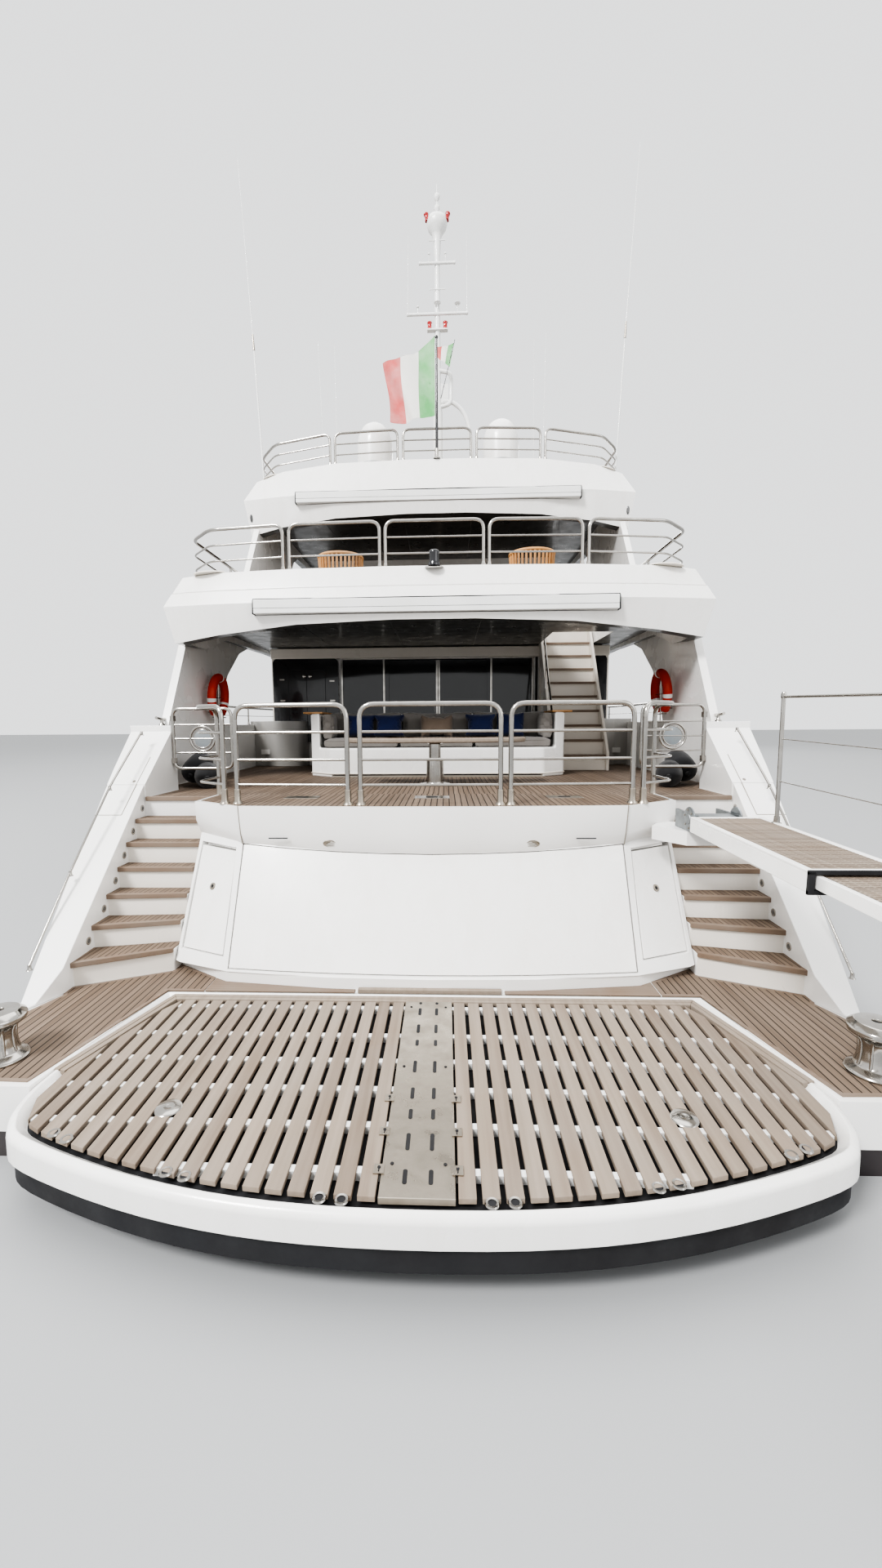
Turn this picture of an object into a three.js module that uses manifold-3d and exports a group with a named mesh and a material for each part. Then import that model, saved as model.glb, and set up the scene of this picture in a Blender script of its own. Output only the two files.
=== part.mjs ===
// Motor yacht with three decks, afloat. Millimetres, X to starboard, Y forward, Z up.
// Z = 0 is the waterline and Y = 0 is amidships. Both sides are alike, apart from a stair and the gangway.
import * as THREE from "three";
import { ConvexGeometry } from "three/addons/geometries/ConvexGeometry.js";
import { mergeVertices } from "three/addons/utils/BufferGeometryUtils.js";
import Module from "manifold-3d";

const kernel = await Module();
kernel.setup();

// Levels
const PLATFORM_Z = 450;
const MAIN_Z = 1850;
const LIP_Z = 1880;
const UPPER_SOFFIT_Z = 4000;
const UPPER_Z = 4250;
const SUN_SOFFIT_Z = 6350;
const SUN_Z = 6600;
const GAP = 0.3;

// Aft arrangement
const STAIR_IN_X = 2270;
const STAIR_OUT_X = 3000;
const LANDING_Y = -14190;
const BULKHEAD_Y = -9400;
const HOUSE_X = 2950;
const WALL = 90;
const GLASS = 14;
const HOUSE_FRONT_Y = 1500;
const DOOR_HEAD_Z = 3790;
const DOOR_LOW = MAIN_Z + 76;
const DOOR_TOP = DOOR_HEAD_Z - 16;
const DOOR_THICK = 70;
const GARAGE_DOOR = { x: 1692, z0: 568, midTop: 1445, sideTop: 1527 };
const GANGWAY = { x: 2330, rootY: -15060, z: 1800, slopeDeg: 2, pinY: -200 };

// Upper works
const UPPER_HOUSE = { x: 2550, aft: -6500, joint: 4150, front: 6400, topFront: 5100 };
const WHEEL_DOOR = { y0: 2150, y1: 2950, z0: UPPER_Z + 90, z1: 6180 };
const HATCH = { x: 380, y0: 13000, y1: 13760, thick: 50 };
const MAST_Y = -8600;

// Running gear
const SHAFT_X = 1250;
const SHAFT_RADIUS = 45;
const SHAFT_SLOPE = THREE.MathUtils.degToRad(8);
const PROPELLER_RADIUS = 440;
const PROPELLER_Y = -13300;
const PROPELLER_Z = -1400;
const RUDDER_Y = -14550;

const materials = {
  gelcoat: new THREE.MeshStandardMaterial({ color: 0xeeece6, roughness: 0.3 }),
  teak: new THREE.MeshStandardMaterial({ color: 0x9b7d62, roughness: 0.8 }),
  steel: new THREE.MeshStandardMaterial({ color: 0xb8babc, roughness: 0.25, metalness: 1 }),
  glass: new THREE.MeshStandardMaterial({ color: 0x15181c, roughness: 0.08 }),
  cushion: new THREE.MeshStandardMaterial({ color: 0x9c9b99, roughness: 0.95 }),
  bronze: new THREE.MeshStandardMaterial({ color: 0x9a7338, roughness: 0.35, metalness: 1 }),
  dark: new THREE.MeshStandardMaterial({ color: 0x2a2c2f, roughness: 0.5 }),
};

const root = new THREE.Group();
root.name = "motor_yacht";

// A closed geometry as a solid that can be joined and cut, its faces turned outwards.
function solid(geometry) {
  const bare = new THREE.BufferGeometry();
  bare.setAttribute("position", geometry.getAttribute("position"));
  bare.setIndex(geometry.getIndex());
  const merged = mergeVertices(bare, 1e-3);
  const corners = merged.getIndex().array;
  const kept = [];
  for (let i = 0; i < corners.length; i += 3) {
    const [a, b, c] = corners.slice(i, i + 3);
    if (a !== b && b !== c && c !== a) kept.push(a, b, c);
  }
  const make = (list) =>
    new kernel.Manifold(
      new kernel.Mesh({
        numProp: 3,
        vertProperties: new Float32Array(merged.getAttribute("position").array),
        triVerts: new Uint32Array(list),
      }),
    );
  const made = make(kept);
  return made.volume() < 0 ? make(kept.reverse()) : made;
}

// The triangles of a solid as a geometry.
function shapeOf(made) {
  const mesh = made.getMesh();
  const stride = mesh.numProp;
  const positions = new Float32Array(mesh.numVert * 3);
  for (let i = 0; i < mesh.numVert; i += 1) {
    positions.set(mesh.vertProperties.subarray(i * stride, i * stride + 3), i * 3);
  }
  const geometry = new THREE.BufferGeometry();
  geometry.setAttribute("position", new THREE.BufferAttribute(positions, 3));
  geometry.setIndex(new THREE.BufferAttribute(mesh.triVerts, 1));
  return geometry;
}

// A solid through rings of equal length, its two end rings closed by fans.
function loft(rings) {
  const count = rings[0].length;
  const points = rings.flat();
  const corners = [];
  for (let r = 0; r + 1 < rings.length; r += 1) {
    for (let i = 0; i < count; i += 1) {
      const a = r * count + i;
      const b = r * count + ((i + 1) % count);
      corners.push(a, b, b + count, a, b + count, a + count);
    }
  }
  for (const start of [0, (rings.length - 1) * count]) {
    const ring = points.slice(start, start + count);
    const hub = points.length;
    points.push([0, 1, 2].map((k) => ring.reduce((sum, p) => sum + p[k], 0) / count));
    for (let i = 0; i < count; i += 1) {
      const a = start + i;
      const b = start + ((i + 1) % count);
      corners.push(...(start === 0 ? [hub, b, a] : [hub, a, b]));
    }
  }
  const geometry = new THREE.BufferGeometry();
  geometry.setAttribute("position", new THREE.Float32BufferAttribute(points.flat(), 3));
  geometry.setIndex(corners);
  return solid(geometry);
}

// An outline drawn straight out along Z.
function extruded(points, depth) {
  const outline = new THREE.Shape(points.map(([u, v]) => new THREE.Vector2(u, v)));
  return new THREE.ExtrudeGeometry(outline, { depth, bevelEnabled: false });
}

// A plan outline raised from z0 to z1.
function prismZ(points, z0, z1) {
  return solid(extruded(points, z1 - z0).translate(0, 0, z0));
}

// A side outline in (y, z) drawn out from x0 to x1.
function prismX(points, x0, x1) {
  const turned = new THREE.Matrix4().set(0, 0, 1, x0, 1, 0, 0, 0, 0, 1, 0, 0, 0, 0, 0, 1);
  return solid(extruded(points, x1 - x0).applyMatrix4(turned));
}

function box(x0, x1, y0, y1, z0, z1) {
  const block = new THREE.BoxGeometry(x1 - x0, y1 - y0, z1 - z0);
  return solid(block.translate((x0 + x1) / 2, (y0 + y1) / 2, (z0 + z1) / 2));
}

// The convex solid round a set of corners.
function hullOf(points) {
  return solid(new ConvexGeometry(points.map((p) => new THREE.Vector3(...p))));
}

// An upright round bar standing at (x, y, z).
function disc(x, y, z, radius, height, sides = 16) {
  const bar = new THREE.CylinderGeometry(radius, radius, height, sides);
  return solid(bar.rotateX(Math.PI / 2).translate(x, y, z + height / 2));
}

// A round bar along Y, radius r0 at y0 and r1 at y1.
function barrelY(y0, y1, r0, r1, sides = 20) {
  const bar = new THREE.CylinderGeometry(r1, r0, y1 - y0, sides);
  return solid(bar.translate(0, (y0 + y1) / 2, 0));
}

// A turned shape about Z from a profile of (radius, height) that starts and ends on the axis.
function turned(profile, sides) {
  const outline = profile.map(([r, z]) => new THREE.Vector2(r, z));
  return solid(new THREE.LatheGeometry(outline, sides).rotateX(Math.PI / 2));
}

function unite(list) {
  return list.reduce((sum, next) => sum.add(next));
}

function placed(made, matrix) {
  return solid(shapeOf(made).applyMatrix4(matrix));
}

function moved(made, x, y, z) {
  return placed(made, new THREE.Matrix4().makeTranslation(x, y, z));
}

function mirrored(made) {
  return placed(made, new THREE.Matrix4().makeScale(-1, 1, 1));
}

function bothSides(made) {
  return made.add(mirrored(made));
}

// A path of straight runs, with a section at each of its corners.
class Route extends THREE.Curve {
  constructor(points) {
    super();
    this.points = points.map((p) => new THREE.Vector3(...p));
  }

  getPointAt(u, target = new THREE.Vector3()) {
    return target.copy(this.points[Math.round(u * (this.points.length - 1))]);
  }

  getTangentAt(u, target = new THREE.Vector3()) {
    const last = this.points.length - 1;
    const i = Math.round(u * last);
    const run = (a, b) => this.points[b].clone().sub(this.points[a]).normalize();
    const into = i > 0 ? run(i - 1, i) : run(0, 1);
    const out = i < last ? run(i, i + 1) : run(last - 1, last);
    return target.copy(into).add(out).normalize();
  }
}

// A round bar along a path.
function tube(path, radius, sides = 8) {
  const section = new THREE.Shape(
    Array.from({ length: sides }, (_, k) => {
      const angle = (2 * Math.PI * k) / sides;
      return new THREE.Vector2(radius * Math.cos(angle), radius * Math.sin(angle));
    }),
  );
  const options = { steps: path.length - 1, extrudePath: new Route(path), bevelEnabled: false };
  return solid(new THREE.ExtrudeGeometry(section, options));
}

// The corners of an inverted U between two feet, its upper corners rounded.
function archPath(a, b, top, corner) {
  const [ax, ay] = a;
  const [bx, by] = b;
  const length = Math.hypot(bx - ax, by - ay);
  const ux = (bx - ax) / length;
  const uy = (by - ay) / length;
  const bend = [
    [0, -1],
    [0.29, -0.29],
    [1, 0],
  ];
  const rising = bend.map(([s, dz]) => [ax + ux * s * corner, ay + uy * s * corner, top + dz * corner]);
  const falling = bend.map(([s, dz]) => [bx - ux * s * corner, by - uy * s * corner, top + dz * corner]);
  return [a, ...rising, ...falling.reverse(), b];
}

// One rail frame wrapped round a corner at b, its feet at a and c.
function cornerFrame(a, b, c, top, bars, radius = 19) {
  const toward = (p, q, reach) => {
    const length = Math.hypot(q[0] - p[0], q[1] - p[1]);
    return [p[0] + ((q[0] - p[0]) * reach) / length, p[1] + ((q[1] - p[1]) * reach) / length];
  };
  const rounding = (foot, next) =>
    [[0, -1], [0.29, -0.29], [1, 0]].map(([s, dz]) => [...toward(foot, next, s * 110), top + dz * 110]);
  const bend = (z) => [
    [...toward(b, a, 90), z],
    [...toward(b, toward(a, c, Math.hypot(c[0] - a[0], c[1] - a[1]) / 2), 30), z],
    [...toward(b, c, 90), z],
  ];
  const parts = [tube([a, ...rounding(a, b), ...bend(top), ...rounding(c, b).reverse(), c], radius, 6)];
  for (const z of bars) {
    parts.push(tube([[a[0], a[1], z], ...bend(z), [c[0], c[1], z]], radius * 0.55, 5));
  }
  return unite(parts);
}

// One rail frame: an inverted U with level bars between its legs.
function railFrame(a, b, top, bars, radius = 19) {
  const parts = [tube(archPath(a, b, top, 110), radius, 6)];
  for (const z of bars) {
    parts.push(tube([[a[0], a[1], z], [b[0], b[1], z]], radius * 0.55, 5));
  }
  return unite(parts);
}

function addNode(name, made, material, parent = root, at = [0, 0, 0]) {
  const node = new THREE.Mesh(shapeOf(made), material);
  node.name = name;
  node.position.set(...at);
  parent.add(node);
}

// A starboard piece and its mirrored twin to port.
function addPair(name, made, material, [x, y, z] = [0, 0, 0]) {
  addNode(`${name}_stbd`, made, material, root, [x, y, z]);
  addNode(`${name}_port`, mirrored(made), material, root, [-x, y, z]);
}

// Hull sections from the stern to the bow: keel height, chine and sheer
const STATIONS = [
  { y: -16880, keel: -1060, chineX: 2960, chineZ: -130, sheerX: 3300, sheerZ: 2600 },
  { y: -14000, keel: -1180, chineX: 3080, chineZ: -130, sheerX: 3470, sheerZ: 2600 },
  { y: -9000, keel: -1330, chineX: 3180, chineZ: -110, sheerX: 3570, sheerZ: 2620 },
  { y: -3000, keel: -1450, chineX: 3200, chineZ: -60, sheerX: 3600, sheerZ: 2700 },
  { y: 0, keel: -1490, chineX: 3150, chineZ: 0, sheerX: 3600, sheerZ: 2780 },
  { y: 1200, keel: -1500, chineX: 3110, chineZ: 40, sheerX: 3600, sheerZ: 3080 },
  { y: 2400, keel: -1500, chineX: 3070, chineZ: 90, sheerX: 3600, sheerZ: 3900 },
  { y: 3400, keel: -1500, chineX: 3000, chineZ: 140, sheerX: 3590, sheerZ: 4300 },
  { y: 7000, keel: -1460, chineX: 2640, chineZ: 360, sheerX: 3450, sheerZ: 4420 },
  { y: 10000, keel: -1330, chineX: 2080, chineZ: 640, sheerX: 3100, sheerZ: 4560 },
  { y: 12500, keel: -1050, chineX: 1480, chineZ: 930, sheerX: 2520, sheerZ: 4700 },
  { y: 14500, keel: -520, chineX: 900, chineZ: 1230, sheerX: 1800, sheerZ: 4820 },
  { y: 15600, keel: 260, chineX: 560, chineZ: 1560, sheerX: 1280, sheerZ: 4890 },
  { y: 16400, keel: 1300, chineX: 300, chineZ: 2150, sheerX: 800, sheerZ: 4930 },
  { y: 17000, keel: 2600, chineX: 120, chineZ: 3050, sheerX: 400, sheerZ: 4960 },
  { y: 17350, keel: 4300, chineX: 20, chineZ: 4420, sheerX: 60, sheerZ: 4980 },
];

function stationRing({ y, keel, chineX, chineZ, sheerX, sheerZ }) {
  const step = Math.min(60, chineX * 0.5);
  const midX = chineX + step + (sheerX - chineX - step) * 0.62;
  const midZ = chineZ + (sheerZ - chineZ) * 0.5;
  const half = [
    [chineX, chineZ],
    [chineX + step, chineZ + step * 0.4],
    [midX, midZ],
    [sheerX, sheerZ],
  ];
  const port = half.map(([x, z]) => [-x, y, z]).reverse();
  return [[0, y, keel], ...half.map(([x, z]) => [x, y, z]), ...port];
}

function alongHull(key, y) {
  const next = STATIONS.findIndex((s) => s.y >= y);
  const hi = STATIONS[Math.max(next, 1)];
  const lo = STATIONS[Math.max(next, 1) - 1];
  return lo[key] + ((hi[key] - lo[key]) * (y - lo.y)) / (hi.y - lo.y);
}

// Nosings at the stair's inner and outer ends
const TREADS = [
  { innerY: -15250, outerY: -15625, z: 650 },
  { innerY: -15095, outerY: -15275, z: 850 },
  { innerY: -14945, outerY: -15005, z: 1050 },
  { innerY: -14775, outerY: -14785, z: 1250 },
  { innerY: -14600, outerY: -14600, z: 1450 },
  { innerY: -14405, outerY: -14405, z: 1650 },
];

// The bathing platform's plan outline, starboard half from the front.
const PLATFORM_PLAN = [
  [2120, -15640],
  [2330, -16860],
  [2290, -17150],
  [2060, -17340],
  [1300, -17590],
  [500, -17720],
];

function mirrorPlan(half) {
  return [...half, ...half.map(([x, y]) => [-x, y]).reverse()];
}

const HULL_SHELL = loft(STATIONS.map(stationRing));
const RAISED = { x: 3440, front: 3500 };

// The deck well inside the bulwarks: half outlines of the main deck and of the foredeck
const MAIN_WELL = [
  [STAIR_OUT_X, LANDING_Y - 10],
  [STAIR_OUT_X, -13450],
  [3290, -12950],
  [alongHull("sheerX", -9000) - 160, -9000],
  [RAISED.x, -3000],
  [RAISED.x, RAISED.front],
];
const FORE_WELL = [
  [3420, HOUSE_FRONT_Y - 10],
  [3420, 3400],
  [3280, 7000],
  [2920, 10000],
  [2340, 12500],
  [1620, 14500],
  [1080, 15600],
  [560, 16350],
];

// The hull up to its decks: the main deck aft, the foredeck forward
function belowDecks() {
  const { x, front } = RAISED;
  const main = HULL_SHELL.subtract(box(-4000, 4000, -20000, front, MAIN_Z - GAP, 9000));
  const under = main.subtract(box(-4000, 4000, front - 5, 20000, UPPER_SOFFIT_Z - GAP, 9000));
  return under.add(box(-x + GAP, x - GAP, HOUSE_FRONT_Y, front + 5, MAIN_Z - 60, UPPER_SOFFIT_Z - GAP));
}

// The raked transom. Its face is at footY where z is 600, and leans forward by lean as it rises.
const TRANSOM = [
  { x: 0, footY: -15543, lean: 0.578 },
  { x: 425, footY: -15536, lean: 0.573 },
  { x: 850, footY: -15517, lean: 0.556 },
  { x: 1275, footY: -15485, lean: 0.529 },
  { x: 1700, footY: -15440, lean: 0.492 },
  { x: 2240, footY: -15210, lean: 0.63 },
];
const TRANSOM_SEAM = TRANSOM[4];
const TRANSOM_CORNER = TRANSOM[5];

// Edge of the lip over it, and the line under the lip where the face starts
const LIP_EDGE = [
  { x: 0.1, y: -15124, low: 1615, faceZ: 1445 },
  { x: 850, y: -15103, low: 1618, faceZ: 1466 },
  { x: 1700, y: -15042, low: 1630, faceZ: 1527 },
  { x: 2250, y: -14700, low: 1700, faceZ: 1570 },
];
const PLINTH_PLAN = [[0.1, -15592], [850, -15564], [1715, -15455], [2245, -15118], [2250, LANDING_Y + 5]];

function leaningY({ footY, lean }, z) {
  return footY + lean * (z - 600);
}

function transomY(x, z) {
  const i = TRANSOM.findIndex((row) => row.x >= Math.abs(x));
  if (i < 1) return leaningY(TRANSOM[0], z);
  const [a, b] = [TRANSOM[i - 1], TRANSOM[i]];
  const share = (Math.abs(x) - a.x) / (b.x - a.x);
  return leaningY(a, z) * (1 - share) + leaningY(b, z) * share;
}

function transomPod() {
  const root = [2250, LANDING_Y + 5];
  const ring = (z) => mirrorPlan([...TRANSOM.map((row) => [row.x + 0.1, leaningY(row, z)]), root]);
  const body = hullOf([400, 1700].flatMap((z) => ring(z).map(([x, y]) => [x, y, z])));
  return body.subtract(box(-4000, 4000, -20000, 0, 300, 545)).add(prismZ(mirrorPlan(PLINTH_PLAN), 300, 546));
}

function transomLip() {
  const rows = LIP_EDGE.map(({ x, y, low, faceZ }) => [
    [x, y, LIP_Z],
    [x, y + 12, low],
    [x, transomY(Math.min(x, 2240), faceZ) + 2, faceZ],
  ]);
  const inner = [[2250, LANDING_Y + 5, LIP_Z], [2250, LANDING_Y + 5, 1560]];
  const half = [...rows.flat(), ...inner];
  return hullOf([...half, ...half.map(([x, y, z]) => [-x, y, z])]);
}

function buildHull() {
  let made = belowDecks();
  made = made.subtract(box(-4000, 4000, -20000, LANDING_Y, PLATFORM_Z, 9000));
  made = unite([made, transomPod(), transomLip()]);
  // Platform bay between the fixed wings
  const bay = [[2150, -15625], [PLATFORM_PLAN[1][0] + 30, PLATFORM_PLAN[1][1]], [2360, -17400]];
  made = made.subtract(prismZ(mirrorPlan(bay), -3000, PLATFORM_Z + 1));
  made = made.subtract(prismZ(mirrorPlan([[2240, -15625], [2240, -18000]]), -3000, 120));
  // Tender garage behind the transom door
  made = made.subtract(garageRecess());
  made = made.subtract(garageOpening());
  made = made.subtract(bothSides(transomDoorCut()));
  // Shaft brackets, stern tubes and rudder trunks
  made = made.add(bothSides(bracket()));
  made = made.subtract(bothSides(shaftBore()));
  made = made.subtract(bothSides(disc(SHAFT_X, RUDDER_Y, -1000, 56, 900, 16)));
  made = made.subtract(bothSides(anchorPocket()));
  made = made.subtract(hatchCut());
  return made.add(gangwayArm());
}

// The bulwark of one side, from the stern landing to the stem
function buildBulwark() {
  const aft = box(0.5, 4000, LANDING_Y, RAISED.front, MAIN_Z, 9000);
  const fore = box(0.5, 4000, RAISED.front - 1, 20000, UPPER_SOFFIT_Z, 9000);
  const wells = prismZ(mirrorPlan(MAIN_WELL), MAIN_Z - 10, 9000).add(
    prismZ(mirrorPlan(FORE_WELL), UPPER_SOFFIT_Z - 10, 9000),
  );
  const sternSlope = prismX([[-13560, 2530], [LANDING_Y, 1995], [LANDING_Y, 3200], [-13560, 3200]], 0, 4000);
  return HULL_SHELL.intersect(aft.add(fore)).subtract(wells).subtract(sternSlope);
}

// One stair from the platform to the landing, with the sloping wing outside it
function buildSternStair() {
  const slope = prismX(
    [
      [LANDING_Y - GAP, PLATFORM_Z + GAP],
      [LANDING_Y - GAP, 1988],
      [-15920, 470],
      [-16880, 453],
      [-16880, PLATFORM_Z + GAP],
    ],
    0,
    4000,
  );
  const cheek = prismZ(
    [
      [3010, LANDING_Y],
      [4000, LANDING_Y],
      [4000, -17000],
      [3170, -17000],
      [3170, -16300],
      [2940, -15700],
    ],
    200,
    3000,
  );
  const front = LANDING_Y - GAP;
  const [x0, x1] = [STAIR_IN_X - 18, STAIR_OUT_X + 40];
  const steps = TREADS.map(({ innerY, outerY, z }) =>
    prismZ([[x0, innerY], [x1, outerY], [x1, front], [x0, front]], PLATFORM_Z + GAP, z),
  );
  return unite([HULL_SHELL.intersect(slope).intersect(cheek), ...steps]);
}

// A slab that follows the transom's face, from out outside it to inn inside it.
function garageSlab(half, z0, rise, out, inn) {
  const top = (x) => {
    const { midTop, sideTop } = GARAGE_DOOR;
    return midTop + (sideTop - midTop) * (x / TRANSOM_SEAM.x) ** 2 + rise;
  };
  const edges = [-half, -1275, -850, -425, 0, 425, 850, 1275, half];
  const columns = edges.slice(1).map((x1, i) =>
    hullOf(
      [edges[i], x1].flatMap((x) =>
        [z0, top(x)].flatMap((z) => [
          [x, transomY(x, z) - out, z],
          [x, transomY(x, z) + inn, z],
        ]),
      ),
    ),
  );
  return unite(columns);
}

function garageRecess() {
  const swing = box(-1701, 1701, -14985, -14884, 1322, 1500);
  return unite([box(-1600, 1600, -14930, -12800, 620, 1570), garageSlab(1600, 620, -25, 300, 620), swing]);
}

function garageOpening() {
  return garageSlab(GARAGE_DOOR.x + 8, GARAGE_DOOR.z0 - 8, 8, 300, DOOR_THICK + 40);
}

function garageDoor() {
  return garageSlab(GARAGE_DOOR.x, GARAGE_DOOR.z0, 0, 0, DOOR_THICK);
}

// Corner doors on the transom's chamfered faces, starboard side.
function chamferPoint(u, z, depth) {
  const dx = TRANSOM_SEAM.x - TRANSOM_CORNER.x;
  const outY = leaningY(TRANSOM_CORNER, z);
  const dy = leaningY(TRANSOM_SEAM, z) - outY;
  const length = Math.hypot(dx, dy);
  return [
    TRANSOM_CORNER.x + dx * u + (dy / length) * depth,
    outY + dy * u - (dx / length) * depth,
    z,
  ];
}

function chamferSlab(u0, u1, z0, z1, out, inn) {
  return hullOf(
    [u0, u1].flatMap((u) =>
      [z0, z1].flatMap((z) => [chamferPoint(u, z, -out), chamferPoint(u, z, inn)]),
    ),
  );
}

function transomDoorCut() {
  return chamferSlab(0.07, 0.9, 640, 1494, 60, 75);
}

function transomDoor() {
  return chamferSlab(0.09, 0.875, 650, 1460, 0, 45);
}

// A round bar from y0 to y1 along the starboard shaft line.
function onShaft(y0, y1, radius, sides = 20) {
  const at = (y) => [SHAFT_X, y, PROPELLER_Z + (y - PROPELLER_Y) * Math.tan(SHAFT_SLOPE)];
  return tube([at(y0), at(y1)], radius, sides);
}

function bracket() {
  const barrel = onShaft(PROPELLER_Y + 320, PROPELLER_Y + 620, 95, 16);
  const top = (x) => [x, PROPELLER_Y + 470, -600];
  const leg = (dx) =>
    hullOf(
      [-30, 30].flatMap((w) =>
        [-140, 140].flatMap((l) => [
          [SHAFT_X + w * 0.6, PROPELLER_Y + 470 + l, PROPELLER_Z + 70],
          [top(SHAFT_X + dx)[0] + w, PROPELLER_Y + 470 + l, -560],
        ]),
      ),
    );
  return unite([barrel, leg(-260), leg(260)]);
}

function shaftBore() {
  return onShaft(PROPELLER_Y + 200, PROPELLER_Y + 3900, SHAFT_RADIUS + 7, 20);
}

// A propeller and its shaft along Y, the propeller at the origin. Blade rows: radius, pitch, half width.
const BLADE_ROWS = [
  { r: 60, pitchDeg: 62, half: 90, thick: 16 },
  { r: 220, pitchDeg: 42, half: 150, thick: 11 },
  { r: 360, pitchDeg: 30, half: 150, thick: 8 },
  { r: PROPELLER_RADIUS, pitchDeg: 24, half: 70, thick: 5 },
];

function propeller() {
  const blade = loft(
    BLADE_ROWS.map(({ r, pitchDeg, half, thick }) => {
      const a = THREE.MathUtils.degToRad(pitchDeg);
      const put = (u, w) => [u * Math.cos(a) - w * Math.sin(a), u * Math.sin(a) + w * Math.cos(a), r];
      return [put(-half, 0), put(0, -thick), put(half, 0), put(0, thick)];
    }),
  );
  const blades = [0, 1, 2, 3, 4].map((k) =>
    placed(blade, new THREE.Matrix4().makeRotationY((k * 2 * Math.PI) / 5)),
  );
  const hub = barrelY(-150, 150, 80, 95);
  const cone = barrelY(-290, -140, 30, 80);
  return unite([hub, cone, ...blades, barrelY(0, 3800, SHAFT_RADIUS, SHAFT_RADIUS)]);
}

function addPropellers() {
  const wheel = propeller();
  for (const [side, x, made] of [
    ["stbd", SHAFT_X, wheel],
    ["port", -SHAFT_X, mirrored(wheel)],
  ]) {
    const line = new THREE.Group();
    line.position.set(x, PROPELLER_Y, PROPELLER_Z);
    line.rotation.x = SHAFT_SLOPE;
    root.add(line);
    addNode(`propeller_${side}`, made, materials.bronze, line);
  }
}

function rudder() {
  const blade = loft(
    [
      { z: -2150, front: 210, back: -330, thick: 30 },
      { z: -1100, front: 250, back: -430, thick: 55 },
    ].map(({ z, front, back, thick }) => [
      [SHAFT_X, RUDDER_Y + front, z],
      [SHAFT_X + thick, RUDDER_Y + front * 0.4, z],
      [SHAFT_X + thick * 0.6, RUDDER_Y + back * 0.5, z],
      [SHAFT_X, RUDDER_Y + back, z],
      [SHAFT_X - thick * 0.6, RUDDER_Y + back * 0.5, z],
      [SHAFT_X - thick, RUDDER_Y + front * 0.4, z],
    ]),
  );
  return blade.add(disc(SHAFT_X, RUDDER_Y, -1200, 48, 1090, 16));
}

function anchorPocket() {
  return hullOf(
    [13650, 14450].flatMap((y) =>
      [2500, 3350].flatMap((z) => [
        [alongHull("sheerX", 14050) - 700, y, z],
        [alongHull("sheerX", 14050) + 900, y, z],
      ]),
    ),
  );
}

function anchor() {
  const x = alongHull("sheerX", 14050) - 560;
  const shank = box(x - 35, x + 35, 14020, 14080, 2700, 3300);
  const crown = box(x - 70, x + 70, 13850, 14250, 2600, 2720);
  const fluke = (s) =>
    hullOf([
      [x - 30, 14050 + s * 90, 2640],
      [x + 40, 14050 + s * 90, 2640],
      [x - 30, 14050 + s * 290, 2640],
      [x + 40, 14050 + s * 290, 2640],
      [x + 60, 14050 + s * 230, 3050],
      [x + 90, 14050 + s * 230, 3050],
    ]);
  return unite([shank, crown, fluke(1), fluke(-1)]);
}

function hatchCut() {
  const top = UPPER_SOFFIT_Z;
  return box(-HATCH.x - 8, HATCH.x + 8, HATCH.y0 - 8, HATCH.y1 + 8, top - 60, top + 20).add(
    box(-HATCH.x + 40, HATCH.x - 40, HATCH.y0 + 40, HATCH.y1 - 40, top - 700, top),
  );
}

addNode("hull", buildHull(), materials.gelcoat);
addPair("bulwark", buildBulwark(), materials.gelcoat);
addPair("stern_stair", buildSternStair(), materials.gelcoat);
addPropellers();
addPair("rudder", rudder(), materials.bronze);
addNode("garage_door", garageDoor(), materials.gelcoat);
addPair("transom_door", transomDoor(), materials.gelcoat);
addPair("anchor", anchor(), materials.steel);
addNode(
  "foredeck_hatch",
  box(
    -HATCH.x,
    HATCH.x,
    HATCH.y0,
    HATCH.y1,
    UPPER_SOFFIT_Z - HATCH.thick,
    UPPER_SOFFIT_Z + 12,
  ),
  materials.glass,
);

function buildPlatform() {
  const top = prismZ(mirrorPlan(PLATFORM_PLAN), PLATFORM_Z - 160, PLATFORM_Z);
  const arm = box(900, 1020, -16600, -15655, -150, PLATFORM_Z - 150);
  const post = box(880, 1040, -15750, -15650, -700, PLATFORM_Z - 150);
  return unite([top, bothSides(arm.add(post))]);
}

addNode("bathing_platform", buildPlatform(), materials.teak);

// Mooring capstans on the fixed wings
function capstan() {
  const profile = [
    [0, 0],
    [150, 0],
    [150, 30],
    [90, 60],
    [78, 150],
    [95, 230],
    [150, 262],
    [150, 300],
    [110, 330],
    [0, 335],
  ];
  return turned(profile, 20);
}

addPair("capstan", capstan(), materials.steel, [2740, -16600, PLATFORM_Z + GAP]);

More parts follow.
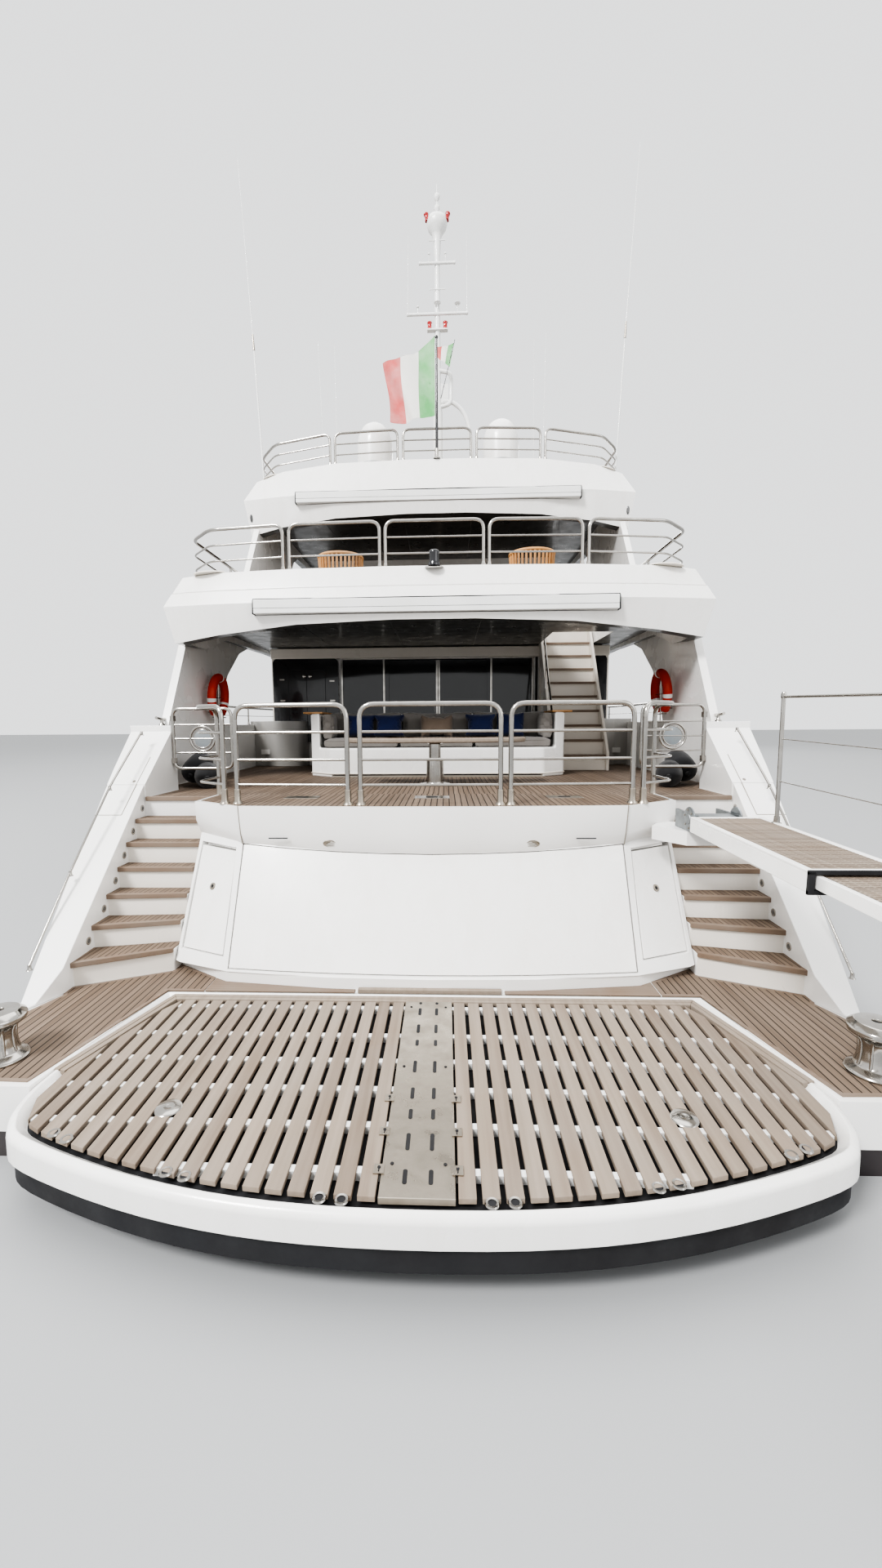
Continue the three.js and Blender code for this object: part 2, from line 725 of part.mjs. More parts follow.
function buildMainHouse() {
  const outer = prismZ(
    mirrorPlan([
      [HOUSE_X, BULKHEAD_Y],
      [HOUSE_X, HOUSE_FRONT_Y - GAP],
    ]),
    MAIN_Z + GAP,
    UPPER_SOFFIT_Z - GAP,
  );
  const inner = box(
    -HOUSE_X + WALL,
    HOUSE_X - WALL,
    BULKHEAD_Y + WALL,
    HOUSE_FRONT_Y - WALL,
    MAIN_Z + 60,
    UPPER_SOFFIT_Z + 50,
  );
  let made = outer.subtract(inner);
  for (const { y0, y1 } of MAIN_WINDOWS) {
    made = made.subtract(box(-4000, 4000, y0, y1, 2640, 3560));
  }
  const rebate = box(HOUSE_X - GLASS - GAP, 4000, -8900, 1000, 2580, 3620);
  made = made.subtract(bothSides(rebate));
  made = made.subtract(box(-1760, 1720, -10000, BULKHEAD_Y + 300, MAIN_Z + 60, DOOR_HEAD_Z));
  return made;
}

const MAIN_WINDOWS = [
  { y0: -8750, y1: -6400 },
  { y0: -6200, y1: -3700 },
  { y0: -3500, y1: -1000 },
  { y0: -800, y1: 850 },
];

addNode("main_house", buildMainHouse(), materials.gelcoat);
addPair("main_side_glass", box(HOUSE_X - GLASS, HOUSE_X, -8895, 995, 2585, 3615), materials.glass);

// Fixed outer panes in one track frame
function saloonFrame() {
  const y0 = BULKHEAD_Y + 10;
  const y1 = BULKHEAD_Y + 40;
  return unite([
    box(-1759, -910, y0, y1, MAIN_Z + 61, DOOR_HEAD_Z - 1),
    box(890, 1719, y0, y1, MAIN_Z + 61, DOOR_HEAD_Z - 1),
    box(-1759, 1719, y0, y1 + 50, DOOR_HEAD_Z - 10, DOOR_HEAD_Z - 1),
    box(-1759, 1719, y0, y1 + 50, MAIN_Z + 61, MAIN_Z + 70),
  ]);
}

addNode("saloon_frame", saloonFrame(), materials.glass);
addNode(
  "saloon_door_port",
  box(-960, -12, BULKHEAD_Y + 48, BULKHEAD_Y + 82, DOOR_LOW, DOOR_TOP),
  materials.glass,
);
addNode(
  "saloon_door_stbd",
  box(-6, 940, BULKHEAD_Y + 48, BULKHEAD_Y + 82, DOOR_LOW, DOOR_TOP),
  materials.glass,
);

// Outline of the upper deck from the stern: half breadth, lower edge and crown
const UPPER_EDGE = [
  { x: 500, y: -13020, low: 3860, crown: 4515 },
  { x: 1700, y: -12990, low: 3820, crown: 4512 },
  { x: 2700, y: -12900, low: 3720, crown: 4505 },
  { x: 3400, y: -12780, low: 3640, crown: 4480 },
  { x: 3455, y: -12200, low: 3660, crown: 4480 },
  { x: 3460, y: -11400, low: 3900, crown: 4500 },
  { x: 3460, y: -9000, low: 3960, crown: 4500 },
  { x: 3460, y: 800, low: 3960, crown: 4500 },
  { x: 3150, y: 3400, low: 4000, crown: 4500 },
  { x: 2950, y: 6200, low: 4000, crown: 4450 },
  { x: 1800, y: 6900, low: 4000, crown: 4400 },
];

function deckRing(table, inset, key, level) {
  return mirrorPlan(
    table.map(({ x, y }, i) => {
      const aft = i < 4;
      const front = i >= table.length - 1;
      const nx = aft && i < 3 ? x : x - inset;
      const ny = aft ? y + inset : front ? y - inset : y;
      return [nx, ny];
    }),
  ).map(([x, y], i) => {
    const count = table.length;
    const row = table[i < count ? i : 2 * count - 1 - i];
    return [x, y, key ? row[key] : level];
  });
}

function buildDeck(table, levels) {
  const { knuckle, floor, soffit, aftFascia } = levels;
  let made = loft([
    deckRing(table, 90, "low", 0),
    deckRing(table, 0, null, knuckle),
    deckRing(table, 180, "crown", 0),
  ]);
  const inner = deckRing(table, 320, null, 0).map(([x, y]) => [x, y]);
  made = made.subtract(prismZ(inner, floor, floor + 2000));
  const under = deckRing(table, aftFascia, null, 0).map(([x, y]) => [x, y]);
  made = made.subtract(prismZ(under, soffit - 2000, soffit));
  return made;
}

function sidePlate(points, x0, x1) {
  return bothSides(prismX(points, x0, x1));
}

function bulwarkTop(y) {
  return alongHull("sheerZ", y) + 1;
}

function buildUpperDeck() {
  let made = buildDeck(UPPER_EDGE, {
    knuckle: 4080,
    floor: UPPER_Z,
    soffit: UPPER_SOFFIT_Z,
    aftFascia: 230,
  });
  made = made.add(
    sidePlate(
      [
        [-12950, bulwarkTop(-12950)],
        [-12700, 3050],
        [-12330, 3700],
        [-11900, 4040],
        [-9600, 4040],
        [-10350, 3800],
        [-10900, 3400],
        [-11250, 2950],
        [-11380, bulwarkTop(-11380)],
      ],
      3330,
      3430,
    ),
  );
  made = made.subtract(box(1790, 2720, -10900, BULKHEAD_Y - 10, 3900, 5000));
  made = made.subtract(box(-2200, 2200, -13200, -12890, 3930, 4115));
  return made.subtract(box(-4000, 4000, 1400, 8000, 3000, UPPER_SOFFIT_Z));
}

// The deck slab up to its floor, and the coaming that stands on its edge
const upperTray = buildUpperDeck();
const aboveUpperFloor = box(-4000, 4000, -14000, 8000, UPPER_Z, 5000);
addNode("upper_deck", upperTray.subtract(aboveUpperFloor), materials.gelcoat);
addNode(
  "upper_coaming",
  upperTray.intersect(placed(aboveUpperFloor, new THREE.Matrix4().makeTranslation(0, 0, GAP))),
  materials.gelcoat,
);
addNode("upper_awning", box(-2190, 2190, -13000, -12891, 3940, 4108), materials.gelcoat);

// Stair from the aft deck to the upper deck
function upperStair() {
  const count = 10;
  const rise = (UPPER_Z - MAIN_Z) / count;
  const run = 150;
  const foot = -10840;
  const parts = [];
  for (let i = 1; i < count; i += 1) {
    const z = MAIN_Z + rise * i;
    const y = foot + run * (i - 1);
    parts.push(box(1818, 2682, y, y + run + 60, z - 45, z));
    parts.push(box(1822, 2678, y + run + 20, y + run + 57, z - 42, z + rise - 20));
  }
  const stringer = prismX(
    [
      [foot - 60, MAIN_Z + GAP],
      [foot + 180, MAIN_Z + GAP],
      [BULKHEAD_Y - 70, UPPER_Z - 330],
      [BULKHEAD_Y - 70, UPPER_Z - 20],
      [BULKHEAD_Y - 200, UPPER_Z - 20],
      [foot - 60, MAIN_Z + rise + 40],
    ],
    0,
    40,
  );
  parts.push(moved(stringer, 1800, 0, 0), moved(stringer, 2660, 0, 0));
  return unite(parts);
}

addNode("upper_stair", upperStair(), materials.gelcoat);

function upperHouseSolid(inset, z0, z1) {
  const { x, aft, front, topFront } = UPPER_HOUSE;
  const low = UPPER_Z;
  const high = SUN_SOFFIT_Z;
  const sill = 5000;
  const frontAt = (z) =>
    z <= sill ? front : front + ((topFront - front) * (z - sill)) / (high - sill);
  const ring = (z) =>
    mirrorPlan([
      [x - inset, aft + inset],
      [x - inset, frontAt(z) - 900 - inset * 0.6],
      [x - 900 - inset * 0.6, frontAt(z) - inset],
    ]).map(([px, py]) => [px, py, z]);
  return hullOf([...ring(Math.max(z0, low)), ...ring(sill), ...ring(Math.min(z1, high))]);
}

const UPPER_WINDOWS = [
  { y0: -5900, y1: -3600 },
  { y0: -3400, y1: -1100 },
  { y0: -900, y1: 1700 },
  { y0: 3300, y1: 4100 },
];

function buildUpperHouse() {
  let made = upperHouseSolid(0, UPPER_Z + GAP, SUN_SOFFIT_Z - GAP).subtract(
    box(-4000, 4000, -8000, 8000, 4000, UPPER_Z + GAP),
  );
  made = made.subtract(box(-4000, 4000, -8000, 8000, SUN_SOFFIT_Z - GAP, 8000));
  made = made.subtract(upperHouseSolid(WALL, UPPER_Z, SUN_SOFFIT_Z));
  for (const { y0, y1 } of UPPER_WINDOWS) {
    made = made.subtract(box(-4000, 4000, y0, y1, 5060, 6080));
  }
  const skin = upperHouseSolid(GLASS + GAP, 4000, 8000);
  for (const band of [
    box(1000, 4000, -6100, 1905, 5000, 6140),
    box(-4000, -1000, -6100, 1905, 5000, 6140),
    box(-2500, 2500, 4260, 8000, 5060, 6140),
  ]) {
    made = made.subtract(band.subtract(skin));
  }
  made = made.subtract(box(-2200, 2200, 4500, 8000, 5120, 6080).subtract(wheelPillars()));
  const { y0, y1, z0, z1 } = WHEEL_DOOR;
  made = made.subtract(box(-4000, 4000, y0, y1, z0, z1));
  const aft = UPPER_HOUSE.x - WALL;
  made = made.subtract(box(-aft, aft, -7000, -6300, UPPER_Z + 60, 6150));
  return made.add(bothSides(wheelRail(z1 + 26)));
}

function wheelDoor() {
  const { x } = UPPER_HOUSE;
  const { y0, y1, z0, z1 } = WHEEL_DOOR;
  const leaf = box(x + 7, x + 49, y0 - 30, y1 + 30, z0 - 20, z1 + 20);
  return leaf.subtract(box(x + 30, x + 60, y0 + 90, y1 - 90, 5060, 6080));
}

function wheelRail(z) {
  return box(UPPER_HOUSE.x - 5, UPPER_HOUSE.x + 56, WHEEL_DOOR.y0 - 860, WHEEL_DOOR.y1 + 40, z, z + 40);
}

function wheelPillars() {
  return unite([-760, 760].map((x) => box(x - 60, x + 60, 4000, 8000, 4000, 8000)));
}

function upperPane(band) {
  const shell = upperHouseSolid(0, 4000, 8000).subtract(upperHouseSolid(GLASS, 4000, 8000));
  return shell.intersect(band);
}

// The house is built in two sections that meet behind the windshield
const upperWalls = buildUpperHouse();
const frontSection = (y) => box(-4000, 4000, y, 8000, 4000, 8000);
addNode("upper_house", upperWalls.subtract(frontSection(UPPER_HOUSE.joint)), materials.gelcoat);
addNode(
  "upper_house_front",
  upperWalls.intersect(frontSection(UPPER_HOUSE.joint + GAP)),
  materials.gelcoat,
);
addPair("upper_side_glass", upperPane(box(1000, 4000, -6095, 1900, 5005, 6135)), materials.glass);
addNode("windshield", upperPane(box(-2495, 2495, 4265, 8000, 5065, 6135)), materials.glass);
// Sliding side doors on the outside of the wall, and the rails that they hang on
addPair("wheelhouse_door", wheelDoor(), materials.gelcoat);
const aftPaneX = UPPER_HOUSE.x - WALL - 5;
addNode(
  "upper_aft_glass",
  box(-aftPaneX, aftPaneX, -6480, -6440, UPPER_Z + 65, 6145),
  materials.glass,
);

// Outline of the sun deck from the stern
const SUN_EDGE = [
  { x: 500, y: -10260, low: 6060, crown: 6950 },
  { x: 1700, y: -10230, low: 6020, crown: 6930 },
  { x: 2600, y: -10130, low: 5930, crown: 6860 },
  { x: 3280, y: -9990, low: 5840, crown: 6760 },
  { x: 3330, y: -9500, low: 5860, crown: 6760 },
  { x: 3330, y: -8800, low: 6150, crown: 6800 },
  { x: 3300, y: -6000, low: 6250, crown: 6900 },
  { x: 3150, y: 0, low: SUN_SOFFIT_Z, crown: 7050 },
  { x: 2750, y: 4200, low: SUN_SOFFIT_Z, crown: 7050 },
  { x: 1700, y: 5400, low: SUN_SOFFIT_Z, crown: 7000 },
];

function buildSunDeck() {
  let made = buildDeck(SUN_EDGE, {
    knuckle: 6390,
    floor: SUN_Z,
    soffit: SUN_SOFFIT_Z,
    aftFascia: 230,
  });
  made = made.add(
    sidePlate(
      [
        [-9900, 6000],
        [-9500, 6400],
        [-6900, 6400],
        [-7700, 6000],
        [-8500, 5200],
        [-8900, UPPER_Z + GAP],
        [-10900, UPPER_Z + GAP],
        [-10600, 5000],
      ],
      3045,
      3135,
    ),
  );
  made = made.subtract(box(-2600, 2600, -7000, 5300, 6000, SUN_SOFFIT_Z));
  made = made.subtract(box(-2340, 2340, -10500, -10130, 6240, 6425));
  return made;
}

addNode("sun_deck", buildSunDeck(), materials.gelcoat);
addNode("sun_awning", box(-2330, 2330, -10240, -10131, 6250, 6418), materials.gelcoat);

function buildMast() {
  const column = loft(
    [
      { z: SUN_Z + GAP, x: 110, f: 130, a: 110 },
      { z: 8400, x: 90, f: 100, a: 90 },
      { z: 9200, x: 85, f: 90, a: 85 },
      { z: 10100, x: 60, f: 60, a: 60 },
      { z: 11200, x: 40, f: 40, a: 40 },
      { z: 11250, x: 75, f: 75, a: 75 },
      { z: 11560, x: 85, f: 85, a: 85 },
    ].map(({ z, x, f, a }) => [
      [-x, MAST_Y - a * 0.5, z],
      [-x * 0.5, MAST_Y - a, z],
      [x * 0.5, MAST_Y - a, z],
      [x, MAST_Y - a * 0.5, z],
      [x, MAST_Y + f * 0.5, z],
      [x * 0.5, MAST_Y + f, z],
      [-x * 0.5, MAST_Y + f, z],
      [-x, MAST_Y + f * 0.5, z],
    ]),
  );
  const tree = (z, half) => box(-half, half, MAST_Y - 30, MAST_Y + 30, z - 25, z + 25);
  const ball = new THREE.SphereGeometry(165, 16, 8).rotateX(Math.PI / 2).scale(1, 1, 0.73);
  const head = solid(ball.translate(0, MAST_Y, 11660));
  const pole = disc(0, MAST_Y, 11700, 16, 620, 8);
  const bracket = box(20, 260, MAST_Y - 90, MAST_Y - 40, 8480, 9150);
  const arch = tube(
    [
      [230, MAST_Y - 60, 8830],
      [420, MAST_Y - 60, 8800],
      [560, MAST_Y - 60, 8650],
      [640, MAST_Y - 60, 8400],
      [660, MAST_Y - 60, 8000],
      [650, MAST_Y - 60, SUN_Z + GAP],
    ],
    36,
    10,
  );
  return unite([column, tree(10110, 560), tree(10970, 325), head, pole, bracket, arch]);
}

function dome() {
  const profile = [
    [0, 0],
    [190, 0],
    [150, 60],
    [130, 560],
    [290, 680],
    [318, 760],
    [318, 1080],
    [290, 1210],
    [200, 1320],
    [90, 1368],
    [0, 1378],
  ];
  return turned(profile, 24);
}

function flagstaff() {
  const foot = disc(0, -10062, 6956, 30, 40, 12);
  return foot.add(disc(0, -10062, 6960, 17, 1860, 10)).add(disc(0, -10062, 8815, 26, 40, 10));
}

addNode("mast", buildMast(), materials.gelcoat);
addPair("satcom_dome", dome(), materials.gelcoat, [1130, -9150, SUN_Z + GAP]);
addNode("flagstaff", flagstaff(), materials.dark);

// Rail frames and bottom strip across the stern
function sternRail() {
  const z = LIP_Z + GAP;
  const bars = [2035, 2270, 2530];
  const frames = [
    [-1775, -14900, -725, -14985],
    [-615, -14990, 610, -14990],
    [700, -14985, 1785, -14900],
  ].map(([ax, ay, bx, by]) => railFrame([ax, ay, z + 4], [bx, by, z + 4], 2770, bars, 21));
  const strip = prismZ(
    mirrorPlan([
      [1810, -14870],
      [1810, -14935],
      [500, -15030],
    ]).concat(mirrorPlan([[500, -14960]]).reverse()),
    z,
    z + 8,
  );
  const deck = MAIN_Z + GAP;
  const feet = [[1885, -14875, z + 4], [2235, -14135, deck + 4]];
  const corner = cornerFrame(feet[0], [2235, -14630], feet[1], 2770, bars, 21);
  const pad = box(2205, 2265, -14165, -14105, deck, deck + 8);
  const foot = prismZ([[1790, -14830], [1790, -14925], [1925, -14850], [1925, -14780]], z, z + 8);
  return unite([...frames, strip, bothSides(unite([corner, foot, pad]))]);
}

const GATE = { x0: 2300, x1: 2975, y: -13560, z0: 2110, z1: 2790, corner: 60 };

function gate() {
  const { x0, x1, y, z0, z1, corner } = GATE;
  const middle = (x0 + x1) / 2;
  const halfLoop = (side, lap) =>
    tube(
      [
        [middle - lap, y, z0],
        [side - Math.sign(side - middle) * corner, y, z0],
        [side, y, z0 + corner],
        [side, y, z1 - corner],
        [side - Math.sign(side - middle) * corner, y, z1],
        [middle - lap, y, z1],
      ],
      17,
      6,
    );
  const ring = new THREE.TorusGeometry(140, 13, 6, 16).rotateX(Math.PI / 2).translate(2640, y, 2450);
  const bars = [2290, 2450, 2610].map((z) => tube([[x0, y, z], [x1, y, z]], 9, 5));
  return unite([halfLoop(x1, 15), halfLoop(x0, -15), solid(ring), ...bars]);
}

// Rail frames round a deck's crown, joined along their feet, with a plain run along each side.
function crownRail(half, frames, sideFrom, rise, bars) {
  const lift = ([x, y, z], dz) => [x, y, z + dz];
  const port = half.map(([x, y, z]) => [-x, y, z]).reverse();
  const parts = [tube([...port, ...half].map((p) => lift(p, 24)), 12, 4)];
  const frame = (p, q) => {
    const a = lift(p, 24);
    const b = lift(q, 24);
    const top = Math.max(a[2], b[2]) + rise;
    parts.push(tube(archPath(a, b, top, 90), 19, 5));
    for (const share of bars) {
      const level = (e) => [e[0], e[1], e[2] + (top - e[2]) * share];
      parts.push(tube([level(a), level(b)], 10, 4));
    }
  };
  frame(port[port.length - 1], half[0]);
  for (const [i, j] of frames) {
    frame(half[i], half[j]);
    frame(lift([-half[i][0], half[i][1], half[i][2]], 0), [-half[j][0], half[j][1], half[j][2]]);
  }
  const side = half.slice(sideFrom);
  const run = [
    tube([...side.map((p) => lift(p, rise)), lift(side[side.length - 1], 20)], 19, 5),
    ...bars.map((share) => tube(side.map((p) => lift(p, rise * share)), 10, 4)),
    ...side.slice(0, -1).map((p) => tube([lift(p, 20), lift(p, rise)], 16, 5)),
  ];
  parts.push(...run, ...run.map(mirrored));
  return unite(parts);
}

function upperRail() {
  const half = [
    [600, -12760, 4515],
    [670, -12755, 4515],
    [1800, -12725, 4512],
    [1880, -12720, 4511],
    [2850, -12610, 4502],
    [3205, -12200, 4490],
    [3210, -11400, 4500],
    [3210, -9000, 4500],
    [3210, -6600, 4500],
    [3210, -4200, 4500],
    [3210, -1800, 4500],
    [3210, 700, 4500],
    [2920, 3250, 4500],
  ];
  return crownRail(half, [[1, 2], [3, 4]], 5, 540, [0.3, 0.65]);
}

function sunRail() {
  const half = [
    [560, -10005, 6950],
    [655, -10005, 6950],
    [1705, -9975, 6928],
    [1790, -9970, 6925],
    [2760, -9840, 6840],
    [3080, -9500, 6770],
    [3080, -8800, 6800],
    [3050, -6000, 6900],
  ];
  return crownRail(half, [[1, 2], [3, 4]], 5, 500, [0.33, 0.66]);
}

// One rail round the bulwark from quarter to quarter by way of the bow.
function mainRail() {
  const stations = [-11200, -9600, -8000, -6400, -4800, -3200, -1600, 0, 1200, 2400, 3400];
  const bow = [5200, 7000, 8500, 10000, 11300, 12500, 13600, 14500, 15600, 16400];
  const foot = (y) => [alongHull("sheerX", y) - 80, y, alongHull("sheerZ", y)];
  const half = [...stations, ...bow].map(foot);
  const bar = (lift) => {
    const path = half.map(([x, y, z]) => [x, y, z + lift]);
    return tube([...path, ...path.map(([x, y, z]) => [-x, y, z]).reverse()], 19, 6);
  };
  const posts = half.map(([x, y, z]) => tube([[x, y, z + 15], [x, y, z + 300]], 15, 6));
  return unite([bar(300), ...posts, ...posts.map(mirrored)]);
}

addNode("upper_rail", upperRail(), materials.steel);
addNode("sun_rail", sunRail(), materials.steel);
addNode("main_rail", mainRail(), materials.steel);
addNode("stern_rail", sternRail(), materials.steel);
addPair("stern_gate", gate(), materials.steel);

function sofaPlan(inset) {
  return [
    [1830 - inset, -11700],
    [1500 - inset, -11960 + inset],
    [-1500 + inset, -11960 + inset],
    [-1830 + inset, -11700],
    [-1930 + inset, -10900 - inset],
    [1930 - inset, -10900 - inset],
  ];
}

function sofaBase() {
  const block = prismZ(sofaPlan(0), MAIN_Z + GAP, 2270);
  const back = prismZ(sofaPlan(0), MAIN_Z + GAP, 2760).subtract(
    prismZ(
      [
        [1680, -12100],
        [1680, -11100],
        [-1680, -11100],
        [-1680, -12100],
      ],
      2260,
      3000,
    ),
  );
  return block.add(back);
}

function sofaCushion() {
  return box(-1650, 1650, -11920, -11370, 2271, 2390).add(
    box(-1650, 1650, -11380, -11110, 2271, 2770),
  );
}

function deckTable() {
  const top = prismZ(
    [
      [-1150, -12700],
      [-1020, -13300],
      [1020, -13300],
      [1150, -12700],
    ],
    2380,
    2430,
  );
  return unite([
    top,
    disc(0, -13000, MAIN_Z + GAP, 100, 560, 20),
    disc(0, -13000, MAIN_Z + GAP, 190, 20, 20),
  ]);
}

addNode("aft_sofa", sofaBase(), materials.gelcoat);
addNode("aft_sofa_cushions", sofaCushion(), materials.cushion);
addNode("aft_table", deckTable(), materials.teak);

function chair() {
  const seat = disc(0, 0, 380, 290, 60, 20);
  const legs = [45, 135, 225, 315].map((a) => {
    const t = (a * Math.PI) / 180;
    return disc(220 * Math.cos(t), 220 * Math.sin(t), 0, 22, 400, 8);
  });
  const ring = disc(0, 0, 430, 310, 260, 24).subtract(disc(0, 0, 400, 270, 400, 24));
  const back = ring.subtract(box(-400, 400, 60, 400, 300, 900));
  return unite([seat, ...legs, back]);
}

addPair("upper_chair", chair(), materials.teak, [1330, -11750, UPPER_Z + GAP]);

function flyConsole() {
  const z = SUN_Z + GAP;
  const desk = hullOf(
    [-900, 900].flatMap((x) => [
      [x, 2200, z],
      [x, 3300, z],
      [x, 3300, z + 850],
      [x, 2900, z + 1000],
      [x, 2300, z + 800],
    ]),
  );
  const screen = hullOf(
    [-1800, 1800].flatMap((x) => [
      [x, 3240, z + 600],
      [x, 3270, z + 600],
      [x * 0.9, 2900, z + 1350],
      [x * 0.9, 2930, z + 1350],
    ]),
  );
  return desk.add(screen);
}

function flySeat() {
  const z = SUN_Z + GAP;
  return box(-900, 900, 600, 1250, z, z + 480).add(box(-900, 900, 450, 640, z, z + 950));
}

function windlass() {
  const z = UPPER_SOFFIT_Z;
  const drum = (x) => disc(x, 14600, z, 120, 260, 16);
  const bed = box(-420, 420, 14400, 14800, z, z + 60);
  return unite([bed, drum(-260), drum(260)]);
}

addNode("fly_console", flyConsole(), materials.gelcoat);
addNode("fly_seat", flySeat(), materials.cushion);
addNode("windlass", windlass(), materials.steel);
addNode(
  "foredeck_sunpad",
  box(-1500, 1500, 8600, 11200, UPPER_SOFFIT_Z, UPPER_SOFFIT_Z + 420),
  materials.cushion,
);

// The arm on the transom corner that carries the turret
function gangwayArm() {
  return hullOf(
    [1570, 1690].flatMap((z) => [
      [2120, -14700, z],
      [2500, -14880, z],
      [2500, -15230, z],
      [2140, -15230, z],
      [1950, -14950, z],
    ]),
  );
}

function gangwayTurret() {
  const cheeks = [-185, 160].map((x) => box(x, x + 25, -300, 100, -109, 45));
  const plate = box(-185, 185, -300, 100, -109, -77);
  const drum = moved(barrelY(-300, 0, 46, 46, 16), 120, -235, -151);
  return unite([plate, ...cheeks, drum]);
}

// The two stages, drawn along Y from the pin that they luff on
function gangwayInner() {
  const outer = box(-275, 275, -1700, -220, -60, 60);
  const hollow = box(-250, 250, -1800, -240, -46, 44);
  const tongue = box(-150, 150, -230, 90, -40, 40);
  const post = tube([[262, -440, 40], [290, -360, 1000]], 15, 8);
  return unite([outer.subtract(hollow), tongue, post]);
}

function gangwayOuter() {
  return box(-236, 236, -3800, -1450, -38, 36);
}

const turret = new THREE.Group();
turret.position.set(GANGWAY.x, GANGWAY.rootY, GANGWAY.z);
root.add(turret);
const stages = new THREE.Group();
stages.position.set(0, GANGWAY.pinY, 0);
stages.rotation.x = THREE.MathUtils.degToRad(GANGWAY.slopeDeg);
turret.add(stages);
addNode("gangway_turret", gangwayTurret(), materials.steel, turret);
addNode("gangway_inner", gangwayInner(), materials.gelcoat, stages);
addNode("gangway_outer", gangwayOuter(), materials.gelcoat, stages);

export default root;
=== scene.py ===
"""Three-deck motor yacht at her stern quay: finishes, mouldings, joinery, steelwork and soft goods."""

import logging
import math
import random
from collections.abc import Callable, Iterable, Sequence
from dataclasses import dataclass
from enum import Enum
from functools import cache

import bmesh
import bpy
from bmesh.types import BMesh, BMEdge, BMFace, BMVert
from mathutils import Matrix, Vector
from mathutils.bvhtree import BVHTree


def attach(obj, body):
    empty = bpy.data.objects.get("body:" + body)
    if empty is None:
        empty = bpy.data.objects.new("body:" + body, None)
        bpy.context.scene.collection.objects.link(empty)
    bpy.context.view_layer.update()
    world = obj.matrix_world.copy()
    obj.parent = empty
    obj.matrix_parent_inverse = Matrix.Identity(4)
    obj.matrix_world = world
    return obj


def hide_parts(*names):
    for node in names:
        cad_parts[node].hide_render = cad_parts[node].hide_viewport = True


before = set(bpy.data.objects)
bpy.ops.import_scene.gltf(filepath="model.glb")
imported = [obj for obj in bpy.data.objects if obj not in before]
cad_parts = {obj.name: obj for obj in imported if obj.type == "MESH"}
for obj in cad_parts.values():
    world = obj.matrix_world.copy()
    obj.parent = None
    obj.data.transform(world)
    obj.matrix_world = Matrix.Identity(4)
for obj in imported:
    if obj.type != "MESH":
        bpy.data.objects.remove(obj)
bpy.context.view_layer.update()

log = logging.getLogger("yacht")
Point = tuple[float, float, float]
Color = tuple[float, float, float, float]
Socket = bpy.types.NodeSocket
Object = bpy.types.Object
Material = bpy.types.Material
BOAT = "boat"

# Levels above the waterline
PLATFORM_Z = 0.45
MAIN_Z = 1.85
LIP_Z = 1.88
UPPER_Z = 4.25
SUN_Z = 6.60
# How deep a laid sheet sits in what carries it
SUNK = 0.004


class Slot(Enum):
    """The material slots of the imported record."""

    GELCOAT = "gelcoat"
    TEAK = "teak"
    STEEL = "steel"
    DARK_STEEL = "dark_steel"
    GLASS = "dark_glass"
    BRONZE = "bronze"
    CUSHION = "cushion"


class Side(Enum):
    """The two sides of the boat, each with the sign of its X."""

    STARBOARD = 1
    PORT = -1

    @property
    def tag(self) -> str:
        """The ending that this side gives a name."""
        return "stbd" if self is Side.STARBOARD else "port"


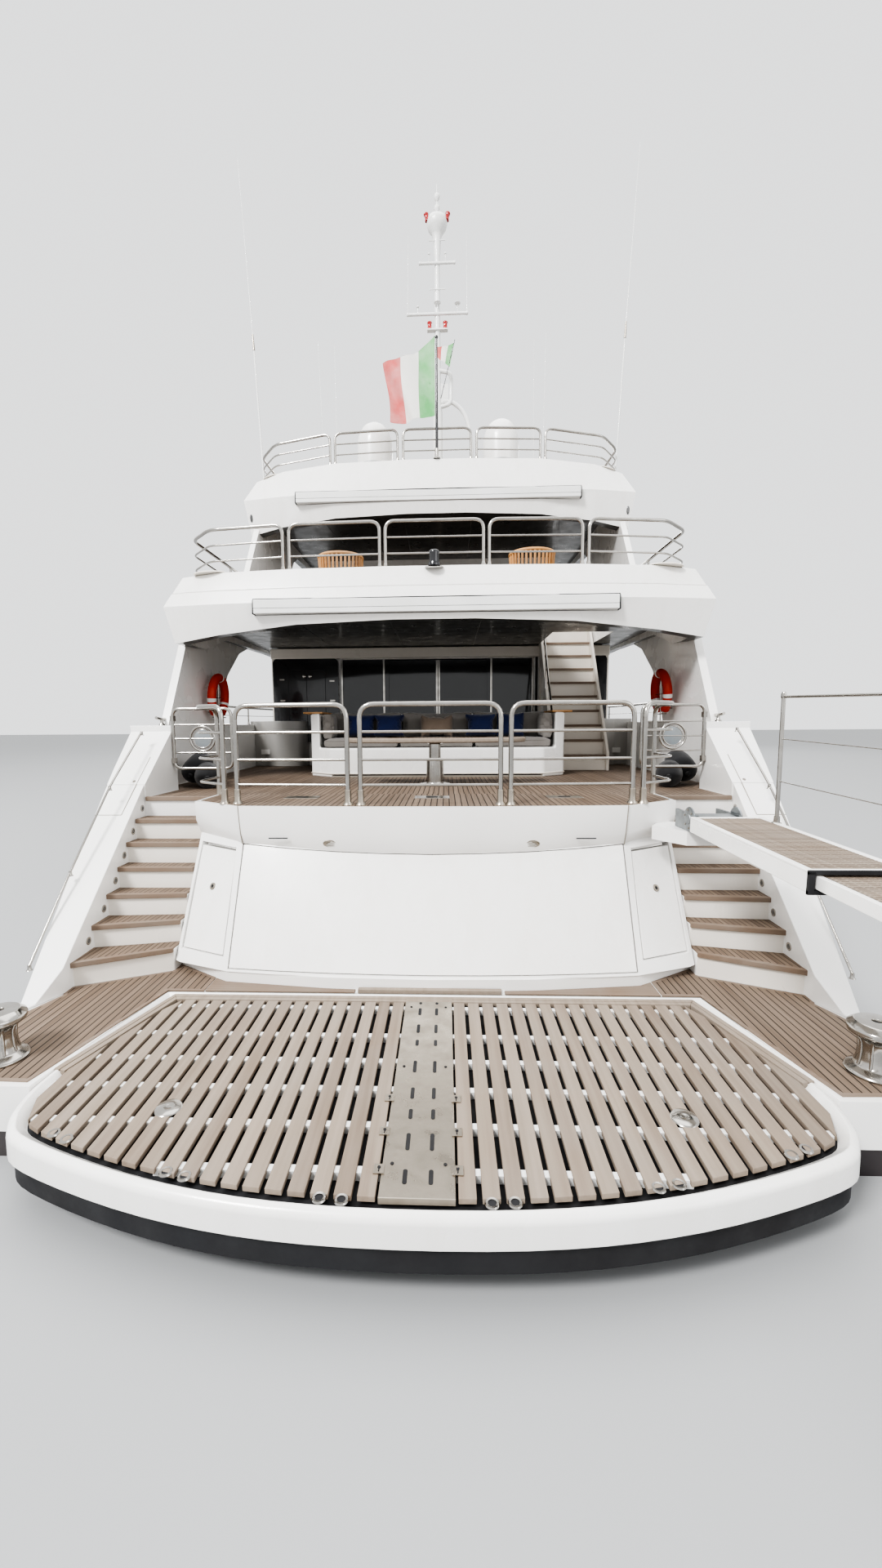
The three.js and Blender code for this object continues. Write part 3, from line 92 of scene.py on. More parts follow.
class Shader:
    """A node material under construction, with one main shader."""

    def __init__(self, name: str) -> None:
        """Starts the material.

        Args:
            name: The material's name.
        """
        self.material = bpy.data.materials.new(name)
        self.material.use_nodes = True
        self.tree = self.material.node_tree
        self.surface = self.tree.nodes["Principled BSDF"]
        self.coordinates = self.add("TexCoord").outputs["Object"]

    def add(self, kind: str, inputs: dict | None = None, **settings: object) -> bpy.types.Node:
        """Adds a node and fills its inputs.

        Args:
            kind: The node type without its ShaderNode prefix.
            inputs: Input name or number to a value or a socket.
            settings: Properties of the node.

        Returns:
            The new node.
        """
        node = self.tree.nodes.new("ShaderNode" + kind)
        for key, value in settings.items():
            setattr(node, key, value)
        self.fill(node, inputs or {})
        return node

    def fill(self, node: bpy.types.Node, inputs: dict) -> None:
        """Links sockets and sets constants.

        Args:
            node: The node whose inputs are filled.
            inputs: Input name or number to a value or a socket.
        """
        for key, value in inputs.items():
            if isinstance(value, Socket):
                self.tree.links.new(value, node.inputs[key])
            else:
                node.inputs[key].default_value = value

    def math(self, operation: str, a: object, b: object = 0.0) -> Socket:
        """One math node's result."""
        return self.add("Math", {0: a, 1: b}, operation=operation).outputs[0]

    def stretched(self, scale: Point) -> Socket:
        """The object coordinates scaled along each axis."""
        return self.add("Mapping", {"Vector": self.coordinates, "Scale": scale}).outputs[0]

    def noise(self, scale: float, detail: float = 3.0, stretch: Point = (1, 1, 1)) -> Socket:
        """Fractal noise on the object coordinates, from 0 to 1.

        Args:
            scale: Waves per metre, about.
            detail: Number of octaves.
            stretch: Scale along each axis.

        Returns:
            The factor socket.
        """
        where = self.stretched(stretch)
        return self.add("TexNoise", {"Vector": where, "Scale": scale, "Detail": detail}).outputs[0]

    def spread(self, value: Socket, low: float, high: float) -> Socket:
        """A noise value spread over a range.

        Args:
            value: A factor that stays mostly within 0.3 to 0.7.
            low: The result at the low end.
            high: The result at the high end.

        Returns:
            The spread value.
        """
        return self.add("MapRange", {0: value, 1: 0.3, 2: 0.7, 3: low, 4: high}).outputs[0]

    def mix(self, factor: object, a: object, b: object, blend: str = "MIX") -> Socket:
        """A mix of two colours.

        Args:
            factor: Share of the second colour.
            a: First colour or socket.
            b: Second colour or socket.
            blend: The blend type.

        Returns:
            The mixed colour.
        """
        node = self.add("Mix", data_type="RGBA", blend_type=blend)
        self.fill(node, {0: factor, 6: a, 7: b})
        return node.outputs[2]

    def bump(self, height: Socket, strength: float, distance: float) -> Socket:
        """A normal bent by a height."""
        inputs = {"Height": height, "Strength": strength, "Distance": distance}
        return self.add("Bump", inputs).outputs[0]

    def done(self, inputs: dict) -> Material:
        """Fills the main shader and hands the material over."""
        self.fill(self.surface, inputs)
        return self.material


@dataclass(frozen=True)
class Finish:
    """A finish, made once and shared."""

    name: str

    def make(self) -> Material:
        """The node material of this finish."""
        raise NotImplementedError


@cache
def material_of(finish: Finish) -> Material:
    """The shared material of a finish."""
    return finish.make()


@dataclass(frozen=True)
class Gelcoat(Finish):
    """Polished white moulding with faint weather streaks and a slight orange peel."""

    color: Color = (0.86, 0.85, 0.83, 1)
    dirt: Color = (0.62, 0.58, 0.50, 1)
    roughness: float = 0.26
    streaks: float = 0.10

    def make(self) -> Material:
        """Tone from a broad cloud and from streaks that run down.

        Returns:
            The material.
        """
        shader = Shader(self.name)
        cloud = shader.spread(shader.noise(0.6, 4), 0.0, self.streaks)
        runs = shader.spread(shader.noise(1.0, 5, (7, 7, 0.45)), -0.6, 1.0)
        streak = shader.math("MULTIPLY", shader.math("MAXIMUM", runs, 0.0), self.streaks)
        amount = shader.math("ADD", cloud, streak)
        color = shader.mix(amount, self.color, self.dirt)
        peel = shader.noise(45, 2)
        return shader.done(
            {
                "Base Color": color,
                "Roughness": shader.spread(shader.noise(2.2, 4), self.roughness * 0.8, self.roughness * 1.3),
                "Coat Weight": 0.35,
                "Coat Roughness": 0.08,
                "Normal": shader.bump(peel, 0.03, 0.004),
            }
        )


@dataclass(frozen=True)
class HullPaint(Finish):
    """Topsides gelcoat over a dark boot top and bottom paint, parted by height."""

    topsides: Color = (0.86, 0.85, 0.83, 1)
    boot: Color = (0.018, 0.012, 0.014, 1)
    bottom: Color = (0.035, 0.05, 0.075, 1)
    boot_top: float = 0.16
    boot_foot: float = -0.03

    def make(self) -> Material:
        """Three bands and, over them, a cloud of salt.

        Returns:
            The material.
        """
        shader = Shader(self.name)
        height = shader.add("SeparateXYZ", {0: shader.coordinates}).outputs[2]
        over_boot = shader.math("GREATER_THAN", height, self.boot_top)
        over_foot = shader.math("GREATER_THAN", height, self.boot_foot)
        lower = shader.mix(over_foot, self.bottom, self.boot)
        banded = shader.mix(over_boot, lower, self.topsides)
        cloud = shader.spread(shader.noise(1.4, 5, (1, 1, 0.5)), 0.0, 0.10)
        color = shader.mix(cloud, banded, (0.45, 0.43, 0.40, 1))
        matte = shader.math("SUBTRACT", 0.62, shader.math("MULTIPLY", over_foot, 0.34))
        return shader.done(
            {
                "Base Color": color,
                "Roughness": matte,
                "Coat Weight": 0.3,
                "Coat Roughness": 0.1,
                "Normal": shader.bump(shader.noise(30, 3), 0.04, 0.004),
            }
        )


class Run(Enum):
    """Which way the planks of a laid deck run, as the coordinate that counts across them."""

    FORE_AFT = 0
    ATHWART = 1


@dataclass(frozen=True)
class LaidTeak(Finish):
    """Weathered teak planks with dark caulking between them."""

    run: Run = Run.FORE_AFT
    plank: float = 0.055
    caulk: float = 0.009
    pale: Color = (0.23, 0.17, 0.124, 1)
    deep: Color = (0.112, 0.076, 0.052, 1)
    seam: Color = (0.035, 0.028, 0.024, 1)

    def make(self) -> Material:
        """Planks counted across the run, each with its own tone and grain.

        Returns:
            The material.
        """
        shader = Shader(self.name)
        parts = shader.add("SeparateXYZ", {0: shader.coordinates})
        across = parts.outputs[self.run.value]
        along = parts.outputs[1 - self.run.value]
        count = shader.math("DIVIDE", across, self.plank)
        number = shader.math("FLOOR", count)
        place = shader.math("FRACT", count)
        from_middle = shader.math("ABSOLUTE", shader.math("SUBTRACT", place, 0.5))
        seam = shader.math("GREATER_THAN", from_middle, 0.5 - 0.5 * self.caulk / self.plank)
        tone = shader.add("TexWhiteNoise", {"W": number}, noise_dimensions="1D").outputs[0]
        shift = shader.math("MULTIPLY", tone, 7.0)
        grain_at = shader.add(
            "CombineXYZ",
            {0: shader.math("MULTIPLY", across, 60.0), 1: shader.math("ADD", along, shift), 2: number},
        ).outputs[0]
        grain = shader.add("TexNoise", {"Vector": grain_at, "Scale": 1.6, "Detail": 4.0}).outputs[0]
        share = shader.math("ADD", shader.math("MULTIPLY", tone, 0.55), shader.spread(grain, 0.0, 0.45))
        wood = shader.mix(share, self.pale, self.deep)
        worn = shader.mix(shader.spread(shader.noise(0.8, 4), 0.0, 0.35), wood, (0.24, 0.205, 0.175, 1))
        color = shader.mix(seam, worn, self.seam)
        height = shader.math("SUBTRACT", shader.math("MULTIPLY", grain, 0.35), seam)
        return shader.done(
            {
                "Base Color": color,
                "Roughness": shader.spread(grain, 0.62, 0.85),
                "Specular IOR Level": 0.22,
                "Normal": shader.bump(height, 0.35, 0.002),
            }
        )


@dataclass(frozen=True)
class BareTeak(Finish):
    """Silvered solid teak; a tone attribute on the mesh sets each board apart."""

    pale: Color = (0.31, 0.255, 0.205, 1)
    deep: Color = (0.155, 0.112, 0.082, 1)
    along: int = 1

    def make(self) -> Material:
        """Grain drawn along one axis, over the board's own tone.

        Returns:
            The material.
        """
        shader = Shader(self.name)
        tone = shader.add("Attribute", attribute_name="tone").outputs["Fac"]
        stretch = [26.0, 26.0, 26.0]
        stretch[self.along] = 0.9
        grain = shader.noise(1.0, 5, tuple(stretch))
        blotch = shader.noise(2.3, 3)
        share = shader.math("ADD", shader.math("MULTIPLY", tone, 0.5), shader.spread(grain, -0.05, 0.35))
        wood = shader.mix(share, self.pale, self.deep)
        grey = shader.spread(blotch, 0.0, 0.4)
        return shader.done(
            {
                "Base Color": shader.mix(grey, wood, (0.27, 0.24, 0.21, 1)),
                "Roughness": shader.spread(grain, 0.6, 0.85),
                "Specular IOR Level": 0.25,
                "Normal": shader.bump(grain, 0.25, 0.002),
            }
        )


@dataclass(frozen=True)
class Metal(Finish):
    """Metal with wipe marks and a faint grain; the default colour and its brown mix are kept dark, partly as
    painted reflection of dark surroundings.
    """

    color: Color = (0.47, 0.455, 0.43, 1)
    roughness: float = 0.16
    tarnish: Color = (0.24, 0.21, 0.175, 1)
    # Share of the brown mix: wipe marks and painted reflection together.
    worn: float = 0.35

    def make(self) -> Material:
        """Roughness and tone from two scales of noise.

        Returns:
            The material.
        """
        shader = Shader(self.name)
        marks = shader.noise(9, 5)
        fine = shader.noise(140, 2)
        return shader.done(
            {
                "Base Color": shader.mix(shader.spread(marks, 0.0, self.worn), self.color, self.tarnish),
                "Metallic": 1.0,
                "Roughness": shader.spread(marks, self.roughness * 0.7, self.roughness * 1.6),
                "Normal": shader.bump(fine, 0.04, 0.001),
            }
        )


@dataclass(frozen=True)
class Gloss(Finish):
    """Dark glass, lacquer or moulded plastic."""

    color: Color = (0.010, 0.011, 0.013, 1)
    other: Color = (0.020, 0.021, 0.024, 1)
    roughness: float = 0.05
    coat: float = 0.6
    ripple: float = 0.02

    def make(self) -> Material:
        """Two close tones under a clear coat with a slow ripple.

        Returns:
            The material.
        """
        shader = Shader(self.name)
        cloud = shader.noise(1.7, 4)
        return shader.done(
            {
                "Base Color": shader.mix(shader.spread(cloud, 0.0, 1.0), self.color, self.other),
                "Roughness": shader.spread(shader.noise(5, 4), self.roughness, self.roughness * 1.8),
                "Coat Weight": self.coat,
                "Coat Roughness": 0.04,
                "Normal": shader.bump(shader.noise(3.0, 2), self.ripple, 0.01),
            }
        )


@dataclass(frozen=True)
class Woven(Finish):
    """Outdoor canvas or bunting with a fine two-way weave."""

    color: Color = (0.28, 0.26, 0.245, 1)
    shade: Color = (0.20, 0.185, 0.17, 1)
    thread: float = 260.0
    sheen: float = 0.25

    def make(self) -> Material:
        """Warp and weft as crossed waves, over a soft tone change.

        Returns:
            The material.
        """
        shader = Shader(self.name)
        waves = [
            shader.add(
                "TexWave",
                {"Vector": shader.coordinates, "Scale": self.thread, "Distortion": 0.6},
                bands_direction=axis,
            ).outputs["Fac"]
            for axis in ("X", "Z")
        ]
        weave = shader.math("MULTIPLY", waves[0], waves[1])
        cloud = shader.spread(shader.noise(3.0, 4), 0.0, 0.8)
        color = shader.mix(cloud, self.color, self.shade)
        return shader.done(
            {
                "Base Color": shader.mix(shader.math("MULTIPLY", weave, 0.25), color, self.shade),
                "Roughness": 0.92,
                "Sheen Weight": self.sheen,
                "Normal": shader.bump(weave, 0.2, 0.0008),
            }
        )


@dataclass(frozen=True)
class Bunting(Finish):
    """Flag cloth in three upright bands, placed by the mesh's own band attribute."""

    hoist: Color = (0.10, 0.42, 0.12, 1)
    middle: Color = (0.80, 0.79, 0.74, 1)
    fly: Color = (0.62, 0.08, 0.07, 1)

    def make(self) -> Material:
        """Bands by attribute, with a sun-bleached tone and a fine weave.

        Returns:
            The material.
        """
        shader = Shader(self.name)
        band = shader.add("Attribute", attribute_name="band").outputs["Fac"]
        first = shader.math("GREATER_THAN", band, 1 / 3)
        second = shader.math("GREATER_THAN", band, 2 / 3)
        color = shader.mix(second, shader.mix(first, self.hoist, self.middle), self.fly)
        faded = shader.mix(shader.spread(shader.noise(4, 4), 0.05, 0.3), color, (0.85, 0.83, 0.80, 1))
        return shader.done(
            {
                "Base Color": faded,
                "Roughness": 0.85,
                "Sheen Weight": 0.3,
                "Normal": shader.bump(shader.noise(420, 1), 0.15, 0.0008),
            }
        )


GELCOAT = Gelcoat("gelcoat")
# Painted shade: a darker, warmer white for the stair risers, which stand in shade.
RISER_SHADE = Gelcoat("gelcoat_riser_painted_shade", color=(0.76, 0.72, 0.665, 1), roughness=0.3)
# Painted shade: a darker warm white on the shaded stair flight and risers and on the saloon's head band and
# pillars; also the cream of the sofa's ledge, the scoops and the soffit's joints.
CREAM_AND_SHADE = Gelcoat("gelcoat_cream_and_shade", color=(0.74, 0.69, 0.62, 1), roughness=0.34)
# Painted shade: the lockers under the overhang are tinted grey.
LOCKER_SHADE = Gelcoat("locker_painted_shade", color=(0.36, 0.35, 0.335, 1), roughness=0.36)
DOME_GREY = Gelcoat("dome_grey", color=(0.52, 0.53, 0.53, 1), roughness=0.36)
HULL_PAINT = HullPaint("hull_paint")
DECK_TEAK = LaidTeak("laid_teak")
TREAD_TEAK = LaidTeak("tread_teak", plank=0.045, caulk=0.007)
BOARD_TEAK = BareTeak("margin_teak", pale=(0.22, 0.16, 0.118, 1), deep=(0.12, 0.083, 0.058, 1), along=0)
SLAT_TEAK = BareTeak("slat_teak")
VARNISHED = BareTeak("varnished_teak", pale=(0.62, 0.33, 0.13, 1), deep=(0.42, 0.19, 0.06, 1), along=0)
# Partly painted reflection: polished steel keeps the dark brownish default colour, for the dark surroundings
# it reflects.
POLISHED = Metal("polished_steel")
SATIN = Metal("satin_steel", color=(0.44, 0.40, 0.345, 1), roughness=0.3, worn=0.5)
GREY_METAL = Metal("grey_casting", color=(0.33, 0.36, 0.38, 1), roughness=0.38)
BRONZE = Metal("bronze", color=(0.50, 0.33, 0.13, 1), roughness=0.3, tarnish=(0.16, 0.22, 0.14, 1), worn=0.5)
DARK_GLASS = Gloss("dark_glass")
LACQUER = Gloss("black_lacquer", color=(0.014, 0.013, 0.014, 1), roughness=0.12)
SOFFIT = Gloss(
    "soffit_grey", color=(0.050, 0.050, 0.049, 1), other=(0.068, 0.068, 0.066, 1), roughness=0.24, coat=0.25
)
# Black rubber, also used as painted shade under the platform and over the awning cassette.
RUBBER_AND_SHADE = Gloss("black_rubber_and_shade", color=(0.016, 0.015, 0.016, 1), roughness=0.5, coat=0.0, ripple=0.1)
WHITE_PLASTIC = Gloss(
    "white_plastic", color=(0.80, 0.80, 0.79, 1), other=(0.72, 0.72, 0.70, 1), roughness=0.3, coat=0.2
)
# Dark sealant in the joints, also used as painted shade in the sofa's recess.
SEALANT_AND_SHADE = Gloss("sealant_and_shade", color=(0.30, 0.27, 0.23, 1), other=(0.22, 0.20, 0.17, 1), roughness=0.5, coat=0.0)
SMOKED = Gloss("smoked_lens", color=(0.06, 0.06, 0.06, 1), other=(0.10, 0.10, 0.10, 1), roughness=0.1)
GREY_CANVAS = Woven("grey_canvas", color=(0.22, 0.205, 0.19, 1), shade=(0.15, 0.138, 0.125, 1))
NAVY_CANVAS = Woven("navy_canvas", color=(0.006, 0.016, 0.085, 1), shade=(0.003, 0.008, 0.04, 1))
TAUPE_CANVAS = Woven("taupe_canvas", color=(0.17, 0.13, 0.10, 1), shade=(0.11, 0.083, 0.062, 1))
CREAM_CANVAS = Woven("cream_canvas", color=(0.62, 0.60, 0.55, 1), shade=(0.50, 0.48, 0.43, 1))
BLACK_CANVAS = Woven("black_canvas", color=(0.02, 0.02, 0.022, 1), shade=(0.008, 0.008, 0.009, 1))
RING_ORANGE = Gloss(
    "lifebuoy_orange", color=(0.55, 0.035, 0.015, 1), other=(0.40, 0.025, 0.012, 1), roughness=0.45, coat=0.1
)
LAMP_RED = Gloss("lamp_red", color=(0.45, 0.02, 0.02, 1), other=(0.30, 0.01, 0.01, 1), roughness=0.08)
LAMP_GREEN = Gloss("lamp_green", color=(0.01, 0.30, 0.08, 1), other=(0.01, 0.20, 0.05, 1), roughness=0.08)
LAMP_CLEAR = Gloss("lamp_clear", color=(0.75, 0.74, 0.70, 1), other=(0.6, 0.6, 0.58, 1), roughness=0.08)
TRICOLOUR = Bunting("tricolour")


def mirrored(points: Sequence[tuple[float, float]]) -> list[tuple[float, float]]:
    """A starboard half outline closed with its port half."""
    return [*points, *[(-x, y) for x, y in reversed(points)]]


def fair(points: Sequence[tuple[float, ...]], steps: int = 4) -> list[tuple[float, ...]]:
    """A fair curve through some points.

    Args:
        points: The points, in two or three dimensions.
        steps: Number of pieces between neighbours.

    Returns:
        The curve's points.
    """
    known = [Vector(p) for p in points]
    known = [known[0] * 2 - known[1], *known, known[-1] * 2 - known[-2]]
    line = []
    for a, b, c, d in zip(known, known[1:], known[2:], known[3:]):
        for k in range(steps):
            t = k / steps
            bent = b * 2 + (c - a) * t + (a * 2 - b * 5 + c * 4 - d) * t**2 + (b * 3 - a - c * 3 + d) * t**3
            line.append(tuple(bent * 0.5))
    return [*line, tuple(known[-2])]


def fair_path(points: Sequence[Vector], steps: int = 3) -> list[Vector]:
    """A fair curve of vectors through some points."""
    return [Vector(p) for p in fair([tuple(p) for p in points], steps)]


def add_box(bm: BMesh, low: Point, high: Point) -> list[BMVert]:
    """Adds a box between two opposite corners.

    Args:
        bm: The mesh under construction.
        low: One corner.
        high: The other corner.

    Returns:
        The box's vertices.
    """
    size = [abs(b - a) for a, b in zip(low, high)]
    matrix = Matrix.Translation((Vector(high) + Vector(low)) / 2) @ Matrix.Diagonal((*size, 1.0))
    return bmesh.ops.create_cube(bm, size=1.0, matrix=matrix)["verts"]


def add_prism(bm: BMesh, corners: Sequence[Point], rise: Vector) -> list[BMFace]:
    """Adds a flat outline and draws it out.

    Args:
        bm: The mesh under construction.
        corners: The outline in order.
        rise: How far and which way it is drawn.

    Returns:
        The faces of the prism.
    """
    base = bm.faces.new([bm.verts.new(p) for p in corners])
    made = bmesh.ops.extrude_face_region(bm, geom=[base], use_keep_orig=True)["geom"]
    verts = [g for g in made if isinstance(g, BMVert)]
    bmesh.ops.translate(bm, verts=verts, vec=rise)
    faces = {f for v in verts for f in v.link_faces} | {base}
    bmesh.ops.recalc_face_normals(bm, faces=list(faces))
    return list(faces)


def add_slab(bm: BMesh, outline: Sequence[tuple[float, float]], z0: float, z1: float) -> list[BMFace]:
    """Adds a plan outline raised from z0 to z1.

    Args:
        bm: The mesh under construction.
        outline: Corners in plan.
        z0: Lower level.
        z1: Upper level.

    Returns:
        The faces of the slab.
    """
    return add_prism(bm, [(x, y, z0) for x, y in outline], Vector((0, 0, z1 - z0)))


def add_planking(
    bm: BMesh, outline: Sequence[
        tuple[float, float]
    ], level: float, proud: float = 0.006, margin: float = 0.06
) -> None:
    """Adds a laid deck inside a margin board: material 0 within 1.

    Args:
        bm: The mesh under construction.
        outline: Corners in plan.
        level: The deck that it lies on.
        proud: How far it stands over the deck.
        margin: Width of the board.
    """
    faces = add_slab(bm, outline, level - SUNK, level + proud)
    top = max(faces, key=lambda f: f.calc_center_median().z)
    bmesh.ops.inset_region(bm, faces=[top], thickness=margin, use_even_offset=True)
    tint((face for face in bm.faces if face is not top), 1)


def plain_disc(radius: float, top: float, foot: float = 0.0) -> list[tuple[float, float]]:
    """The profile of a plain disc."""
    return [(0, top), (radius, top), (radius, foot), (0, foot)]


def ellipse(centre: Point, first: Point, second: Point, steps: int) -> list[Vector]:
    """Points round an ellipse.

    Args:
        centre: Its centre.
        first: The half axis that it starts on.
        second: The other half axis.
        steps: Number of points.

    Returns:
        The points.
    """
    middle, a, b = Vector(centre), Vector(first), Vector(second)
    return [middle + a * math.cos(t) + b * math.sin(t) for t in (k * math.tau / steps for k in range(steps))]


def add_turned(
    bm: BMesh, profile: Sequence[tuple[float, float]], centre: Point, axis: Point = (0, 0, 1), steps: int = 32
) -> list[BMVert]:
    """Adds a turned shape.

    Args:
        bm: The mesh under construction.
        profile: Radius and height along the axis, from pole to pole or closed on itself.
        centre: Where the axis starts.
        axis: Direction of the axis.
        steps: Number of steps round it.

    Returns:
        The vertices of the shape.
    """
    turn = Vector((0, 0, 1)).rotation_difference(Vector(axis)).to_matrix().to_4x4()
    place = Matrix.Translation(centre) @ turn
    verts = [bm.verts.new(place @ Vector((r, 0, h))) for r, h in profile]
    edges = [bm.edges.new(pair) for pair in zip(verts, verts[1:])]
    spun = bmesh.ops.spin(
        bm,
        geom=[*verts, *edges],
        cent=centre,
        axis=place.to_3x3() @ Vector((0, 0, 1)),
        angle=math.tau,
        steps=steps,
        use_merge=True,
    )
    made = {v for v in verts if v.is_valid} | {g for g in spun["geom_last"] if isinstance(g, BMVert)}
    grown = set()
    front = [v for v in made if v.is_valid]
    while front:
        vert = front.pop()
        if vert in grown:
            continue
        grown.add(vert)
        front.extend(e.other_vert(vert) for e in vert.link_edges)
    bmesh.ops.remove_doubles(bm, verts=list(grown), dist=1e-5)
    kept = [v for v in grown if v.is_valid]
    bmesh.ops.recalc_face_normals(bm, faces=list({f for v in kept for f in v.link_faces}))
    return kept


def tint(faces: Iterable[BMFace], index: int) -> None:
    """Gives some faces a material number."""
    for face in faces:
        face.material_index = index


def paint(verts: Iterable[BMVert], index: int) -> None:
    """Gives the faces of some vertices a material number."""
    tint({f for v in verts if v.is_valid for f in v.link_faces}, index)


def add_oval(
    bm: BMesh, profile: Sequence[tuple[float, float]], centre: Point, axis: Point, stretch: Point
) -> list[BMVert]:
    """Adds a turned shape drawn wider along some axes.

    Args:
        bm: The mesh under construction.
        profile: Radius and height along the axis.
        centre: Where the axis starts.
        axis: Direction of the axis.
        stretch: Scale along X, Y and Z about the centre.

    Returns:
        The vertices of the shape.
    """
    made = add_turned(bm, profile, centre, axis, 24)
    space = Matrix.Translation(-Vector(centre))
    bmesh.ops.scale(bm, verts=made, vec=stretch, space=space)
    return made


def add_bar(
    bm: BMesh, a: Point, b: Point, radius: float, sides: int = 12, end_radius: float | None = None
) -> list[BMVert]:
    """Adds a round bar between two points.

    Args:
        bm: The mesh under construction.
        a: First end.
        b: Second end.
        radius: Its radius at the first end.
        sides: Number of sides.
        end_radius: Its radius at the second end, if that differs.

    Returns:
        The bar's vertices.
    """
    run = Vector(b) - Vector(a)
    turn = Vector((0, 0, 1)).rotation_difference(run).to_matrix().to_4x4()
    matrix = Matrix.Translation((Vector(a) + Vector(b)) / 2) @ turn
    end = radius if end_radius is None else end_radius
    made = bmesh.ops.create_cone(
        bm, cap_ends=True, segments=sides, radius1=radius, radius2=end, depth=run.length, matrix=matrix
    )
    return made["verts"]


def ring_edges(ring: Sequence[BMVert]) -> list[BMEdge]:
    """The edges between neighbours of one ring."""
    inside = set(ring)
    return [e for e in {e for v in ring for e in v.link_edges} if inside.issuperset(e.verts)]


def add_pipe(
    bm: BMesh, path: Sequence[Vector], radius: float, sides: int = 10, closed: bool = False
) -> list[BMVert]:
    """Adds a round pipe along a path, by drawing a circle out along it.

    Args:
        bm: The mesh under construction.
        path: The points of its centreline.
        radius: Its radius.
        sides: Number of sides.
        closed: Whether the last point joins the first.

    Returns:
        The pipe's vertices.
    """
    points = [Vector(p) for p in path]
    count = len(points)
    tangents = []
    for i in range(count):
        before = points[i - 1] if i or closed else points[i]
        after = points[(i + 1) % count] if i + 1 < count or closed else points[i]
        tangents.append((after - before).normalized())
    turn = Vector((0, 0, 1)).rotation_difference(tangents[0])
    circle = bmesh.ops.create_circle(bm, cap_ends=False, radius=radius, segments=sides)["verts"]
    offsets = [v.co.copy() for v in circle]
    rings = [circle]
    edges = list({e for v in circle for e in v.link_edges})
    for i in range(1, count):
        made = bmesh.ops.extrude_edge_only(bm, edges=edges)["geom"]
        edges = [g for g in made if isinstance(g, BMEdge)]
        lower = {v: k for k, v in enumerate(rings[-1])}
        ring = [None] * sides
        for vert in (g for g in made if isinstance(g, BMVert)):
            foot = next(e.other_vert(vert) for e in vert.link_edges if e.other_vert(vert) in lower)
            ring[lower[foot]] = vert
        rings.append(ring)
    for i, ring in enumerate(rings):
        if i:
            turn = tangents[i - 1].rotation_difference(tangents[i]) @ turn
        for vert, offset in zip(ring, offsets):
            vert.co = points[i] + turn @ offset
    if closed:
        bmesh.ops.bridge_loops(bm, edges=edges + ring_edges(rings[0]))
    else:
        for ring in (rings[0], rings[-1]):
            bm.faces.new(ring)
    made = [v for ring in rings for v in ring]
    bmesh.ops.recalc_face_normals(bm, faces=list({f for v in made for f in v.link_faces}))
    return made


def rounded(corners: Sequence[Point], radius: float, steps: int = 5) -> list[Vector]:
    """A path with each of its inner corners turned on an arc.

    Args:
        corners: The path's corners.
        radius: How far before and after a corner the arc starts and ends.
        steps: Number of pieces of each arc.

    Returns:
        The points of the rounded path.
    """
    points = [Vector(p) for p in corners]
    path = [points[0]]
    for before, corner, after in zip(points, points[1:], points[2:]):
        reach = min(radius, (corner - before).length * 0.49, (after - corner).length * 0.49)
        start = corner + (before - corner).normalized() * reach
        end = corner + (after - corner).normalized() * reach
        for k in range(steps + 1):
            t = k / steps
            path.append(start * (1 - t) ** 2 + corner * 2 * t * (1 - t) + end * t * t)
    return [*path, points[-1]]


def oblong(low: tuple[float, float], high: tuple[float, float], radius: float, steps: int) -> list[Vector]:
    """A closed oblong line with round corners, from the middle of its foot.

    Args:
        low: Its lower left corner.
        high: Its upper right corner.
        radius: How far from a corner its arc starts and ends.
        steps: Number of pieces of each arc.

    Returns:
        The points, in two dimensions.
    """
    (x0, z0), (x1, z1) = low, high
    middle = ((x0 + x1) / 2, z0)
    return rounded([middle, (x1, z0), (x1, z1), (x0, z1), (x0, z0), middle], radius, steps)[:-1]


def bevel(
    bm: BMesh, edges: Sequence[BMEdge], width: float, segments: int, clamp: bool = False
) -> list[BMVert]:
    """Rounds some edges.

    Args:
        bm: The mesh.
        edges: The edges.
        width: Width of the rounding.
        segments: Number of its segments.
        clamp: Whether roundings stop where they would overlap.

    Returns:
        The vertices of the rounding.
    """
    made = bmesh.ops.bevel(
        bm,
        geom=edges,
        offset=width,
        offset_type="OFFSET",
        affect="EDGES",
        segments=segments,
        profile=0.5,
        material=-1,
        clamp_overlap=clamp,
    )
    return made["verts"]


def round_edges(bm: BMesh, width: float, segments: int = 2, angle: float = 25.0) -> None:
    """Rounds every edge that turns by more than an angle.

    Args:
        bm: The mesh.
        width: Width of the rounding.
        segments: Number of its segments.
        angle: Least turn, in degrees.
    """
    limit = math.radians(angle)
    sharp = [e for e in bm.edges if len(e.link_faces) == 2 and e.calc_face_angle(0) > limit]
    if not sharp or width <= 0:
        return
    bevel(bm, sharp, width, segments, True)


def smooth(bm: BMesh, angle: float) -> list[Vector]:
    """Shades the mesh smooth, each corner's normal set by its larger faces, so that flat faces stay flat.

    Args:
        bm: The mesh.
        angle: Edges that turn by more than this stay sharp, in degrees.

    Returns:
        The normal of each corner, face by face.
    """
    limit = math.cos(math.radians(angle))
    bm.normal_update()
    weighted = [face.normal * face.calc_area() for face in bm.faces]
    bm.faces.index_update()
    normals = []
    for face in bm.faces:
        face.smooth = True
        for vert in face.verts:
            total = Vector()
            for other in vert.link_faces:
                if other.normal.dot(face.normal) > limit:
                    total += weighted[other.index]
            normals.append(total.normalized() if total.length > 1e-12 else face.normal.copy())
    return normals


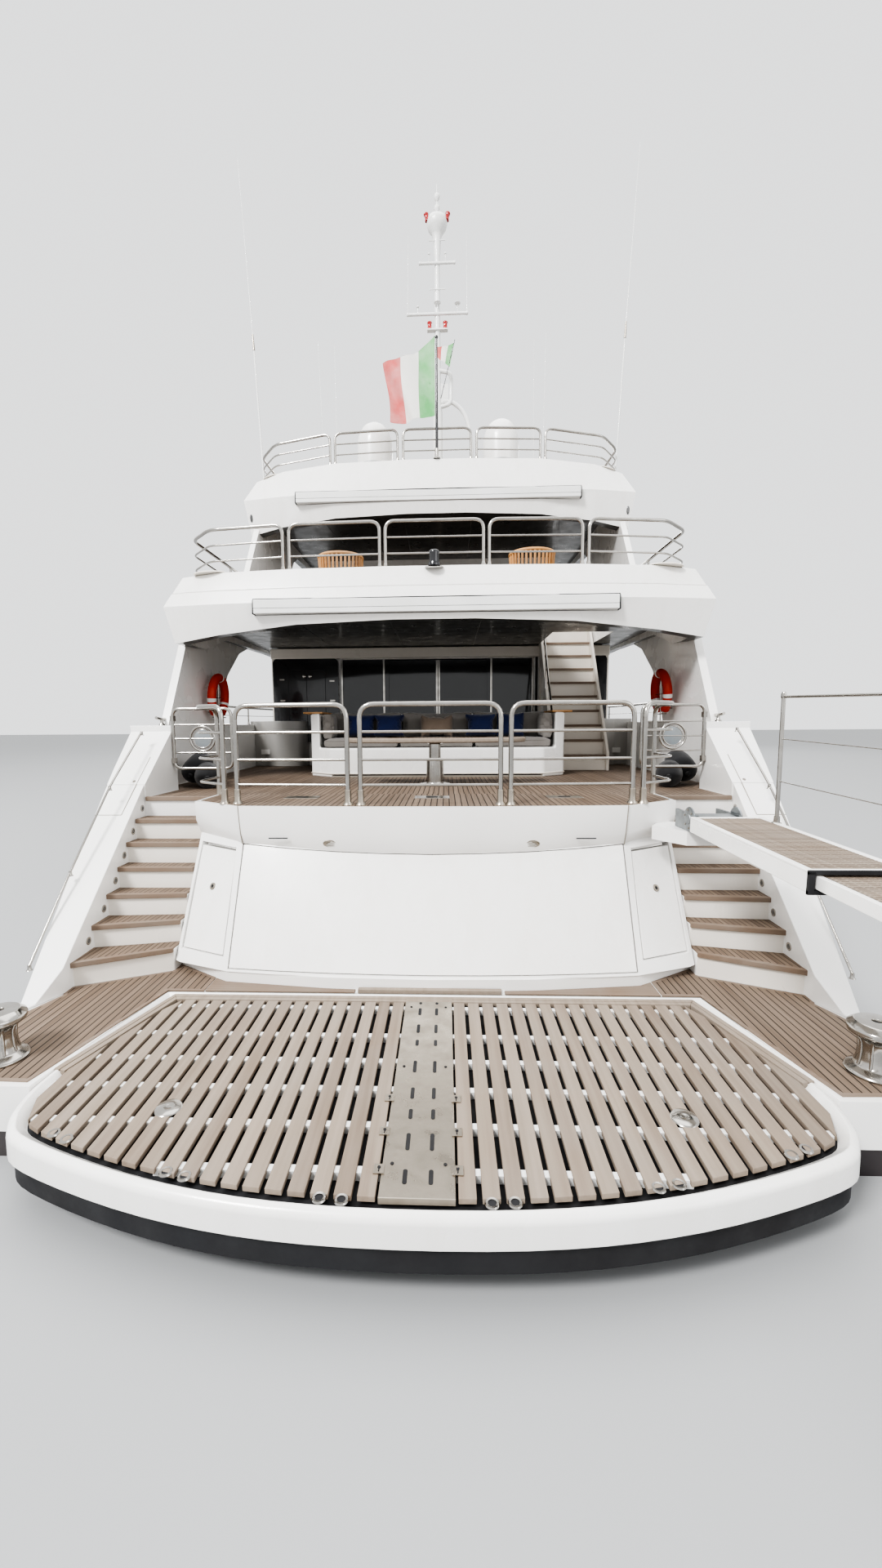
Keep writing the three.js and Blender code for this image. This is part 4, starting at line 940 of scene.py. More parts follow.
def copy_of(node: str, flatten: float = 0.4) -> BMesh:
    """A CAD node's mesh with its loose triangles merged and its flat faces joined.

    Args:
        node: The CAD node.
        flatten: Greatest turn between faces that are joined, in degrees.

    Returns:
        The merged copy.
    """
    bm = bmesh.new()
    bm.from_mesh(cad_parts[node].data)
    bmesh.ops.remove_doubles(bm, verts=bm.verts, dist=1e-4)
    if flatten:
        bmesh.ops.dissolve_limit(bm, angle_limit=math.radians(flatten), verts=bm.verts, edges=bm.edges)
    return bm


def publish(
    bm: BMesh,
    name: str,
    slot: Slot,
    finishes: Sequence[Finish],
    body: str = BOAT,
    stands_for: Sequence[str] = (),
    shade: float = 50.0,
) -> Object:
    """Turns a mesh into a finished piece that rides on its body.

    Args:
        bm: The mesh, which is freed.
        name: The piece's name.
        slot: The record's material slot; not used.
        finishes: Finishes in the order of the faces' material numbers.
        body: The CAD body that carries it.
        stands_for: CAD nodes that it replaces.
        shade: Edges that turn by more than this stay sharp, in degrees.

    Returns:
        The piece.
    """
    normals = smooth(bm, shade)
    mesh = bpy.data.meshes.new(name)
    bm.to_mesh(mesh)
    bm.free()
    mesh.normals_split_custom_set(normals)
    for finish in finishes:
        mesh.materials.append(material_of(finish))
    piece = bpy.data.objects.new(name, mesh)
    bpy.context.scene.collection.objects.link(piece)
    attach(piece, body)
    if stands_for:
        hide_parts(*stands_for)
    log.info("%s: %d faces on %s", name, len(mesh.polygons), body)
    return piece


Rule = Callable[[BMFace], int]


@dataclass
class Dressed:
    """A CAD piece carried over with rounded edges, its finishes chosen face by face."""

    node: str
    slot: Slot
    finishes: Sequence[Finish]
    body: str = BOAT
    width: float = 0.008
    segments: int = 2
    rule: Rule | None = None
    angle: float = 25.0
    flatten: float = 0.4

    def build(self) -> Object:
        """The dressed piece, in the place of its node.

        Returns:
            The finished piece.
        """
        bm = copy_of(self.node, self.flatten)
        if self.rule:
            for face in bm.faces:
                face.material_index = self.rule(face)
        round_edges(bm, self.width, self.segments, self.angle)
        return publish(bm, f"{self.node}_skin", self.slot, self.finishes, self.body, [self.node])


@dataclass
class Hull:
    """The hull, its bulwarks and the two wings with their stairs."""

    round_width: float = 0.02
    flatten: float = 0.05
    stair_reach: float = 3.0
    landing: float = 1.87

    def riser(self, face: BMFace) -> int:
        """Tells the stair's risers, which get a darker, warmer white as painted shade, from the rest of the
        wing.

        Args:
            face: A face of the wing.

        Returns:
            1 for a riser, 0 for the rest.
        """
        centre = face.calc_center_median()
        faces_aft = face.normal.y < -0.85 and abs(face.normal.z) < 0.1
        return 1 if faces_aft and abs(centre.x) < self.stair_reach and 0.5 < centre.z < self.landing else 0

    def build(self) -> list[Object]:
        """The moulded pieces below the main rail.

        Returns:
            The finished pieces.
        """
        made = [
            Dressed("hull", Slot.GELCOAT, [HULL_PAINT], width=0.014, angle=38, flatten=self.flatten).build()
        ]
        for side in Side:
            # Painted shade: the second finish darkens the risers.
            paint_with_riser_shade = [HULL_PAINT, RISER_SHADE]
            bulwark = Dressed(
                f"bulwark_{side.tag}",
                Slot.GELCOAT,
                [HULL_PAINT],
                width=self.round_width,
                flatten=self.flatten,
            )
            made.append(bulwark.build())
            stair = Dressed(
                f"stern_stair_{side.tag}", Slot.GELCOAT, paint_with_riser_shade, width=self.round_width, rule=self.riser
            )
            made.append(stair.build())
        return made


@dataclass
class BathingPlatform:
    """The lowering platform: a moulded rim round laid slats, with a steel hatch strip along the middle."""

    body: str = "bathing_platform"
    depth: float = 0.16
    rim: Sequence[tuple[float, float]] = (
        (2.12, -15.645),
        (2.345, -16.70),
        (2.345, -16.93),
        (2.27, -17.17),
        (2.06, -17.345),
        (1.30, -17.59),
        (0.50, -17.708),
    )
    rim_width: float = 0.098
    well: Sequence[tuple[float, float]] = (
        (2.04, -15.69), (2.33, -16.70), (2.235, -16.90), (2.01, -17.205), (1.55, -17.39), (0.78, -17.57),
        (0.21, -17.63),
    )
    slat: float = 0.083
    pitch: float = 0.109
    slat_thick: float = 0.026
    strip_half: float = 0.178
    boards: float = 0.09
    mitre: float = 0.07
    bearers: Sequence[float] = (-15.85, -16.24, -16.54, -16.825, -17.13, -17.447)
    disc_at: tuple[float, float] = (1.425, -17.05)
    ring_pairs: Sequence[tuple[float, float, float]] = (
        (1.893, -17.30, 23), (1.165, -17.535, 13), (0.392, -17.655, 4)
    )
    slot_rows: Sequence[float] = (-15.80, -15.93, -16.17, -16.35, -16.62, -16.88, -17.06, -17.27, -17.50)
    slot_lengths: Sequence[float] = (0.03, 0.10, 0.11, 0.07, 0.12, 0.10, 0.08, 0.12, 0.09)
    disc_profile: Sequence[tuple[float, float]] = (
        (0, 0.010), (0.022, 0.010), (0.030, 0.013), (0.066, 0.011), (0.075, 0.0), (0, 0.0)
    )
    ring_profile: Sequence[tuple[float, float]] = (
        (0.020, 0.0), (0.020, 0.006), (0.030, 0.007), (0.034, 0.0), (0.020, 0.0)
    )
    lamp_profile: Sequence[tuple[float, float]] = (
        (0, 0.012), (0.022, 0.012), (0.030, 0.006), (0.032, 0.0), (0, 0.0)
    )

    def well_front(self, x: float) -> float:
        """The forward end of a slat at x, behind the margin boards.

        Args:
            x: Place across the boat.

        Returns:
            Its place along the boat.
        """
        corner = self.well[0]
        slope = (self.well[1][1] - corner[1]) / (self.well[1][0] - corner[0])
        ahead = corner[1] - self.boards
        past = abs(x) - corner[0] + self.mitre
        return ahead + max(0.0, past) * slope

    def outline(self) -> list[tuple[float, float]]:
        """The plan outline with its aft edge drawn as a fair curve."""
        full = mirrored(self.rim)
        return [full[0], *fair(full[1:-1], 5), full[-1]]

    def well_aft(self, x: float) -> float:
        """The aft end of a slat at x, on the rim's inner edge.

        Args:
            x: Place across the boat.

        Returns:
            Its place along the boat.
        """
        edge = [Vector(p) for p in self.outline()[1:-1]]
        inner = []
        for before, here, after in zip(edge, edge[1:], edge[2:]):
            run = (after - before).normalized()
            inner.append(here + Vector((run.y, -run.x)) * self.rim_width)
        for a, b in zip(inner, inner[1:]):
            if b.x <= abs(x) <= a.x:
                return a.y + (b.y - a.y) * (abs(x) - a.x) / (b.x - a.x)
        return inner[0].y

    def build(self) -> list[Object]:
        """Moulding, slats, trim, strip and fittings."""
        return [self.moulding(), self.slats(), self.margins(), self.strip(), self.fittings()]

    def moulding(self) -> Object:
        """The white pan with its rounded outer edge, its sunken floor black as painted shade under the slats,
        and the dark band below it, a boot with the shade under the platform painted into it.

        Returns:
            The finished piece.
        """
        bm = bmesh.new()
        faces = add_slab(bm, self.outline(), PLATFORM_Z - self.depth, PLATFORM_Z)
        top = max(faces, key=lambda f: f.calc_center_median().z)
        outer = [e for e in top.edges if max(v.co.y for v in e.verts) < -16.6]
        bevel(bm, outer, 0.045, 4)
        pan = max(bm.faces, key=lambda f: f.calc_area() if f.normal.z > 0.99 else 0)
        bmesh.ops.inset_region(bm, faces=[pan], thickness=0.050, use_even_offset=True)
        bmesh.ops.translate(bm, verts=pan.verts, vec=(0, 0, -0.05))
        # Painted shade: the sunken floor under the slats is black.
        pan.material_index = 1
        round_edges(bm, 0.006, 2)
        # Partly painted shade: the black band below stands for the boot and for the shade under the platform.
        band = [(x * 0.992, y + 0.022 if y < -16.8 else y) for x, y in self.outline()]
        tint(add_slab(bm, band, PLATFORM_Z - self.depth - 0.13, PLATFORM_Z - self.depth + 0.004), 2)
        for x in (0.9, -1.02):
            add_box(bm, (x, -16.6, -0.15), (x + 0.12, -15.66, 0.3))
            add_box(bm, (x - 0.02, -15.75, -0.7), (x + 0.14, -15.66, 0.3))
        finishes = [GELCOAT, RUBBER_AND_SHADE, RUBBER_AND_SHADE]
        return publish(bm, "platform_moulding", Slot.GELCOAT, finishes, self.body, ["bathing_platform"])

    def slats(self) -> Object:
        """Every slat with its own tone, on rows of white bearers.

        Returns:
            The finished piece.
        """
        bm = bmesh.new()
        tone = bm.verts.layers.float.new("tone")
        draw = random.Random(7)
        count = int((self.well[1][0] - self.strip_half) / self.pitch)
        for sign in (1, -1):
            for k in range(count):
                x0 = self.strip_half + 0.012 + k * self.pitch
                x1 = min(x0 + self.slat, self.well[1][0] - 0.01)
                ends = [(x, self.well_front(x) - 0.004) for x in (x0, x1)]
                ends += [(x, self.well_aft(x) + 0.004) for x in (x1, x0)]
                if ends[0][1] - ends[3][1] < 0.05 or ends[1][1] - ends[2][1] < 0.02:
                    continue
                own = draw.random()
                outline = [(x * sign, y) for x, y in ends]
                made = add_slab(bm, outline, PLATFORM_Z - self.slat_thick, PLATFORM_Z + 0.004)
                for vert in {v for f in made for v in f.verts}:
                    vert[tone] = own
        round_edges(bm, 0.003, 1)
        for y in self.bearers:
            reach = max(
                x
                for x in (k * 0.05 for k in range(4, 46)) if self.well_front(x) > y > self.well_aft(x) + 0.035
            )
            low, high = PLATFORM_Z - 0.05, PLATFORM_Z - 0.008
            paint(add_box(bm, (-reach, y - 0.022, low), (reach, y + 0.022, high)), 1)
        return publish(bm, "platform_slats", Slot.TEAK, [SLAT_TEAK, WHITE_PLASTIC], self.body)

    def margins(self) -> Object:
        """The mitred boards along the front and the two slanting sides.

        Returns:
            The finished piece.
        """
        bm = bmesh.new()
        (cx, cy), (ex, ey) = self.well[:2]
        run = Vector((ex - cx, ey - cy)).normalized()
        inward = Vector((-run.y, run.x)) * -1 if run.y > 0 else Vector((run.y, -run.x))
        for step, width in ((0.0, 0.040), (0.046, 0.040)):
            front = [(-cx + step * 0.6, cy - step), (cx - step * 0.6, cy - step)]
            back = [
                (cx - (step + width) * 0.6, cy - step - width),
                (-cx + (step + width) * 0.6, cy - step - width),
            ]
            add_slab(bm, [*front, *back], PLATFORM_Z - 0.03, PLATFORM_Z + 0.006)
            for sign in (1, -1):
                a = Vector((cx - step * 0.6, cy - step))
                b = Vector((ex, ey)) + inward * step
                c = b + inward * width
                d = Vector((cx - (step + width) * 0.6, cy - step - width))
                outline = [(p.x * sign, p.y) for p in (a, b, c, d)]
                add_slab(bm, outline, PLATFORM_Z - 0.03, PLATFORM_Z + 0.006)
        round_edges(bm, 0.003, 1)
        return publish(bm, "platform_margins", Slot.TEAK, [SLAT_TEAK], self.body)

    def strip(self) -> Object:
        """The steel hatch strip with its slots, keyholes and side latches.

        Returns:
            The finished piece.
        """
        bm = bmesh.new()
        z = PLATFORM_Z
        low, high = (-self.strip_half, -17.625), (self.strip_half, -15.70)
        add_box(bm, (*low, z - 0.03), (*high, z + 0.005))
        round_edges(bm, 0.004, 2)
        for y, long in zip(self.slot_rows, self.slot_lengths):
            for x in (-0.062, 0.062):
                self.slot_cut(bm, x, y, long)
        for y in (-15.86, -16.62, -17.42):
            for x in (-0.13, 0.13):
                made = add_turned(bm, plain_disc(0.009, 0.008), (x, y, z), steps=10)
                paint(made, 1)
        for y in (-16.93, -17.2, -17.46):
            for sign in (1, -1):
                x = sign * (self.strip_half + 0.012)
                add_box(bm, (x - 0.026, y - 0.030, z), (x + 0.026, y + 0.030, z + 0.011))
                made = add_turned(bm, plain_disc(0.008, 0.014), (x, y + 0.008, z), steps=10)
                paint(made, 1)
                made = add_box(bm, (x - 0.003, y - 0.018, z), (x + 0.003, y + 0.008, z + 0.0135))
                paint(made, 1)
        return publish(bm, "platform_strip", Slot.STEEL, [SATIN, RUBBER_AND_SHADE], self.body)

    def slot_cut(self, bm: BMesh, x: float, y: float, long: float) -> None:
        """A dark round-ended slot in the strip.

        Args:
            bm: The mesh under construction.
            x: Place across the boat.
            y: Place along the boat.
            long: Length of the slot.
        """
        made = add_box(
            bm, (x - 0.011, y - long / 2, PLATFORM_Z), (x + 0.011, y + long / 2, PLATFORM_Z + 0.0065)
        )
        edges = list(
            {e for v in made for e in v.link_edges if abs(e.verts[0].co.z - e.verts[1].co.z) > 0.001}
        )
        corners = bevel(bm, edges, 0.0105, 4)
        paint([*made, *corners], 1)

    def fittings(self) -> Object:
        """Two lifting discs, three pairs of cleat rings a side and the corner lights.

        Returns:
            The finished piece.
        """
        bm = bmesh.new()
        for sign in (1, -1):
            x, y = self.disc_at
            add_turned(bm, self.disc_profile, (sign * x, y, PLATFORM_Z + 0.003), steps=28)
            dark = add_turned(bm, plain_disc(0.020, 0.0125), (sign * x, y, PLATFORM_Z), steps=16)
            paint(dark, 1)
            for cx, cy, turn in self.ring_pairs:
                along = Vector((math.cos(math.radians(turn)), math.sin(math.radians(turn)), 0))
                for k in (-0.052, 0.052):
                    at = Vector((sign * (cx + along.x * k), cy + along.y * k + 0.022, PLATFORM_Z - 0.0005))
                    add_turned(bm, self.ring_profile, at, steps=20)
                    paint(add_turned(bm, plain_disc(0.021, 0.002), at, steps=20), 1)
            add_turned(
                bm,
                self.lamp_profile,
                (sign * 2.20, -17.24, PLATFORM_Z - 0.075),
                (sign * 0.62, -0.78, 0),
                steps=18,
            )
        return publish(bm, "platform_fittings", Slot.STEEL, [POLISHED, RUBBER_AND_SHADE], self.body)


@dataclass
class WingDecks:
    """Laid teak on the fixed wings, the boards at the transom's foot and the stair treads."""

    proud: float = 0.007
    margin: float = 0.028
    wing: Sequence[tuple[float, float]] = (
        (2.125, -15.632),
        (1.83, -15.632),
        (1.83, -15.388),
        (2.262, -15.118),
        (2.262, -15.268),
        (2.985, -15.615),
        (2.93, -15.74),
        (3.13, -16.28),
        (3.115, -16.82),
        (2.40, -16.84),
        (2.365, -16.70),
    )
    sill: Sequence[tuple[float, float]] = (
        (0.60, -15.634), (1.82, -15.634), (1.82, -15.400), (1.71, -15.465), (0.85, -15.572), (0.60, -15.584)
    )
    treads: Sequence[tuple[float, float, float]] = (
        (-15.25, -15.615, 0.65),
        (-15.095, -15.270, 0.85),
        (-14.945, -15.003, 1.05),
        (-14.775, -14.785, 1.25),
        (-14.60, -14.60, 1.45),
        (-14.405, -14.405, 1.65),
        (-14.19, -14.19, 1.85),
    )
    tread_in: float = 2.255
    tread_out: float = 2.995
    nosing: float = 0.022
    step_plan: Sequence[tuple[float, float]] = (
        (-0.575, -15.634), (0.575, -15.634), (0.575, -15.590), (-0.575, -15.590)
    )

    def build(self) -> list[Object]:
        """The teak of both sides."""
        made = [piece for side in Side for piece in (self.wing_deck(side), self.stair(side))]
        return [*made, self.sills()]

    def wing_deck(self, side: Side) -> Object:
        """The wing's planking inside a narrow margin board.

        Args:
            side: The side of the boat.

        Returns:
            The finished piece.
        """
        bm = bmesh.new()
        outline = [(x * side.value, y) for x, y in self.wing]
        add_planking(bm, outline, PLATFORM_Z, self.proud, self.margin)
        return publish(bm, f"wing_teak_{side.tag}", Slot.TEAK, [DECK_TEAK, BOARD_TEAK])

    def sills(self) -> Object:
        """Dark boards under the transom's foot and the paler step between them.

        Returns:
            The finished piece.
        """
        bm = bmesh.new()
        for side in Side:
            add_slab(bm, [(x * side.value, y) for x, y in self.sill], PLATFORM_Z - SUNK, PLATFORM_Z + 0.010)
        tint(add_slab(bm, self.step_plan, PLATFORM_Z - SUNK, PLATFORM_Z + 0.030), 1)
        round_edges(bm, 0.003, 1)
        return publish(bm, "transom_sills", Slot.TEAK, [BOARD_TEAK, SLAT_TEAK])

    def stair(self, side: Side) -> Object:
        """Six treads and the landing's edge, each a planked board with a thick nosing.

        Args:
            side: The side of the boat.

        Returns:
            The finished piece.
        """
        bm = bmesh.new()
        x0, x1 = side.value * self.tread_in, side.value * self.tread_out
        for row, (near_in, near_out, z) in enumerate(self.treads):
            last = row == len(self.treads) - 1
            far_in, far_out = (-14.16, -14.16) if last else self.treads[row + 1][:2]
            lip = [
                (x0, near_in - self.nosing),
                (x1, near_out - self.nosing),
                (x1, near_out + 0.028),
                (x0, near_in + 0.028),
            ]
            tint(add_slab(bm, lip, z - 0.030, z + 0.014), 1)
            if not last:
                board = [(x0, near_in + 0.027), (x1, near_out + 0.027), (x1, far_out), (x0, far_in)]
                add_slab(bm, board, z - 0.004, z + 0.012)
        round_edges(bm, 0.005, 2)
        return publish(bm, f"stair_teak_{side.tag}", Slot.TEAK, [TREAD_TEAK, BOARD_TEAK])


@dataclass
class MainDeckTeak:
    """Laid teak of the aft deck and the side decks, in a margin board."""

    outline: Sequence[tuple[float, float]] = (
        (0.60, -15.045),
        (1.74, -14.99),
        (2.17, -14.66),
        (2.17, -14.17),
        (2.98, -14.17),
        (2.98, -13.47),
        (3.26, -12.97),
        (3.36, -9.42),
    )
    lip: Sequence[tuple[float, float]] = ((0.55, -15.06), (1.73, -15.005), (2.205, -14.66), (2.205, -14.19))
    side_inner: float = 2.97
    front: float = 1.45
    hatches: Sequence[float] = (-1.28, 0.0, 1.28)

    def build(self) -> list[Object]:
        """Aft deck, side decks and the flush hatches."""
        return [self.aft(), *[self.side_deck(side) for side in Side], self.plates()]

    def aft(self) -> Object:
        """The aft deck's planking, run up over the lip's edge.

        Returns:
            The finished piece.
        """
        bm = bmesh.new()
        add_planking(bm, mirrored(self.outline), MAIN_Z)
        add_slab(bm, mirrored(self.lip), LIP_Z - SUNK, LIP_Z + 0.005)
        return publish(bm, "aft_deck_teak", Slot.TEAK, [DECK_TEAK, BOARD_TEAK])

    def side_deck(self, side: Side) -> Object:
        """One side deck from the bulkhead to the foredeck's step.

        Args:
            side: The side of the boat.

        Returns:
            The finished piece.
        """
        bm = bmesh.new()
        inner = self.side_inner
        plan = ((inner, -9.42), (3.36, -9.42), (3.42, -3.0), (3.42, self.front), (inner, self.front))
        add_slab(bm, [(side.value * x, y) for x, y in plan], MAIN_Z - SUNK, MAIN_Z + 0.006)
        return publish(bm, f"side_deck_teak_{side.tag}", Slot.TEAK, [DECK_TEAK])

    def plates(self) -> Object:
        """Flush lifting plates let into the deck behind the rail.

        Returns:
            The finished piece.
        """
        bm = bmesh.new()
        for x in self.hatches:
            paint(add_box(bm, (x - 0.17, -14.55, MAIN_Z), (x + 0.17, -14.36, LIP_Z + 0.007)), 0 if x else 1)
            paint(add_box(bm, (x - 0.06, -14.47, LIP_Z + 0.006), (x + 0.06, -14.44, LIP_Z + 0.010)), 2)
        round_edges(bm, 0.003, 1)
        return publish(bm, "deck_plates", Slot.STEEL, [SATIN, POLISHED, RUBBER_AND_SHADE])


@dataclass
class SternRail:
    """Three polished frames across the lip and one wrapped round each of its corners."""

    top: float = 2.77
    bars: Sequence[float] = (2.06, 2.285, 2.53)
    radius: float = 0.022
    bar_radius: float = 0.013
    corner: float = 0.13
    frames: Sequence[tuple[tuple[float, float], tuple[float, float]]] = (
        ((-1.76, -14.905), (-0.735, -14.985)), ((-0.62, -14.99), (0.615, -14.99)), (
            (0.705, -14.985), (1.785, -14.905)
        )
    )
    wrap: Sequence[tuple[float, float]] = ((1.885, -14.885), (2.235, -14.63), (2.235, -14.135))
    socket_profile: Sequence[tuple[float, float]] = (
        (0, 0.14), (0.027, 0.14), (0.030, 0.125), (0.030, 0.035), (0.045, 0.012), (0.048, 0.0), (0, 0.0)
    )

    def build(self) -> list[Object]:
        """One piece for all the frames.

        Returns:
            The finished pieces.
        """
        bm = bmesh.new()
        for a, b in self.frames:
            self.frame(bm, [a, b])
        for side in Side:
            self.frame(bm, [(x * side.value, y) for x, y in self.wrap])
        return [publish(bm, "stern_rail_frames", Slot.STEEL, [POLISHED, SATIN], BOAT, ["stern_rail"])]

    def frame(self, bm: BMesh, plan: Sequence[tuple[float, float]]) -> None:
        """One inverted U with its level bars and its sockets.

        Args:
            bm: The mesh under construction.
            plan: The frame's line in plan.
        """
        first, last = plan[0], plan[-1]
        foot = LIP_Z if len(plan) == 2 else MAIN_Z
        corners = [(*first, LIP_Z), *[(x, y, self.top) for x, y in plan], (*last, foot)]
        add_pipe(bm, rounded(corners, self.corner, 6), self.radius, 14)
        for z in self.bars:
            add_pipe(bm, rounded([(x, y, z) for x, y in plan], 0.10, 5), self.bar_radius, 10)
        for (x, y), z in ((first, LIP_Z), (last, foot)):
            made = add_turned(bm, self.socket_profile, (x, y, z), steps=18)
            paint(made, 1)


@dataclass
class SternGate:
    """A hinged gate across one stair: a round-cornered frame with a ring in the middle."""

    side: Side
    x0: float = 2.30
    x1: float = 2.975
    y: float = -13.56
    z0: float = 2.11
    z1: float = 2.79
    bars: Sequence[float] = (2.29, 2.45, 2.61)
    plate_profile: Sequence[tuple[float, float]] = (
        (0, 0.006), (0.098, 0.006), (0.104, 0.0), (0.098, -0.006), (0, -0.006)
    )

    def build(self) -> list[Object]:
        """The gate and the pale disc plate in its ring.

        Returns:
            The finished pieces.
        """
        body = f"stern_gate_{self.side.tag}"
        bm = bmesh.new()
        s = self.side.value
        loop = oblong((self.x0, self.z0), (self.x1, self.z1), 0.09, 6)
        add_pipe(bm, [Vector((s * x, self.y, z)) for x, z in loop], 0.018, 12, closed=True)
        for z in self.bars:
            add_bar(bm, (s * self.x0, self.y, z), (s * self.x1, self.y, z), 0.009, 10)
        centre = Vector((s * 2.64, self.y, 2.45))
        for radius, thick in ((0.14, 0.013), (0.105, 0.008)):
            add_pipe(bm, ellipse(centre, (radius, 0, 0), (0, 0, radius), 28), thick, 10, closed=True)
        made = add_turned(bm, self.plate_profile, centre, (0, 1, 0), 28)
        paint(made, 1)
        for z in (2.2, 2.68):
            add_box(bm, (s * 2.955, self.y - 0.03, z - 0.03), (s * 2.995, self.y + 0.03, z + 0.03))
        return [publish(bm, f"{body}_frame", Slot.STEEL, [POLISHED, GREY_METAL], body, [body])]


@dataclass
class Transom:
    """Fittings of the raked transom: latches, lamps under the lip, seams and the garage door's edge."""

    lamp_x: float = 0.885
    slit_x: float = 1.35
    latch_from: Point = (2.212, -15.405, 1.38)
    head_height: float = 0.021
    head_end: float = 2.135
    head_step: Point = (-0.0093, 0.0138, 0.034)
    latch_profile: Sequence[tuple[float, float]] = (
        (0, 0.006), (0.016, 0.006), (0.019, 0.009), (0.031, 0.008), (0.034, 0), (0, 0)
    )
    lamp_profile: Sequence[tuple[float, float]] = (
        (0, 0.006), (0.034, 0.006), (0.040, 0.010), (0.052, 0.006), (0.055, 0), (0, 0)
    )
    seam_lines: Sequence[tuple[Point, Point]] = (
        ((1.715, -15.0345, 1.879), (1.7, -15.031, 1.632)), ((1.7, -15.031, 1.632), (1.7, -14.990, 1.53))
    )

    def build(self) -> list[Object]:
        """Doors, lamps and seams.

        Returns:
            The finished pieces.
        """
        made = [Dressed("garage_door", Slot.GELCOAT, [GELCOAT], "garage_door", 0.008).build()]
        for side in Side:
            node = f"transom_door_{side.tag}"
            made.append(Dressed(node, Slot.GELCOAT, [GELCOAT], node, 0.006).build())
            made += [self.latch(side), self.head(side)]
        return [*made, self.lamps(), self.seams()]

    def head(self, side: Side) -> Object:
        """The strip of the hull that closes most of the gap over a corner door, clear of its hinge.

        Args:
            side: The side of the boat.

        Returns:
            The finished piece.
        """
        bm = copy_of(f"transom_door_{side.tag}")
        top = max(vert.co.z for vert in bm.verts)
        cut = Vector((0, 0, top - self.head_height))
        geom = [*bm.verts, *bm.edges, *bm.faces]
        bmesh.ops.bisect_plane(bm, geom=geom, plane_co=cut, plane_no=(0, 0, 1), clear_inner=True)
        geom = [*bm.verts, *bm.edges, *bm.faces]
        hinge = (side.value * self.head_end, 0, 0)
        bmesh.ops.bisect_plane(bm, geom=geom, plane_co=hinge, plane_no=(side.value, 0, 0), clear_outer=True)
        bmesh.ops.holes_fill(bm, edges=[edge for edge in bm.edges if edge.is_boundary])
        bmesh.ops.translate(bm, verts=bm.verts, vec=(side.value * self.head_step[0], *self.head_step[1:]))
        return publish(bm, f"transom_door_head_{side.tag}", Slot.GELCOAT, [GELCOAT])

    def latch(self, side: Side) -> Object:
        """A flush round lift handle on a corner door.

        Args:
            side: The side of the boat.

        Returns:
            The finished piece.
        """
        bm = bmesh.new()
        s = side.value
        body = f"transom_door_{side.tag}"
        start = (s * self.latch_from[0], *self.latch_from[1:])
        centre, outward = Probe.hit(body, start, (-s * 0.48, 0.746, -0.461))
        add_turned(bm, self.latch_profile, centre, outward, 24)
        dark = add_turned(bm, plain_disc(0.015, 0.0075), centre, outward, 18)
        paint(dark, 1)
        return publish(bm, f"transom_latch_{side.tag}", Slot.STEEL, [SATIN, RUBBER_AND_SHADE], body)

    def lamps(self) -> Object:
        """Two oval downlights with louvres on the slanting underside of the lip.

        Returns:
            The finished piece.
        """
        bm = bmesh.new()
        down = Vector((0, -0.93, -0.37)).normalized()
        for s in (1, -1):
            centre = Vector((s * self.lamp_x, -15.052, 1.545))
            add_oval(bm, self.lamp_profile, centre, down, (1.3, 1, 0.8))
            for k in (-0.016, 0.0, 0.016):
                along = Vector((0, -0.37, 0.93))
                at = centre + along * k + down * 0.007
                add_box(bm, at - Vector((0.038, 0.004, 0.003)), at + Vector((0.038, 0.004, 0.003)))
            slit = Vector((s * self.slit_x, -15.068, 1.598))
            paint(add_box(bm, slit - Vector((0.085, 0.006, 0.004)), slit + Vector((0.085, 0.003, 0.004))), 1)
        return publish(bm, "transom_lamps", Slot.STEEL, [SATIN, RUBBER_AND_SHADE])

    def seams(self) -> Object:
        """The two joints that part the lip from its corners.

        Returns:
            The finished piece.
        """
        bm = bmesh.new()
        for s in (1, -1):
            for a, b in self.seam_lines:
                add_bar(bm, (s * a[0], a[1], a[2]), (s * b[0], b[1], b[2]), 0.0045, 8)
            add_bar(bm, (s * 1.715, -15.036, 1.8805), (s * 1.715, -14.95, 1.8805), 0.003, 8)
        return publish(bm, "transom_seams", Slot.GELCOAT, [SEALANT_AND_SHADE])


